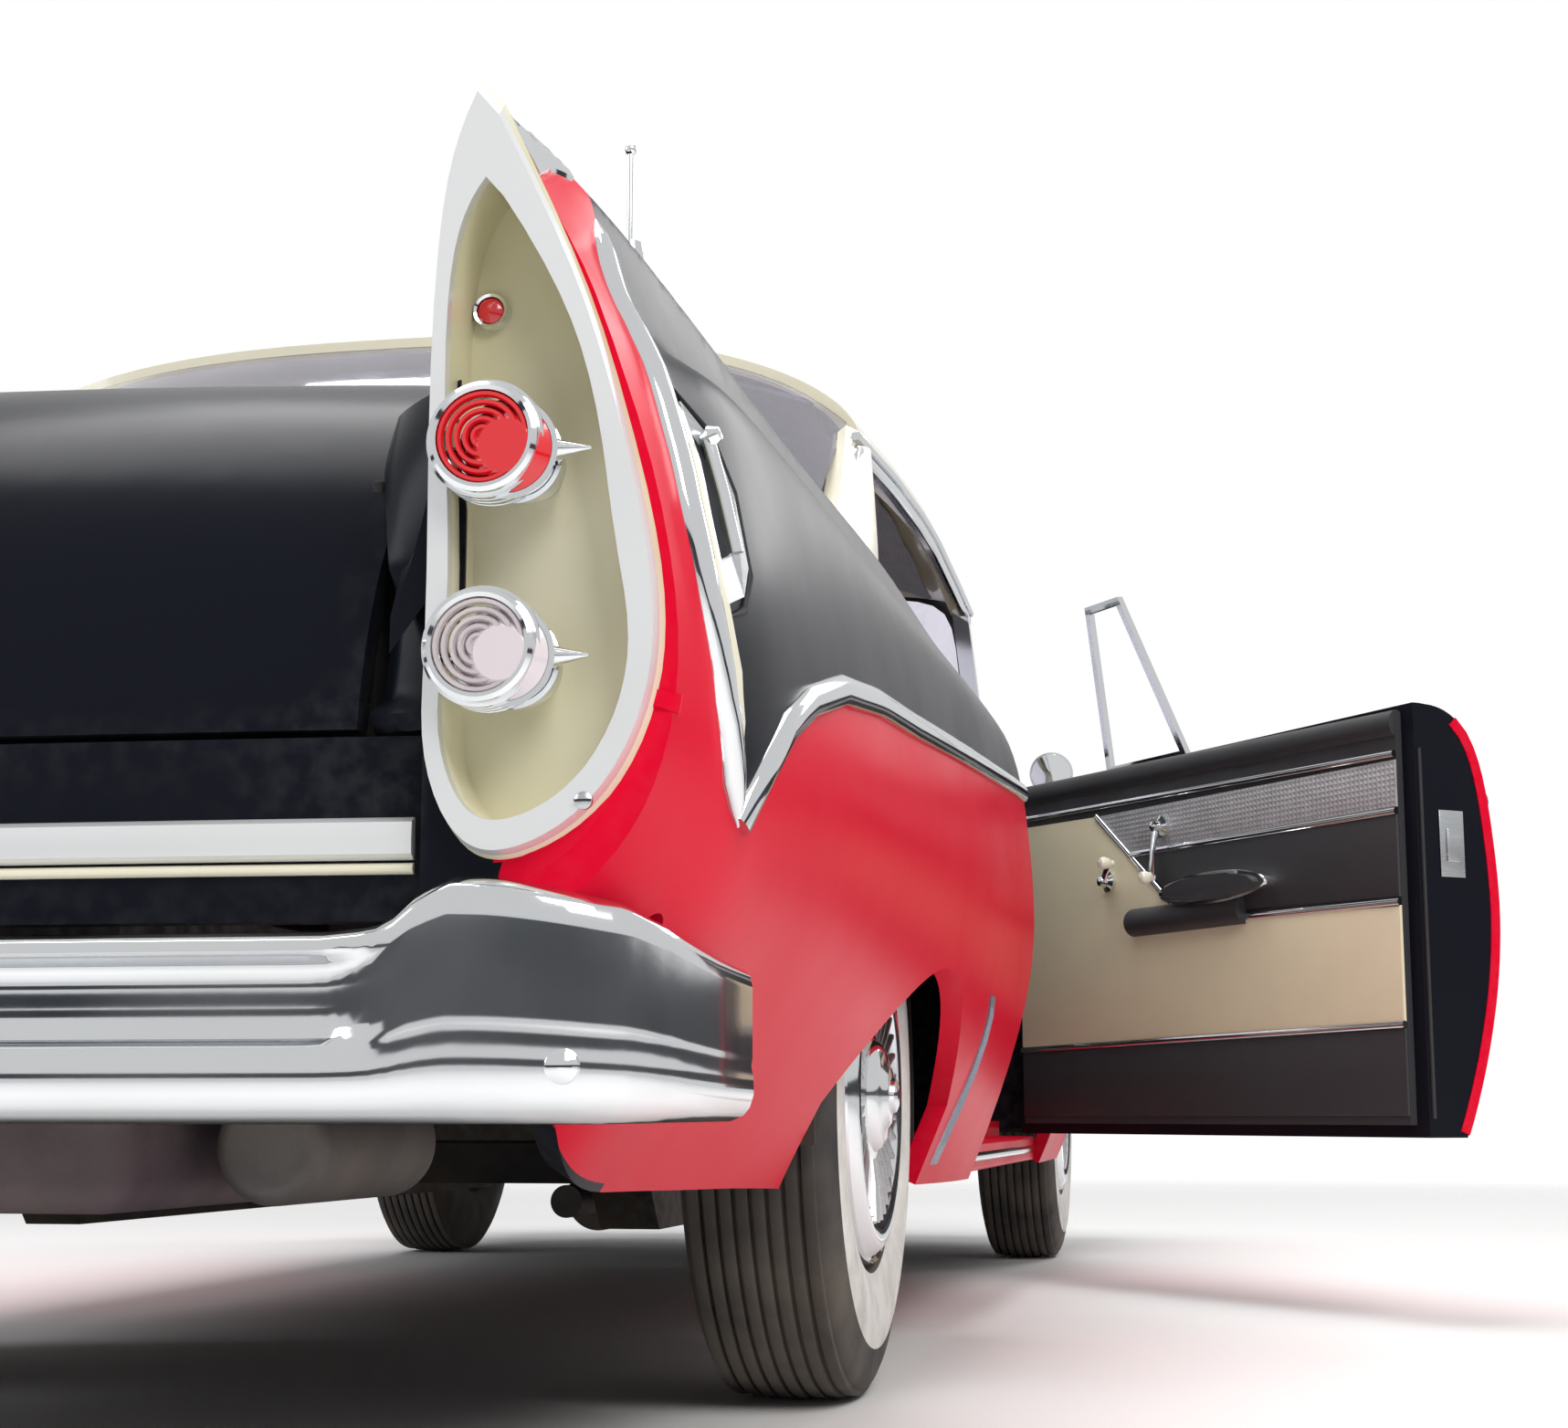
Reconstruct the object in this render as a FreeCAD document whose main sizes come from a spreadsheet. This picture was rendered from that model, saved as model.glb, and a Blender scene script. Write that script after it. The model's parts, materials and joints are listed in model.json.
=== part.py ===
import FreeCAD, Part
import math
import os
import re
import Sketcher

# A full-size two-door hardtop car of the middle 1950s, with its right door standing open.
# X points to the car's right, Y forwards and Z up, in millimetres.
# The origin is on the ground, on the centre line, under the middle of the wheelbase.

SIZES = {
    # Whole car
    "wheelbase": 3048.0,
    "wheel_track": 1480.0,
    "car_length": 5385.0,
    "tail_overhang": 1420.0,
    "half_width": 945.0,
    "shoulder_height": 945.0,
    "roof_height": 1530.0,
    "seam_gap": 6.0,
    "seat_gap": 0.3,
    "cut_overrun": 60.0,
    # Body shell
    "skin_depth": 26.0,
    "roof_depth": 28.0,
    "sill_height": 245.0,
    "door_bottom": 300.0,
    "door_length": 1262.0,
    "door_front": 678.0,
    "door_inner": 786.0,
    "door_opening": 36.0,
    "hinge_inset": 2.0,
    "arch_radius": 408.0,
    "rear_arch_length": 845.0,
    "rear_arch_top": 512.0,
    "floor_depth": 24.0,
    "trunk_rise": 270.0,
    # Wheels
    "tyre_diameter": 718.0,
    "tyre_width": 186.0,
    "tyre_bead": 196.0,
    "rim_width": 144.0,
    "spindle_radius": 22.0,
    "kingpin_x": 640.0,
    # Lids
    "hood_rear": 985.0,
    "hood_front": 2330.0,
    "hood_height": 1102.0,
    "lid_front": -1705.0,
    "lid_height": 1030.0,
    "lid_half_width": 684.0,
    "lid_lip_height": 606.0,
    # Glass
    "glass_depth": 6.0,
    "windscreen_base": 930.0,
    "windscreen_top": 640.0,
    "backlight_base": -1655.0,
    "backlight_top": -1095.0,
    # Frame and underside
    "rail_width": 84.0,
    "rail_depth": 120.0,
    "rail_centre": 430.0,
    "rail_height": 300.0,
    # Seats and cabin
    "seat_width": 1360.0,
    "seat_height": 300.0,
    "dash_width": 1420.0,
    "wheel_rim_radius": 212.0,
    "column_radius": 24.0,
    "column_offset": 370.0,
    "column_rake": 28.0,
    # Bumpers and lamps
    "bumper_thickness": 85.0,
    "bumper_low": 330.0,
    "bumper_tall": 133.0,
    "lamp_radius": 34.0,
    "headlamp_radius": 102.0,
    "plate_hole": 3.5,
    "plate_spacing_wide": 177.8,
    "plate_spacing_tall": 120.65,
}

doc = FreeCAD.newDocument("Hardtop")
sheet = doc.addObject("Spreadsheet::Sheet", "Sizes")
for row_number, (alias, amount) in enumerate(SIZES.items(), start=1):
    sheet.set(f"A{row_number}", str(amount))
    sheet.setAlias(f"A{row_number}", alias)
doc.recompute()

NODES = {}


def bound(text):
    """Write the sheet's name before each size in an expression."""
    return re.sub(r"[a-z_]+", lambda word: "Sizes." + word[0] if word[0] in SIZES else word[0], text)


def size(text):
    """Value of a size, or of a sum written with sizes."""
    return float(sheet.evalExpression(bound(text)))


def vector(x, y, z):
    """A point or direction."""
    return FreeCAD.Vector(x, y, z)


RIGHT = vector(1, 0, 0)
AHEAD = vector(0, 1, 0)
UP = vector(0, 0, 1)
ORIGIN = vector(0, 0, 0)


def keep(name, thing):
    """List a finished object as the sub-part of that name."""
    thing.Label = name
    NODES[name] = thing
    return thing


def feature(name, shape):
    """A sub-part whose shape is worked out below from the sheet's sizes."""
    thing = doc.addObject("Part::Feature", name + "_feature")
    thing.Shape = shape
    return keep(name, thing)


def both_sides(shape):
    """The shape and its mirror image on the car's other side."""
    return Part.makeCompound([shape, flipped(shape)])


def flipped(shape):
    """Mirror image on the car's other side."""
    return shape.mirror(ORIGIN, RIGHT)


def body_profile(name, plane, outline):
    """A body with one closed sketch, its corners written as pairs of sums."""
    body = doc.addObject("PartDesign::Body", name + "_body")
    sketch = body.newObject("Sketcher::SketchObject", name + "_outline")
    role = [item for item in body.Origin.OriginFeatures if item.Role == plane][0]
    sketch.AttachmentSupport = [(role, "")]
    sketch.MapMode = "FlatFace"
    corners = [vector(size(across), size(up), 0) for across, up in outline]
    for index, corner in enumerate(corners):
        following = corners[(index + 1) % len(corners)]
        sketch.addGeometry(Part.LineSegment(corner, following), False)
    for index in range(len(corners)):
        sketch.addConstraint(Sketcher.Constraint("Coincident", index, 2, (index + 1) % len(corners), 1))
    for index, (across, up) in enumerate(outline):
        for kind, text in (("DistanceX", across), ("DistanceY", up)):
            number = sketch.addConstraint(Sketcher.Constraint(kind, -1, 1, index, 1, size(text)))
            sketch.setExpression(f"Constraints[{number}]", bound(text))
    return body, sketch


def padded(name, outline, width):
    """A side profile, along the car and up, given a width about the centre line."""
    body, sketch = body_profile(name, "YZ_Plane", outline)
    pad = body.newObject("PartDesign::Pad", name + "_pad")
    pad.Profile = sketch
    pad.SideType = "Symmetric"
    pad.setExpression("Length", bound(width))
    return body


def revolved(name, outline):
    """A profile of places along X and radii, turned about the X axis."""
    body, sketch = body_profile(name, "XY_Plane", outline)
    turn = body.newObject("PartDesign::Revolution", name + "_turn")
    turn.Profile = sketch
    axle = [item for item in body.Origin.OriginFeatures if item.Role == "X_Axis"][0]
    turn.ReferenceAxis = (axle, [""])
    turn.Angle = 360
    return body


def box(low, high):
    """A block between two corners."""
    span = high - low
    return Part.makeBox(span.x, span.y, span.z, low)


def block(x, y, z):
    """A block between pairs of places along X, Y and Z."""
    return box(vector(x[0], y[0], z[0]), vector(x[1], y[1], z[1]))


def rod(start, end, radius):
    """A round bar between two points."""
    return Part.makeCylinder(radius, (end - start).Length, start, end - start)


def bent_rod(points, radius):
    """Straight round bars joined by balls, for pipes and rails."""
    parts = [rod(a, b, radius) for a, b in zip(points, points[1:])]
    parts += [Part.makeSphere(radius, point) for point in points[1:-1]]
    return parts[0].fuse(parts[1:]) if len(parts) > 1 else parts[0]


def smooth(table, place):
    """Smooth value at a place in a table of (place, value) pairs, with no overshoot."""
    places = [pair[0] for pair in table]
    values = [pair[1] for pair in table]
    if place <= places[0]:
        return values[0]
    if place >= places[-1]:
        return values[-1]
    steps = [b - a for a, b in zip(places, places[1:])]
    slopes = [(b - a) / step for a, b, step in zip(values, values[1:], steps)]
    tangents = [slopes[0]]
    for before, after in zip(slopes, slopes[1:]):
        tangents.append(0.0 if before * after <= 0 else 2 * before * after / (before + after))
    tangents.append(slopes[-1])
    index = max(i for i in range(len(steps)) if places[i] <= place)
    share = (place - places[index]) / steps[index]
    square = share * share
    cube = square * share
    rise = (2 * cube - 3 * square + 1) * values[index] + (3 * square - 2 * cube) * values[index + 1]
    lean = (cube - 2 * square + share) * tangents[index] + (cube - square) * tangents[index + 1]
    return rise + lean * steps[index]


def steps_between(start, end, count):
    """Evenly spaced places, both ends included."""
    return [start + (end - start) * index / (count - 1) for index in range(count)]


def spacing(lines):
    """Places from 0 to 1 of a row's points, by their mean distances over several rows."""
    count = len(lines[0])
    steps = [sum((line[i + 1] - line[i]).Length for line in lines) for i in range(count - 1)]
    total = sum(steps)
    return [sum(steps[:i]) / total for i in range(count)]


def fitted(points, places):
    """Smooth curve through points, met at the given places."""
    curve = Part.BSplineCurve()
    curve.interpolate(Points=points, Parameters=places)
    return curve


def surface(grid, row_places, column_places):
    """A smooth face through rows of points, met at the given places."""
    row_curves = [fitted(row, row_places) for row in grid]
    pole_columns = [list(column) for column in zip(*[curve.getPoles() for curve in row_curves])]
    column_curves = [fitted(column, column_places) for column in pole_columns]
    poles = [list(row) for row in zip(*[curve.getPoles() for curve in column_curves])]
    along = column_curves[0]
    across = row_curves[0]
    patch = Part.BSplineSurface()
    patch.buildFromPolesMultsKnots(poles, along.getMultiplicities(), across.getMultiplicities(),
                                   along.getKnots(),
                                   across.getKnots(), False, False, along.Degree, across.Degree)
    return patch


def rims(patch):
    """The four edges of a face."""
    low_u, high_u, low_v, high_v = patch.bounds()
    return [patch.uIso(low_u), patch.uIso(high_u), patch.vIso(low_v), patch.vIso(high_v)]


def strip(first, second):
    """Straight-ruled face between two like curves."""
    ruled = Part.BSplineSurface()
    ruled.buildFromPolesMultsKnots([first.getPoles(), second.getPoles()], [2, 2], first.getMultiplicities(),
                                   [0.0, 1.0], first.getKnots(), False, False, 1, first.Degree)
    return ruled.toShape()


def slab(outer, inner):
    """A closed solid between two grids of points of like layout."""
    row_places = spacing(outer)
    column_places = spacing([list(column) for column in zip(*outer)])
    skins = [surface(grid, row_places, column_places) for grid in (outer, inner)]
    faces = [skin.toShape() for skin in skins]
    faces += [strip(first, second) for first, second in zip(rims(skins[0]), rims(skins[1]))]
    shell = Part.makeShell(faces)
    shell.sewShape()
    solid = Part.makeSolid(shell)
    if solid.Volume < 0:
        solid.reverse()
    return solid


def offset_grid(grid, depth):
    """The grid moved along its own normals."""
    rows = len(grid)
    columns = len(grid[0])
    moved = []
    for i in range(rows):
        line = []
        for j in range(columns):
            along = grid[min(i + 1, rows - 1)][j] - grid[max(i - 1, 0)][j]
            across = grid[i][min(j + 1, columns - 1)] - grid[i][max(j - 1, 0)]
            normal = along.cross(across)
            normal.normalize()
            line.append(grid[i][j] + normal * depth)
        moved.append(line)
    return moved


def panel(grid, depth):
    """A curved sheet of a depth on the side that its normals point away from."""
    return slab(grid, offset_grid(grid, depth))


TAIL_Y = size("-wheelbase / 2 - tail_overhang")
HALF_WIDTH = size("half_width")
SHOULDER = size("shoulder_height")
CAR_LENGTH = size("car_length")
GAP = size("seam_gap")
DEPTH = size("skin_depth")
REAR_AXLE = size("-wheelbase / 2")
FRONT_AXLE = size("wheelbase / 2")
AXLE_HEIGHT = size("tyre_diameter / 2")

# The body side, from its lower edge up over the shoulder and the fin to the seam of the lid or hood.
# Each section is at a share of the car's length from the tail. Its points are shares of the
# half width and of the shoulder height.
SIDE_SHARES = [
    (0.008, [(0.852, 0.500), (0.925, 0.571), (0.951, 0.670), (0.945, 0.762), (0.926, 0.847), (0.902, 0.921),
             (0.878, 0.984), (0.846, 1.046), (0.815, 1.106), (0.799, 1.128), (0.785, 1.106), (0.772, 1.030),
             (0.762, 0.850), (0.730, 0.722)]),
    (0.027, [(0.828, 0.395), (0.915, 0.505), (0.968, 0.650), (0.963, 0.772), (0.942, 0.873), (0.912, 0.943),
             (0.884, 0.982), (0.865, 1.030), (0.848, 1.080), (0.834, 1.102), (0.819, 1.090), (0.803, 1.040),
             (0.786, 0.965), (0.730, 0.897)]),
    (0.050, [(0.812, 0.295), (0.905, 0.440), (0.984, 0.635), (0.979, 0.783), (0.958, 0.899), (0.925, 0.966),
             (0.893, 0.984), (0.876, 1.018), (0.862, 1.066), (0.850, 1.092), (0.836, 1.084), (0.821, 1.050),
             (0.799, 1.006), (0.730, 0.972)]),
    (0.150, [(0.828, 0.280), (0.912, 0.430), (0.997, 0.635), (0.992, 0.783), (0.972, 0.905), (0.945, 0.965),
             (0.918, 0.985), (0.903, 1.010), (0.891, 1.045), (0.879, 1.068), (0.866, 1.067), (0.848, 1.062),
             (0.815, 1.058), (0.730, 1.060)]),
    (0.264, [(0.848, 0.262), (0.925, 0.425), (1.000, 0.635), (0.996, 0.800), (0.975, 0.925), (0.950, 0.985),
             (0.927, 1.012), (0.912, 1.038), (0.900, 1.064), (0.889, 1.080), (0.875, 1.083), (0.855, 1.082),
             (0.825, 1.080), (0.745, 1.082)]),
    (0.440, [(0.885, 0.250), (0.950, 0.420), (1.000, 0.635), (0.996, 0.815), (0.978, 0.940), (0.957, 1.000),
             (0.937, 1.030), (0.921, 1.044), (0.907, 1.052), (0.895, 1.057), (0.884, 1.060), (0.873, 1.062),
             (0.859, 1.063), (0.847, 1.064)]),
    (0.673, [(0.890, 0.252), (0.955, 0.420), (1.000, 0.635), (0.996, 0.815), (0.978, 0.940), (0.955, 1.005),
             (0.934, 1.034), (0.919, 1.048), (0.904, 1.056), (0.893, 1.060), (0.883, 1.063), (0.873, 1.065),
             (0.860, 1.067), (0.847, 1.069)]),
    (0.729, [(0.893, 0.254), (0.955, 0.420), (0.998, 0.635), (0.993, 0.810), (0.973, 0.935), (0.945, 1.006),
             (0.921, 1.036), (0.898, 1.050), (0.876, 1.057), (0.855, 1.062), (0.834, 1.066), (0.811, 1.071),
             (0.787, 1.076), (0.764, 1.082)]),
    (0.830, [(0.905, 0.270), (0.968, 0.420), (0.993, 0.635), (0.987, 0.790), (0.966, 0.918), (0.935, 0.998),
             (0.901, 1.032), (0.874, 1.044), (0.847, 1.049), (0.820, 1.050), (0.794, 1.051), (0.762, 1.053),
             (0.730, 1.060), (0.698, 1.072)]),
    (0.927, [(0.915, 0.349), (0.958, 0.455), (0.976, 0.614), (0.971, 0.741), (0.952, 0.852), (0.921, 0.938),
             (0.887, 0.976), (0.855, 0.993), (0.823, 0.999), (0.794, 0.997), (0.764, 0.991), (0.730, 0.984),
             (0.694, 0.982), (0.658, 0.988)]),
    (0.978, [(0.900, 0.500), (0.931, 0.545), (0.947, 0.625), (0.945, 0.720), (0.931, 0.815), (0.905, 0.889),
             (0.873, 0.923), (0.841, 0.937), (0.810, 0.940), (0.778, 0.935), (0.746, 0.926), (0.714, 0.912),
             (0.683, 0.899), (0.646, 0.889)]),
]
KNOT_POINTS = len(SIDE_SHARES[0][1])
POINTS_BETWEEN = 3
SECTION_POINTS = (KNOT_POINTS - 1) * POINTS_BETWEEN + 1
SHOULDER_POINT = 5 * POINTS_BETWEEN


def section_knots(place):
    """The side section's named points at a place along the car."""
    share = (place - TAIL_Y) / CAR_LENGTH
    points = []
    for index in range(KNOT_POINTS):
        across = smooth([(where, section[index][0]) for where, section in SIDE_SHARES], share)
        up = smooth([(where, section[index][1]) for where, section in SIDE_SHARES], share)
        points.append(vector(across * HALF_WIDTH, place, up * SHOULDER))
    return points


def side_section(place):
    """Points along a smooth curve through the side section's named points."""
    knots = section_knots(place)
    places = spacing([knots])
    curve = fitted(knots, places)
    points = []
    for start, end in zip(places, places[1:]):
        stride = (end - start) / POINTS_BETWEEN
        points += [curve.value(start + stride * step) for step in range(POINTS_BETWEEN)]
    return points + [knots[-1]]


def seam_x(place):
    """Half width at the inner edge of the side, where the hood, lid or cabin begins."""
    return side_section(place)[-1].x


def seam_z(place):
    """Height of the side's inner edge."""
    return side_section(place)[-1].z


def side_panel(start, end, count, crowding=1.0):
    """The right body side between two places, as a sheet with a solid shoulder."""
    outer = []
    inner = []
    for share in steps_between(0.0, 1.0, count):
        place = start + (end - start) * share ** crowding
        section = side_section(place)
        outer.append(section)
        inward = []
        for index in range(SHOULDER_POINT):
            before = section[max(index - 1, 0)]
            after = section[index + 1]
            run = after - before
            normal = run.cross(AHEAD)
            normal.normalize()
            inward.append(section[index] + normal * DEPTH)
        corner = section[SHOULDER_POINT] + vector(-DEPTH, 0, -DEPTH)
        edge = section[-1] - vector(0, 0, DEPTH)
        for step in range(SECTION_POINTS - SHOULDER_POINT):
            inward.append(corner + (edge - corner) * (step / (SECTION_POINTS - SHOULDER_POINT - 1)))
        inner.append(inward)
    return slab(outer, inner)


def rear_arch():
    """Low rounded opening over the rear wheel, as a tool through the right side."""
    half = size("rear_arch_length / 2")
    low = size("sill_height - cut_overrun")
    top = size("rear_arch_top")
    start = vector(HALF_WIDTH / 2, REAR_AXLE - half, low)
    spring = (low + top) / 2
    arch = Part.Arc(vector(HALF_WIDTH / 2, REAR_AXLE - half, spring), vector(HALF_WIDTH / 2, REAR_AXLE, top),
                    vector(HALF_WIDTH / 2, REAR_AXLE + half, spring)).toShape()
    end = vector(HALF_WIDTH / 2, REAR_AXLE + half, low)
    outline = Part.Wire([Part.makeLine(start, arch.Vertexes[0].Point), arch,
                         Part.makeLine(arch.Vertexes[1].Point, end), Part.makeLine(end, start)])
    return Part.Face(outline).extrude(RIGHT * HALF_WIDTH)


def front_arch():
    """Round opening over the front wheel, as a tool through the right side."""
    radius = size("arch_radius")
    centre = vector(HALF_WIDTH / 2, FRONT_AXLE, AXLE_HEIGHT)
    disc = Part.makeCylinder(radius, HALF_WIDTH, centre, RIGHT)
    low = size("sill_height - cut_overrun")
    return disc.fuse(block((HALF_WIDTH / 2, HALF_WIDTH * 3 / 2), (FRONT_AXLE - radius, FRONT_AXLE + radius),
                           (low, AXLE_HEIGHT)))


TAIL_CROWDING = 1.5


def quarter_panels():
    """Rear quarters with their fins, from the tail to the door's rear edge."""
    start = side_station(SIDE_SHARES[0][0])
    end = size("door_front - door_length - seam_gap")
    shape = side_panel(start, end, 18, TAIL_CROWDING).cut(rear_arch())
    shape = shape.cut(bezel_recess(DEPTH * BEZEL_RIM_SHARE, DEPTH * BEZEL_DEEP_SHARE))
    feature("quarter_panel_right", shape)
    feature("quarter_panel_left", flipped(shape))


def side_station(share):
    """Place along the car of a share of its length."""
    return TAIL_Y + share * CAR_LENGTH


def front_fenders():
    """Front fenders from the door to the headlamps."""
    start = size("door_front + seam_gap")
    end = side_station(SIDE_SHARES[-1][0])
    shape = side_panel(start, end, 14).cut(front_arch())
    feature("front_fender_right", shape)
    feature("front_fender_left", flipped(shape))


def point_at_height(section, height):
    """Place in a section, counted in points, where it first reaches a height."""
    for index in range(SECTION_POINTS - 1):
        low, high = section[index].z, section[index + 1].z
        if low <= height <= high:
            return index + (height - low) / (high - low)
    return 0.0


def between_points(section, place):
    """Point of a section at a place counted in points."""
    table_x = [(index, point.x) for index, point in enumerate(section)]
    table_z = [(index, point.z) for index, point in enumerate(section)]
    return vector(smooth(table_x, place), section[0].y, smooth(table_z, place))


def closed_door():
    """The right door's whole thickness, as it lies when shut."""
    outer = []
    inner = []
    front = size("door_front")
    rear = size("door_front - door_length")
    for place in steps_between(rear, front, 9):
        section = side_section(place)
        first = point_at_height(section, size("door_bottom"))
        places = steps_between(first, SECTION_POINTS - 1, 14)
        outer.append([between_points(section, value) for value in places])
        bottom = vector(size("door_inner"), place, size("door_bottom"))
        top = vector(size("door_inner"), place, section[-1].z)
        inner.append([bottom + (top - bottom) * (index / 13) for index in range(14)])
    return slab(outer, inner)


def door_hinge():
    """Foot of the right door's hinge line, in the gap near the outer skin."""
    place = size("door_front + seam_gap / 2")
    widest = max(point.x for point in side_section(place))
    return vector(widest - size("hinge_inset"), place, 0)


def swung(shape):
    """A piece of the right door, turned to where the open door stands."""
    turned = shape.copy()
    turned.rotate(door_hinge(), UP, size("door_opening"))
    return turned


def barrel(foot, direction, length, toward):
    """Hinge barrel in a seam, joined by a web to the lid or door that it carries."""
    radius = size("seam_gap / 2 - seat_gap")
    pin = Part.makeCylinder(radius, length, foot, direction)
    side = direction.cross(toward)
    side.normalize()
    corner = foot - side * radius
    web = Part.Face(Part.makePolygon([corner, corner + side * radius * 2,
                                      corner + side * radius * 2 + toward * GAP,
                                      corner + toward * GAP, corner])).extrude(direction * length)
    return pin.fuse(web)


DOOR_BARREL_SHARES = (0.60, 0.74)


def door_barrels():
    """Two hinge barrels on the door's front edge."""
    pins = []
    for share in DOOR_BARREL_SHARES:
        foot = door_hinge() + UP * (SHOULDER * share)
        pins.append(barrel(foot, UP, DEPTH * 1.2, -AHEAD))
    return pins[0].fuse(pins[1:])


def lid_barrels(place, height, toward):
    """Two hinge barrels on a lid's edge, either side of its middle."""
    length = DEPTH * 2
    spread = HALF_WIDTH * 0.16
    pins = [barrel(vector(side * spread - length / 2, place, height), RIGHT, length,
                   toward) for side in (-1, 1)]
    return pins[0].fuse(pins[1:])


DOOR_TRIM_SHARE = 0.013


def door_parts():
    """Both doors, their inner trim panels and vent window frames."""
    door = closed_door().fuse(door_barrels())
    feature("door_right", swung(door))
    feature("door_left", flipped(door))
    trim = door_trim()
    feature("door_trim_right", swung(trim))
    feature("door_trim_left", flipped(trim))
    frame = vent_frame()
    feature("vent_frame_right", swung(frame))
    feature("vent_frame_left", flipped(frame))


def door_trim():
    """Padded inner panel on the right door, with its armrest."""
    thick = DOOR_TRIM_SHARE * HALF_WIDTH
    inner = size("door_inner - seat_gap")
    front = size("door_front - cut_overrun / 2")
    rear = size("door_front - door_length + cut_overrun / 2")
    low = size("door_bottom + cut_overrun / 3")
    high = SHOULDER * 1.050
    board = block((inner - thick, inner), (rear, front), (low, high))
    length = front - rear
    arm = Part.makeCylinder(thick * 2.2, length * 0.3, vector(0, rear + length * 0.35, SHOULDER * 0.74),
                            AHEAD)
    arm.translate(vector(inner - thick, 0, 0))
    arm = arm.cut(block((inner - thick, inner + HALF_WIDTH), (rear, front), (low, high)))
    return board.fuse(arm)


VENT_START_SHARE = 0.240
VENT_TOP_LENGTH_SHARE = 0.095
VENT_FOOT_LENGTH_SHARE = 0.220
VENT_TOP_SHARE = 0.878
VENT_LEAN_SHARE = 0.812


def vent_frame():
    """Bright frame of the small front window, standing on the right door."""
    top_z = size("roof_height") * VENT_TOP_SHARE
    x_low = seam_x(size("door_front")) + DEPTH / 2
    x_high = HALF_WIDTH * VENT_LEAN_SHARE
    length = size("door_length")
    front = size("door_front") - length * VENT_START_SHARE
    base_z = seam_z(front) - size("glass_depth") / 4
    wide = size("glass_depth * 2.4")
    points = [vector(x_low, front, base_z), vector(x_high, front, top_z),
              vector(x_high, front - length * VENT_TOP_LENGTH_SHARE, top_z),
              vector(x_low, front - length * VENT_FOOT_LENGTH_SHARE, base_z)]
    outer = Part.Face(Part.makePolygon(points + [points[0]]))
    opening = Part.Face(outer.OuterWire.makeOffset2D(-wide, 2))
    normal = outer.normalAt(0, 0)
    ring = outer.cut(opening)
    return ring.extrude(normal * size("glass_depth * 2"))


def roof_width(share):
    """Half width at the drip rail, front to rear."""
    return HALF_WIDTH * smooth([(0.0, 0.770), (0.45, 0.785), (1.0, 0.775)], share)


def roof_top(share):
    """Height of the roof's centre line, front to rear."""
    return size("roof_height") * smooth([(0.0, 0.970), (0.2, 0.990), (0.5, 1.0), (0.75, 0.999), (1.0,
                                                                                                 0.985)],
                                                                                                 share)


def roof_side(share):
    """Height of the drip rail, front to rear."""
    return size("roof_height") * smooth([(0.0, 0.893), (0.4, 0.900), (1.0, 0.862)], share)


HEADER_SWEEP_SHARE = 0.24
BACKLIGHT_SWEEP_SHARE = 0.13


def header_y(across):
    """Place of the roof's front edge, by share of its half width."""
    return size("windscreen_top") - HALF_WIDTH * HEADER_SWEEP_SHARE * abs(across) ** 3


def backlight_y(across):
    """Place of the roof's rear edge, by share of its half width."""
    return size("backlight_top") + HALF_WIDTH * BACKLIGHT_SWEEP_SHARE * abs(across) ** 3


ROOF_ROUNDING = 0.80


def roof_point(angle, share):
    """Point of the roof's outer face, by angle from its middle and share from its front."""
    sine = math.sin(angle)
    across = math.copysign(abs(sine) ** ROOF_ROUNDING, sine)
    low = roof_side(share)
    up = low + (roof_top(share) - low) * max(math.cos(angle), 0.0) ** ROOF_ROUNDING
    front = header_y(across)
    rear = backlight_y(across)
    return vector(across * roof_width(share), front + (rear - front) * share, up)


def roof_panel():
    """The roof, with the two rear pillars that carry it."""
    angles = steps_between(-math.pi / 2, math.pi / 2, 15)
    grid = [[roof_point(angle, share) for angle in angles] for share in steps_between(0.0, 1.0, 11)]
    skin = panel(grid, -size("roof_depth"))
    feature("roof_panel", skin)


def rear_pillars():
    """Sloping pillars between the side windows and the rear window."""
    pillar = clear_of(rear_pillar(), "quarter_panel_right", "roof_panel")
    feature("rear_pillars", both_sides(pillar))


PILLAR_SHARES = [
    # height, front edge and rear edge along the car, distance out
    (0.00, -0.222, -0.272, 0.835),
    (0.35, -0.208, -0.252, 0.822),
    (0.70, -0.192, -0.221, 0.803),
    (1.00, -0.178, -0.196, 0.785),
]


def rear_pillar():
    """The right rear pillar, as a curved sheet."""
    foot = seam_z(size("-wheelbase * 0.42")) - DEPTH
    head = roof_side(1.0) + DEPTH
    outer = []
    for share in steps_between(0.0, 1.0, 6):
        front = CAR_LENGTH * smooth([(row[0], row[1]) for row in PILLAR_SHARES], share)
        rear = CAR_LENGTH * smooth([(row[0], row[2]) for row in PILLAR_SHARES], share)
        out = HALF_WIDTH * smooth([(row[0], row[3]) for row in PILLAR_SHARES], share)
        up = foot + (head - foot) * share
        outer.append([vector(out - (out * 0.03) * (step / 3) ** 2, front + (rear - front) * step / 3, up)
                      for step in range(4)])
    return panel(outer, size("-roof_depth"))


WINDSCREEN_SWEEP_SHARE = 0.53


def windscreen_base(across):
    """Point of the windscreen's lower edge, by share of its half width."""
    return vector(across * HALF_WIDTH * 0.80,
                  size("windscreen_base") - HALF_WIDTH * WINDSCREEN_SWEEP_SHARE * abs(across) ** 3.4,
                  SHOULDER * (1.102 - 0.026 * across * across))


def windscreen_head(across):
    """Point of the windscreen's upper edge, just under the roof."""
    angle = math.copysign(math.asin(min(abs(across) ** (1 / ROOF_ROUNDING), 1.0)), across)
    point = roof_point(angle, 0.0)
    return point + vector(0, size("glass_depth + seat_gap"), -size("roof_depth") * 0.6)


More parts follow.
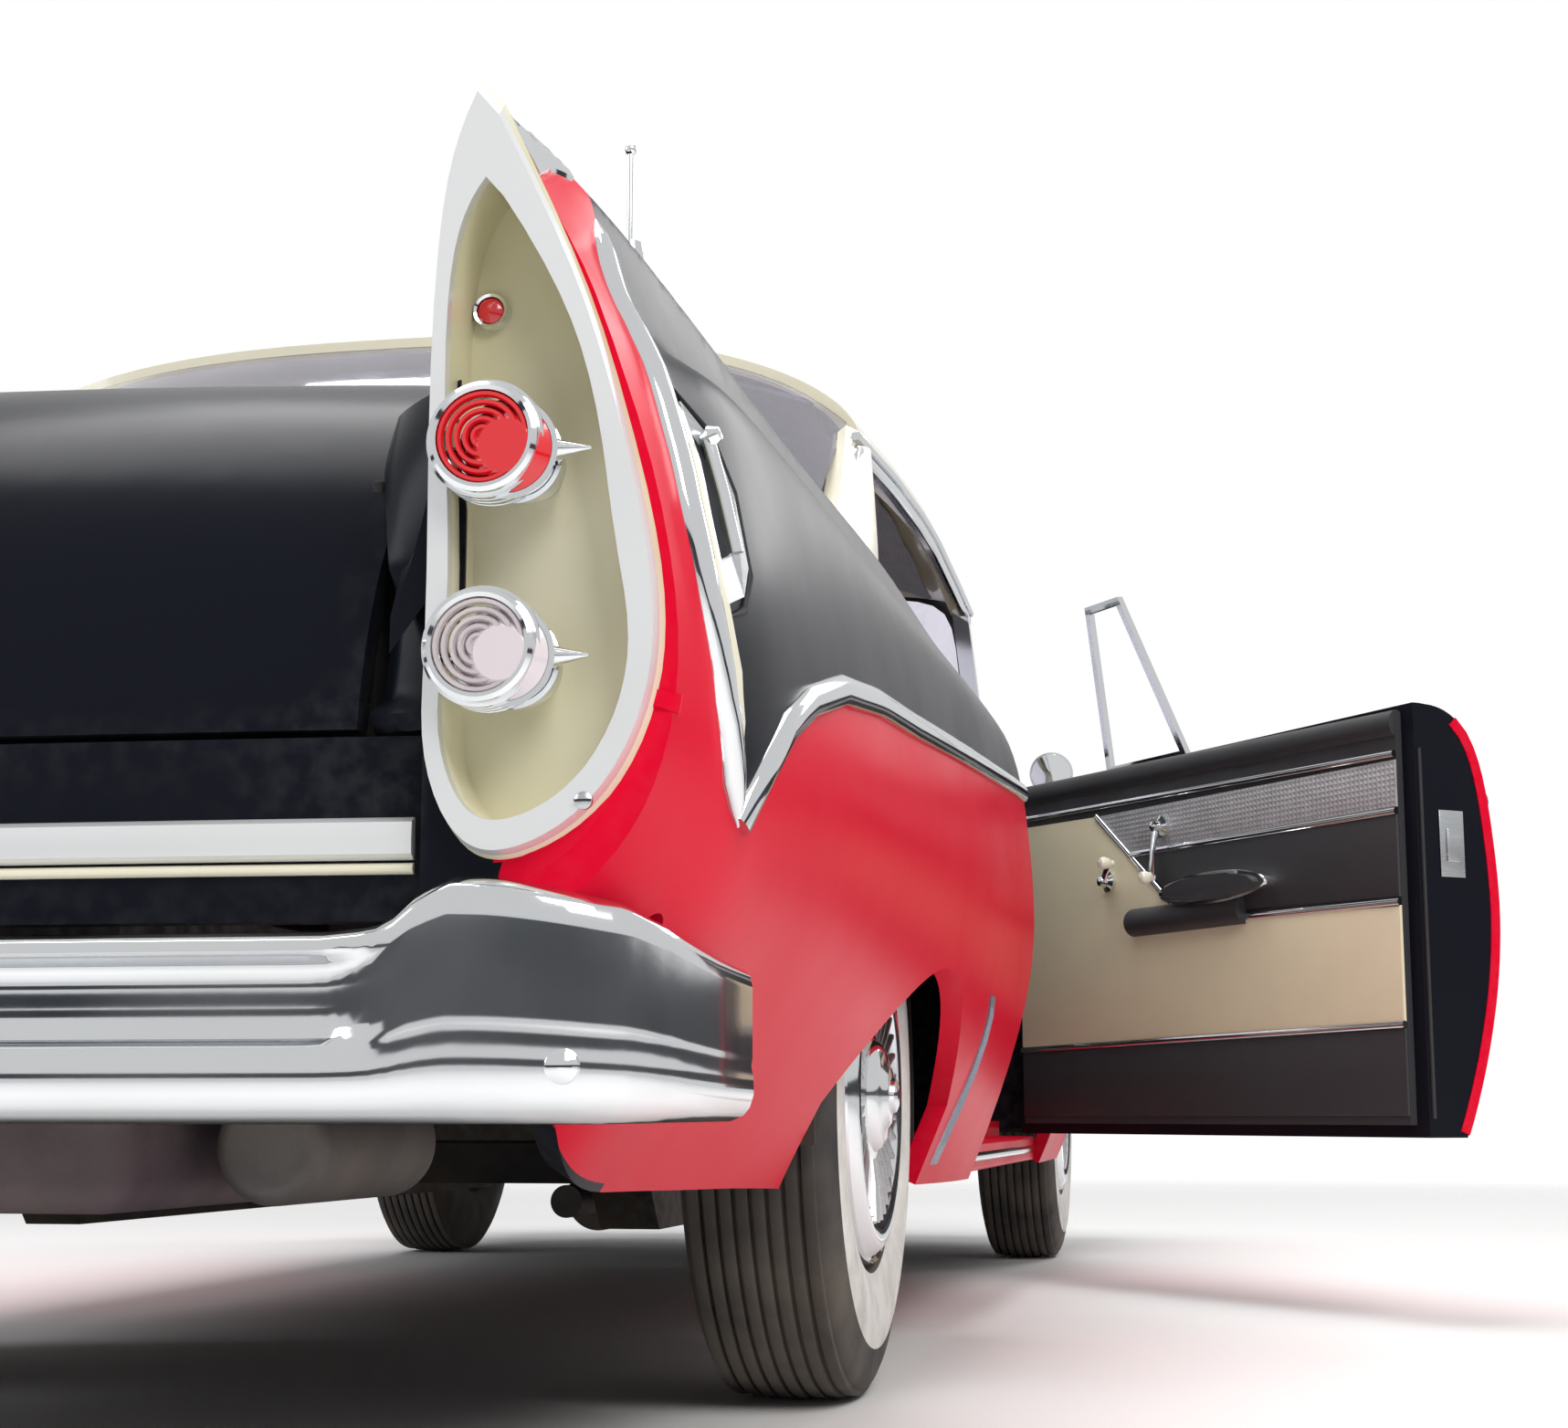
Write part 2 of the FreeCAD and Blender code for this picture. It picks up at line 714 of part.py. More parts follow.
def curved_glass(low_edge, high_edge, bulge, count=13, rows=5):
    """Curved glass between two edges, each a function of the share across."""
    grid = []
    for row in range(rows):
        share = row / (rows - 1)
        line = []
        for across in steps_between(-0.97, 0.97, count):
            low = low_edge(across)
            high = high_edge(across)
            point = low + (high - low) * share
            line.append(point + vector(0, bulge * math.sin(math.pi * share), 0))
        grid.append(line)
    return slab(grid, offset_grid(grid, size("glass_depth")))


def windscreen():
    """Panoramic windscreen."""
    feature("windscreen", curved_glass(windscreen_base, windscreen_head, HALF_WIDTH * 0.02))


def backlight_low(across):
    """Point of the rear window's lower edge."""
    return vector(across * HALF_WIDTH * 0.79, size("backlight_base") + HALF_WIDTH * 0.22 * abs(across) ** 3,
                  SHOULDER * (1.100 - 0.022 * across * across))


def backlight_head(across):
    """Point of the rear window's upper edge, just under the roof."""
    angle = math.copysign(math.asin(min(abs(across) ** (1 / ROOF_ROUNDING), 1.0)), across)
    point = roof_point(angle, 1.0)
    return point - vector(0, size("glass_depth + seat_gap"), size("roof_depth") * 0.6)


def rear_window():
    """Rear window that wraps round to the pillars."""
    glass = curved_glass(backlight_low, backlight_head, -HALF_WIDTH * 0.03)
    feature("rear_window", glass.cut([NODES["rear_pillars"].Shape, NODES["quarter_panel_right"].Shape,
                                      NODES["quarter_panel_left"].Shape]))


PILLAR_WIDTH_SHARE = 0.6
PILLAR_FOOT_SHARE = 1.072


def level_frame(x, y, height):
    """Closed rectangle between pairs of places along X and Y, at a height."""
    corners = [vector(x[0], y[0], height), vector(x[1], y[0], height), vector(x[1], y[1], height),
               vector(x[0], y[1], height)]
    return Part.makePolygon(corners + [corners[0]])


def windscreen_pillars():
    """Front pillars that step forward at their feet, from the cowl's corners up to the roof."""
    half = DEPTH * PILLAR_WIDTH_SHARE
    low = windscreen_base(1.0) + vector(DEPTH * 0.2, -DEPTH, 0)
    high = windscreen_head(1.0) + vector(0, -DEPTH * 1.2, -size("roof_depth"))
    slope = (high - low) * (1 / (high.z - low.z))
    top = high + slope * DEPTH * 2
    knee = low + slope * DEPTH
    sections = [level_frame((low.x - half, low.x + half), (low.y - half, size("door_front + seam_gap * 4")),
                            SHOULDER * PILLAR_FOOT_SHARE)]
    sections += [level_frame((place.x - half, place.x + half), (place.y - half, place.y + half), place.z)
                 for place in (knee, top)]
    pillar = Part.makeLoft(sections, True, True)
    pillar = clear_of(pillar, "roof_panel", "front_fender_right", "cowl_panel", "windscreen")
    feature("windscreen_pillars", both_sides(pillar))


def cowl():
    """Cowl panel between the hood and the windscreen, with its air grille opening."""
    front = size("hood_rear - seam_gap")
    outer = []
    for across in steps_between(-1.0, 1.0, 13):
        line = []
        for share in steps_between(0.0, 1.0, 4):
            rear = max(windscreen_base(across * 0.97).y + size("glass_depth + seat_gap"),
                       size("door_front + seam_gap"))
            place = rear + (front - rear) * share
            half = seam_x(place) - size("seat_gap * 3")
            up = seam_z(place) + (SHOULDER * 1.108 - seam_z(place)) * (1 - across * across) * 0.9
            line.append(vector(across * half, place, up))
        outer.append(line)
    return feature("cowl_panel", panel(outer, -DEPTH))


def hood_line(share):
    """Height of the hood's centre line, from the cowl to its lip."""
    return size("hood_height") * smooth([(0.0, 0.944), (0.3, 0.985), (0.6, 1.0), (0.85, 0.955), (1.0,
                                                                                                 0.85)],
                                                                                                 share)


def hood():
    """Hood from the cowl to the grille, with a raised middle."""
    rear = size("hood_rear")
    front = size("hood_front")
    outer = []
    for share in steps_between(0.0, 1.0, 10):
        place = rear + (front - rear) * share
        half = seam_x(place) - GAP
        edge = seam_z(place)
        middle = hood_line(share)
        line = []
        for across in steps_between(-1.0, 1.0, 13):
            crown = smooth([(0.0, 1.0), (0.25, 0.97), (0.6, 0.66), (1.0, 0.0)], abs(across))
            line.append(vector(across * half, place, edge + (middle - edge) * crown))
        outer.append(line)
    skin = panel(outer, DEPTH)
    pins = lid_barrels(rear - GAP / 2, hood_line(0.0) - GAP, AHEAD)
    feature("hood", skin.fuse(pins))


LID_SHARES = [
    # share round the lid's centre line, share along, share up
    (0.00, 0.000, 1.000), (0.18, 0.220, 0.997), (0.33, 0.412, 0.985), (0.47, 0.600, 0.948), (0.58, 0.735,
                                                                                             0.858),
    (0.68, 0.845, 0.735), (0.77, 0.918, 0.585), (0.86, 0.968, 0.400), (0.93, 0.992, 0.210), (1.00, 1.000,
                                                                                             0.000),
]


def lid_point(across, share):
    """Point of the trunk lid's outer face."""
    front = size("lid_front")
    rear = side_station(SIDE_SHARES[0][0]) - DEPTH / 4
    along = front + (rear - front) * smooth([(row[0], row[1]) for row in LID_SHARES], share)
    low = size("lid_lip_height")
    rise = smooth([(row[0], row[2]) for row in LID_SHARES], share)
    up = low + (size("lid_height") - low) * rise - DEPTH * across * across * rise
    half = size("lid_half_width") * smooth([(0.0, 1.0), (0.7, 1.0), (1.0, 0.965)], share)
    return vector(across * half, along + DEPTH * across * across * (1 - rise), up)


def trunk_lid():
    """Trunk lid, from the rear window's shelf down to its lip over the bumper."""
    outer = [[lid_point(across, share) for across in steps_between(-1.0, 1.0, 11)]
             for share in steps_between(0.0, 1.0, 15)]
    skin = panel(outer, -DEPTH)
    pins = lid_barrels(size("lid_front + seam_gap / 2"), size("lid_height - seam_gap * 0.6"), -AHEAD)
    feature("trunk_lid", skin.fuse(pins))


def upper_deck():
    """Fixed panel between the rear window and the trunk lid."""
    rear = size("lid_front + seam_gap")
    outer = []
    for across in steps_between(-1.0, 1.0, 11):
        line = []
        for share in steps_between(0.0, 1.0, 4):
            start = backlight_low(across * 0.9).y - DEPTH / 2
            place = start + (rear - start) * share
            half = seam_x(place) - GAP / 4
            up = size("lid_height") - DEPTH * across * across
            line.append(vector(across * half, place, up))
        outer.append(line)
    feature("upper_deck", panel(outer, -DEPTH))


def tail_panel():
    """Rear panel under the trunk lid, down behind the bumper."""
    rear = side_station(SIDE_SHARES[0][0])
    low = size("bumper_low + bumper_tall + seam_gap")
    high = size("lid_lip_height - seam_gap")
    half = HALF_WIDTH * 0.762
    outer = []
    for up in steps_between(low, high, 4):
        outer.append([vector(across * half, rear + DEPTH * across * across - DEPTH / 4, up)
                      for across in steps_between(-1.0, 1.0, 9)])
    feature("tail_panel", panel(outer, DEPTH))


BEZEL_SHARES = [
    # distance out and height of the bezel's outline, as shares, and its rim's width beside the usual
    (0.794, 1.143, 3.2), (0.777, 1.094, 2.4), (0.765, 1.006, 1.5), (0.760, 0.850, 1.0), (0.760, 0.680, 1.0),
    (0.769, 0.588, 1.0), (0.806, 0.540, 1.0), (0.857, 0.548, 1.0), (0.905, 0.588, 1.0), (0.939, 0.670, 1.0),
    (0.936, 0.770, 1.0), (0.915, 0.860, 1.0), (0.884, 0.960, 1.2), (0.844, 1.054, 2.0), (0.812, 1.122, 3.0),
]


def bezel_wire(place, inset):
    """Closed pointed arch round the lamps, at a place along the car."""
    middle = vector(HALF_WIDTH * 0.838, place, SHOULDER * 0.76)
    points = []
    for across, up, wide in BEZEL_SHARES:
        point = vector(across * HALF_WIDTH, place, up * SHOULDER)
        inward = middle - point
        length = inward.Length
        points.append(point + inward * (inset * wide / length))
    sides = Part.BSplineCurve()
    sides.interpolate(points)
    return Part.Wire([sides.toShape(), Part.makeLine(points[-1], points[0])])


BEZEL_RIM_SHARE = 0.66
BEZEL_DEEP_SHARE = 1.9


def bezel_recess(inset, deep):
    """Straight-sided plug the shape of the bezel's opening, from the tail's face forwards."""
    rear = side_station(SIDE_SHARES[0][0])
    wire = bezel_wire(rear - DEPTH * 2, inset)
    return Part.Face(wire).extrude(AHEAD * (DEPTH * 2 + deep))


def bezels():
    """Pointed bright bezels that close the tail, each a flange with a deep cup behind it."""
    rear = side_station(SIDE_SHARES[0][0]) - size("seat_gap")
    rim = DEPTH * BEZEL_RIM_SHARE
    deep = DEPTH * BEZEL_DEEP_SHARE
    wall = rim * 0.5
    face = rear - DEPTH * 0.7
    flange = Part.makeLoft([bezel_wire(rear, 0.0), bezel_wire(face, wall * 0.6)], True)
    cup = bezel_recess(rim + size("seat_gap"), deep - size("seat_gap"))
    cup = cup.cut(block((0, HALF_WIDTH * 2), (TAIL_Y - HALF_WIDTH, face), (0, size("roof_height"))))
    hollow = bezel_recess(rim + wall, deep - wall)
    feature("lamp_bezels", both_sides(flange.fuse(cup).cut(hollow)))


LAMP_OUT_SHARE = 0.830
LAMP_HEIGHT_SHARES = (0.683, 0.838)
LAMP_RIBS = 4


def lamp_barrel(foot, long):
    """One ribbed lamp barrel with its pointed side wings, and its lens."""
    radius = size("lamp_radius")
    shank = Part.makeCone(radius * 0.58, radius * 0.84, long - radius * 0.5, foot, -AHEAD)
    mouth = foot - AHEAD * (long - radius * 0.5)
    pieces = [Part.makeCone(radius * 0.86, radius * 1.06, radius * 0.5, mouth, -AHEAD)]
    for index in range(LAMP_RIBS):
        place = mouth + AHEAD * (radius * (0.10 + 0.28 * index))
        pieces.append(Part.makeCylinder(radius * (1.0 - 0.07 * index), radius * 0.14, place, AHEAD))
    tip = mouth - AHEAD * radius * 0.25
    for side in (-1, 1):
        pieces.append(Part.makeCone(radius * 0.26, radius * 0.03, radius * 0.85,
                                    tip + RIGHT * (side * radius * 0.85),
                                    RIGHT * side))
    face = mouth - AHEAD * radius * 0.5
    socket = Part.makeCylinder(radius * 0.94, radius * 0.22, face + AHEAD * radius * 0.2, -AHEAD)
    barrel_shape = shank.fuse(pieces).cut(socket)
    seat = face + AHEAD * (radius * 0.2 - size("seat_gap"))
    disc = Part.makeCylinder(radius * 0.94 - size("seat_gap"), radius * 0.2, seat, -AHEAD)
    dome = Part.makeCone(radius * 0.92, radius * 0.55, radius * 0.3, seat - AHEAD * radius * 0.2, -AHEAD)
    return barrel_shape, disc.fuse(dome)


def lamp_pods():
    """Two round lamp barrels, one over the other, at each side of the tail."""
    rear = side_station(SIDE_SHARES[0][0])
    floor = rear + DEPTH * (BEZEL_DEEP_SHARE - BEZEL_RIM_SHARE * 0.5) - size("seat_gap")
    long = floor - TAIL_Y - size("lamp_radius") * 0.3
    pods = []
    lenses = []
    for share in LAMP_HEIGHT_SHARES:
        foot = vector(HALF_WIDTH * LAMP_OUT_SHARE, floor, SHOULDER * share)
        pod, lens = lamp_barrel(foot, long)
        pods.append(pod)
        lenses.append(lens)
    feature("tail_lamp_pods", Part.makeCompound(pods + [flipped(pod) for pod in pods]))
    feature("tail_lamp_lenses", Part.makeCompound(lenses + [flipped(lens) for lens in lenses]))


REAR_WRAP_SHARE = 0.016
FRONT_WRAP_SHARE = 0.030
REAR_REACH_SHARE = 0.972
FRONT_REACH_SHARE = 1.01


def bumper_half(across, reach_share):
    """Distance out of the bumper's back, by share of its half width."""
    return HALF_WIDTH * reach_share - bumper_depth(across)


def bumper_depth(across):
    """Thickness of the bumper, thinner where it wraps round the corner."""
    return size("bumper_thickness") * (1.0 - 0.64 * abs(across) ** 4)


def bumper_back(across, wrap_share):
    """How far the bumper's back lies from the car's end, by share of its half width."""
    return size("bumper_thickness") + CAR_LENGTH * wrap_share * abs(across) ** 5


BAR_SHARES = [(0.0, 0.0), (0.62, 0.02), (0.95, 0.14), (0.98, 0.30), (0.78, 0.40), (0.76, 0.62), (0.98, 0.74),
              (1.0, 0.88), (0.70, 1.0), (0.0, 1.0)]
POD_SHARES = [(0.0, 0.0), (0.58, 0.02), (0.88, 0.12), (0.97, 0.28), (1.0, 0.42), (1.0, 0.56), (0.98, 0.70),
              (0.91, 0.84), (0.62, 0.97), (0.0, 1.0)]


def bumper_section(centre, lean, tall, thick, fullness):
    """Closed wire of a bumper's section, its face turned by a lean from straight back."""
    facing = vector(math.sin(lean), -math.cos(lean), 0)
    points = []
    for (bar_out, bar_up), (pod_out, pod_up) in zip(BAR_SHARES, POD_SHARES):
        out = bar_out + (pod_out - bar_out) * fullness
        up = bar_up + (pod_up - bar_up) * fullness
        points.append(centre + facing * (out * thick) + UP * (up * tall))
    face = Part.BSplineCurve()
    face.interpolate(points)
    return Part.Wire([face.toShape(), Part.makeLine(points[-1], points[0])])


BUMPER_PLACES = (0.0, 0.25, 0.50, 0.66, 0.73, 0.775, 0.81, 0.85, 0.90, 0.95, 1.0)


def bumper(end_y, wrap_share, reach_share, growth):
    """A bar across the car that wraps round its corners, taller there by a growth."""
    tall = size("bumper_tall")
    sections = []
    for across in [-place for place in reversed(BUMPER_PLACES[1:])] + list(BUMPER_PLACES):
        lean = math.copysign(abs(across) ** 4, across) * math.pi * 0.44
        fullness = smooth([(0.0, 0.0), (0.73, 0.0), (0.81, 1.0), (1.0, 1.0)], abs(across))
        dip = smooth([(0.0, 0.0), (0.66, 0.0), (0.775, 1.0), (0.85, 0.0), (1.0, 0.0)], abs(across))
        thick = bumper_depth(across) * (1.0 - growth * 0.5 * dip)
        back = end_y + bumper_back(across, wrap_share)
        centre = vector(across * bumper_half(across, reach_share), back, size("bumper_low"))
        grow = 1.0 + growth * smooth([(0.0, 0.0), (0.75, 0.0), (0.83, 1.0), (0.90, 1.0), (0.96, 0.6),
                                      (1.0, 0.1)], abs(across))
        sections.append(bumper_section(centre, lean, tall * grow, thick, fullness))
    return Part.makeLoft(sections, True, False)


def clear_of(shape, *names):
    """The largest piece of a shape that lies outside the named sub-parts."""
    rest = shape.cut([NODES[name].Shape for name in names])
    return max(rest.Solids, key=lambda solid: solid.Volume)


def bumpers():
    """Rear and front bumpers."""
    feature("rear_bumper", bumper(TAIL_Y, REAR_WRAP_SHARE, REAR_REACH_SHARE, 0.32))
    for name in ("quarter_panel_right", "quarter_panel_left", "tail_panel"):
        NODES[name].Shape = clear_of(NODES[name].Shape, "rear_bumper")
    front = bumper(-(TAIL_Y + CAR_LENGTH), FRONT_WRAP_SHARE, FRONT_REACH_SHARE, 0.0).mirror(ORIGIN, AHEAD)
    feature("front_bumper", clear_of(front, "front_fender_right", "front_fender_left", "headlamp_panels"))


def grille():
    """Split grille between the front bumper and the hood."""
    front = size("hood_front")
    half = HALF_WIDTH * 0.64 - size("seat_gap")
    low = size("bumper_low + bumper_tall") + DEPTH
    high = seam_z(front) - DEPTH * 1.4
    tall = high - low
    frame = block((-half, half), (front - DEPTH, front), (low, high))
    frame = frame.cut(block((-half + DEPTH, half - DEPTH), (front - DEPTH * 2, front + DEPTH),
                            (low + DEPTH, high - DEPTH)))
    bars = [frame]
    count = 7
    for index in range(1, count):
        up = low + tall * index / count
        bars.append(block((-half + DEPTH / 2, half - DEPTH / 2), (front - DEPTH * 0.8, front - DEPTH * 0.2),
                          (up - DEPTH * 0.12, up + DEPTH * 0.12)))
    for side in (-0.5, 0.0, 0.5):
        bars.append(block((side * half - DEPTH * 0.2, side * half + DEPTH * 0.2),
                          (front - DEPTH * 0.7, front - DEPTH * 0.3), (low + DEPTH / 2, high - DEPTH / 2)))
    feature("grille", bars[0].fuse(bars[1:]))


def headlamps():
    """Round headlamps in the fenders' front ends."""
    front = side_station(SIDE_SHARES[-1][0])
    radius = size("headlamp_radius")
    centre = vector(HALF_WIDTH * 0.80, front + GAP / 4, SHOULDER * 0.74)
    shell = Part.makeCylinder(radius, radius * 0.5, centre - AHEAD * radius * 0.3, AHEAD)
    ring = Part.makeTorus(radius * 0.96, radius * 0.10, centre + AHEAD * radius * 0.24, AHEAD)
    lamp = shell.fuse(ring)
    feature("headlamps", both_sides(lamp))


def front_end_panel():
    """Panels that close the fenders' front ends round the headlamps and below the hood."""
    front = side_station(SIDE_SHARES[-1][0])
    section = side_section(front)
    outer = Part.makePolygon([vector(p.x - DEPTH * 0.2, front,
                                     p.z - DEPTH * 0.2) for p in section[:9 * POINTS_BETWEEN]]
                             + [vector(HALF_WIDTH * 0.64, front, SHOULDER * 0.88),
                                vector(HALF_WIDTH * 0.64, front, SHOULDER * 0.42),
                                vector(section[0].x - DEPTH * 0.2, front, section[0].z - DEPTH * 0.2)])
    plate = Part.Face(outer).extrude(AHEAD * (DEPTH * 0.5))
    plate.translate(AHEAD * (GAP / 20))
    hole = Part.makeCylinder(size("headlamp_radius + seat_gap"), DEPTH * 2,
                             vector(HALF_WIDTH * 0.80, front - DEPTH, SHOULDER * 0.74), AHEAD)
    feature("headlamp_panels", both_sides(plate.cut(hole)))


def wheels():
    """Four wheels with their tyres."""
    tyre_outline = [("-tyre_width * 0.42", "tyre_bead"), ("-tyre_width * 0.5", "tyre_diameter * 0.37"),
                    ("-tyre_width * 0.47", "tyre_diameter * 0.44"), ("-tyre_width * 0.36",
                                                                     "tyre_diameter * 0.492"),
                    ("0", "tyre_diameter / 2"), ("tyre_width * 0.36", "tyre_diameter * 0.492"),
                    ("tyre_width * 0.47", "tyre_diameter * 0.44"), ("tyre_width * 0.5",
                                                                    "tyre_diameter * 0.37"),
                    ("tyre_width * 0.42", "tyre_bead")]
    wheel_outline = [("-rim_width * 0.5", "tyre_bead * 0.9"), ("-rim_width * 0.5", "tyre_bead - seat_gap"),
                     ("rim_width * 0.5", "tyre_bead - seat_gap"), ("rim_width * 0.52", "tyre_bead * 0.93"),
                     ("rim_width * 0.40", "tyre_bead * 0.82"), ("rim_width * 0.30", "tyre_bead * 0.60"),
                     ("rim_width * 0.42", "tyre_bead * 0.34"), ("rim_width * 0.60", "tyre_bead * 0.26"),
                     ("rim_width * 0.66", "tyre_bead * 0.10"), ("rim_width * 0.68", "0"),
                     ("rim_width * 0.18", "0"), ("rim_width * 0.18", "tyre_bead * 0.70"),
                     ("-rim_width * 0.1", "tyre_bead * 0.86")]
    places = {
        "front_right": (1, FRONT_AXLE), "front_left": (-1, FRONT_AXLE),
        "rear_right": (1, REAR_AXLE), "rear_left": (-1, REAR_AXLE),
    }
    for name, (side, along) in places.items():
        for piece, outline in (("tyre", tyre_outline), ("wheel", wheel_outline)):
            body = revolved(f"{piece}_{name}", outline)
            turn = 0 if side > 0 else 180
            body.Placement = FreeCAD.Placement(ORIGIN, FreeCAD.Rotation(UP, turn))
            body.setExpression(".Placement.Base.x", bound(f"{side} * wheel_track / 2"))
            body.setExpression(".Placement.Base.y", bound("wheelbase / 2" if along > 0 else "-wheelbase / 2"))
            body.setExpression(".Placement.Base.z", bound("tyre_diameter / 2"))
            keep(f"{piece}_{name}", body)


def knuckles():
    """Steering knuckles, each an upright with a stub axle and a drum backing plate."""
    radius = size("spindle_radius")
    pin = size("kingpin_x")
    track = size("wheel_track / 2")
    upright = Part.makeCylinder(radius, radius * 9, vector(pin, FRONT_AXLE, AXLE_HEIGHT - radius * 4.5), UP)
    plate = Part.makeCylinder(size("tyre_bead") * 0.45, radius * 0.6, vector(pin + radius * 0.7,
                                                                             FRONT_AXLE, AXLE_HEIGHT),
                              RIGHT)
    stub = rod(vector(pin, FRONT_AXLE, AXLE_HEIGHT),
               vector(track + size("rim_width") * 0.18 - size("seat_gap"),
                                                            FRONT_AXLE, AXLE_HEIGHT), radius)
    arm = block((pin - radius, pin), (FRONT_AXLE - radius * 7, FRONT_AXLE), (AXLE_HEIGHT - radius * 3,
                                                                         AXLE_HEIGHT - radius * 2))
    knuckle = upright.fuse([plate, stub, arm])
    feature("knuckle_right", knuckle)
    feature("knuckle_left", flipped(knuckle))


def chassis_frame():
    """Box-section side rails that rise over the axles, joined by cross-members."""
    low = size("rail_height")
    deep = size("rail_depth")
    wide = size("rail_width")
    kick = deep * 1.6
    rail_edge = size("rail_centre + rail_width / 2")
    rear = TAIL_Y + bumper_back(rail_edge / bumper_half(0.5, REAR_REACH_SHARE),
                                REAR_WRAP_SHARE) + size("seat_gap")
    nose = bumper_back(rail_edge / bumper_half(0.5, FRONT_REACH_SHARE), FRONT_WRAP_SHARE)
    front = TAIL_Y + CAR_LENGTH - nose - size("seat_gap")
    crest = size("trunk_rise")
    line = [(rear, kick), (REAR_AXLE - deep * 3.4, kick), (REAR_AXLE - deep * 1.6, crest),
            (REAR_AXLE + deep * 0.9, crest), (REAR_AXLE + deep * 3.0, 0.0), (FRONT_AXLE - deep * 6, 0.0),
            (FRONT_AXLE - deep * 3.4, kick * 0.5), (front, kick * 0.5)]
    top = [vector(0, place, low + rise) for place, rise in line]
    bottom = [vector(0, place, low + rise - deep) for place, rise in reversed(line)]
    outline = Part.Face(Part.makePolygon(top + bottom + [top[0]]))
    rails = []
    for side in (-1, 1):
        rail = outline.extrude(RIGHT * wide)
        rail.translate(vector(side * size("rail_centre") - wide / 2, 0, 0))
        rails.append(rail)
    inner = size("rail_centre")
    for place, rise in ((rear + deep, kick), (REAR_AXLE + deep * 5.6, 0.0), (size("-cut_overrun * 2"), 0.0),
                        (FRONT_AXLE - deep * 7, 0.0), (front - deep * 2, kick * 0.5)):
        rails.append(block((-inner, inner), (place - wide / 2, place + wide / 2),
                           (low + rise - deep * 0.55, low + rise - deep * 0.05)))
    rails.append(block((-inner, inner), (FRONT_AXLE - wide / 2, FRONT_AXLE + wide / 2),
                       (low + kick * 0.5 - deep, engine_base() - size("seat_gap"))))
    feature("chassis_frame", rails[0].fuse(rails[1:]))


def engine_base():
    """Height of the engine's lowest face, on its cross-member."""
    return size("rail_height + rail_depth * 0.3")


def floor_pan():
    """Firewall and cabin floor in one pressed sheet, up to the rear seat's back wall."""
    body = padded("floor_pan", [
        ("hood_rear - cut_overrun", "shoulder_height * 1.02"),
        ("hood_rear - cut_overrun", "rail_height + seat_gap + rail_depth * 1.4"),
        ("hood_rear - rail_depth * 3", "rail_height + seat_gap"),
        ("-wheelbase / 2 + rail_depth * 3.4", "rail_height + seat_gap"),
        ("-wheelbase / 2 + rail_depth * 3.1", "rail_height + trunk_rise"),
        ("-wheelbase / 2 + rail_depth * 3.1 + floor_depth", "rail_height + trunk_rise"),
        ("-wheelbase / 2 + rail_depth * 3.4 + floor_depth", "rail_height + seat_gap + floor_depth"),
        ("hood_rear - rail_depth * 3 - floor_depth", "rail_height + seat_gap + floor_depth"),
        ("hood_rear - cut_overrun - floor_depth", "rail_height + seat_gap + rail_depth * 1.4 + floor_depth"),
        ("hood_rear - cut_overrun - floor_depth", "shoulder_height * 1.02"),
    ], "dash_width")
    keep("floor_pan", body)


def trunk_floor():
    """Trunk floor over the rear axle, between the wheels, to the tail."""
    rear = f"-wheelbase / 2 - tail_overhang + car_length * {SIDE_SHARES[0][0]} + skin_depth * 1.51"
    keep("trunk_floor", padded("trunk_floor", [
        ("-wheelbase / 2 + rail_depth * 3.1 + floor_depth", "rail_height + trunk_rise + seat_gap"),
        (rear, "rail_height + trunk_rise + seat_gap"),
        (rear, "rail_height + trunk_rise + floor_depth"),
        ("-wheelbase / 2 + rail_depth * 3.1 + floor_depth", "rail_height + trunk_rise + floor_depth"),
    ], "wheel_track - tyre_width - cut_overrun"))


def rockers():
    """Sills under the doors."""
    front = size("door_front")
    rear = size("door_front - door_length")
    middle = side_section((front + rear) / 2)
    outer = between_points(middle, point_at_height(middle, size("sill_height + seam_gap"))).x
    sill = block((size("dash_width / 2 + seat_gap"), outer - DEPTH / 2), (rear, front),
                 (size("sill_height"), size("door_bottom - seam_gap")))
    sill = sill.makeFillet(DEPTH / 4, [edge for edge in sill.Edges if abs(edge.tangentAt(0).y) > 0.5])
    step = block((size("dash_width / 2 + seat_gap"), size("door_inner") - DEPTH), (rear, front),
                 (size("sill_height") + DEPTH / 4, size("rail_height + seat_gap + floor_depth")))
    feature("rocker_panels", both_sides(sill.fuse(step)))


def seat(name, front, back_rake, width):
    """A bench seat's cushion and backrest in one side profile."""
    place = front
    keep(name, padded(name, [
        (place, "rail_height + seat_gap + floor_depth + seat_gap"),
        (f"{place} - seat_height * 1.55", "rail_height + seat_gap + floor_depth + seat_gap"),
        (f"{place} - seat_height * {back_rake}", "seat_height * 3.05"),
        (f"{place} - seat_height * {back_rake} + seat_height * 0.55", "seat_height * 3.05"),
        (f"{place} - seat_height * 1.55", "seat_height * 1.75"),
        (f"{place}", "seat_height * 1.75"),
    ], width))


def dashboard():
    """Dashboard with a padded brow."""
    keep("dashboard", padded("dashboard", [
        ("hood_rear - cut_overrun - floor_depth - seat_gap", "shoulder_height * 1.02"),
        ("hood_rear - rail_depth * 2.6", "shoulder_height * 1.03"),
        ("hood_rear - rail_depth * 2.75", "shoulder_height * 0.98"),
        ("hood_rear - rail_depth * 2.35", "shoulder_height * 0.72"),
        ("hood_rear - rail_depth * 2.0", "shoulder_height * 0.70"),
        ("hood_rear - cut_overrun - floor_depth - seat_gap", "shoulder_height * 0.84"),
    ], "dash_width"))


def steering_wheel_centre():
    """Middle of the steering wheel."""
    return vector(size("-column_offset"), size("hood_rear - rail_depth * 4.4"), SHOULDER * 0.985)


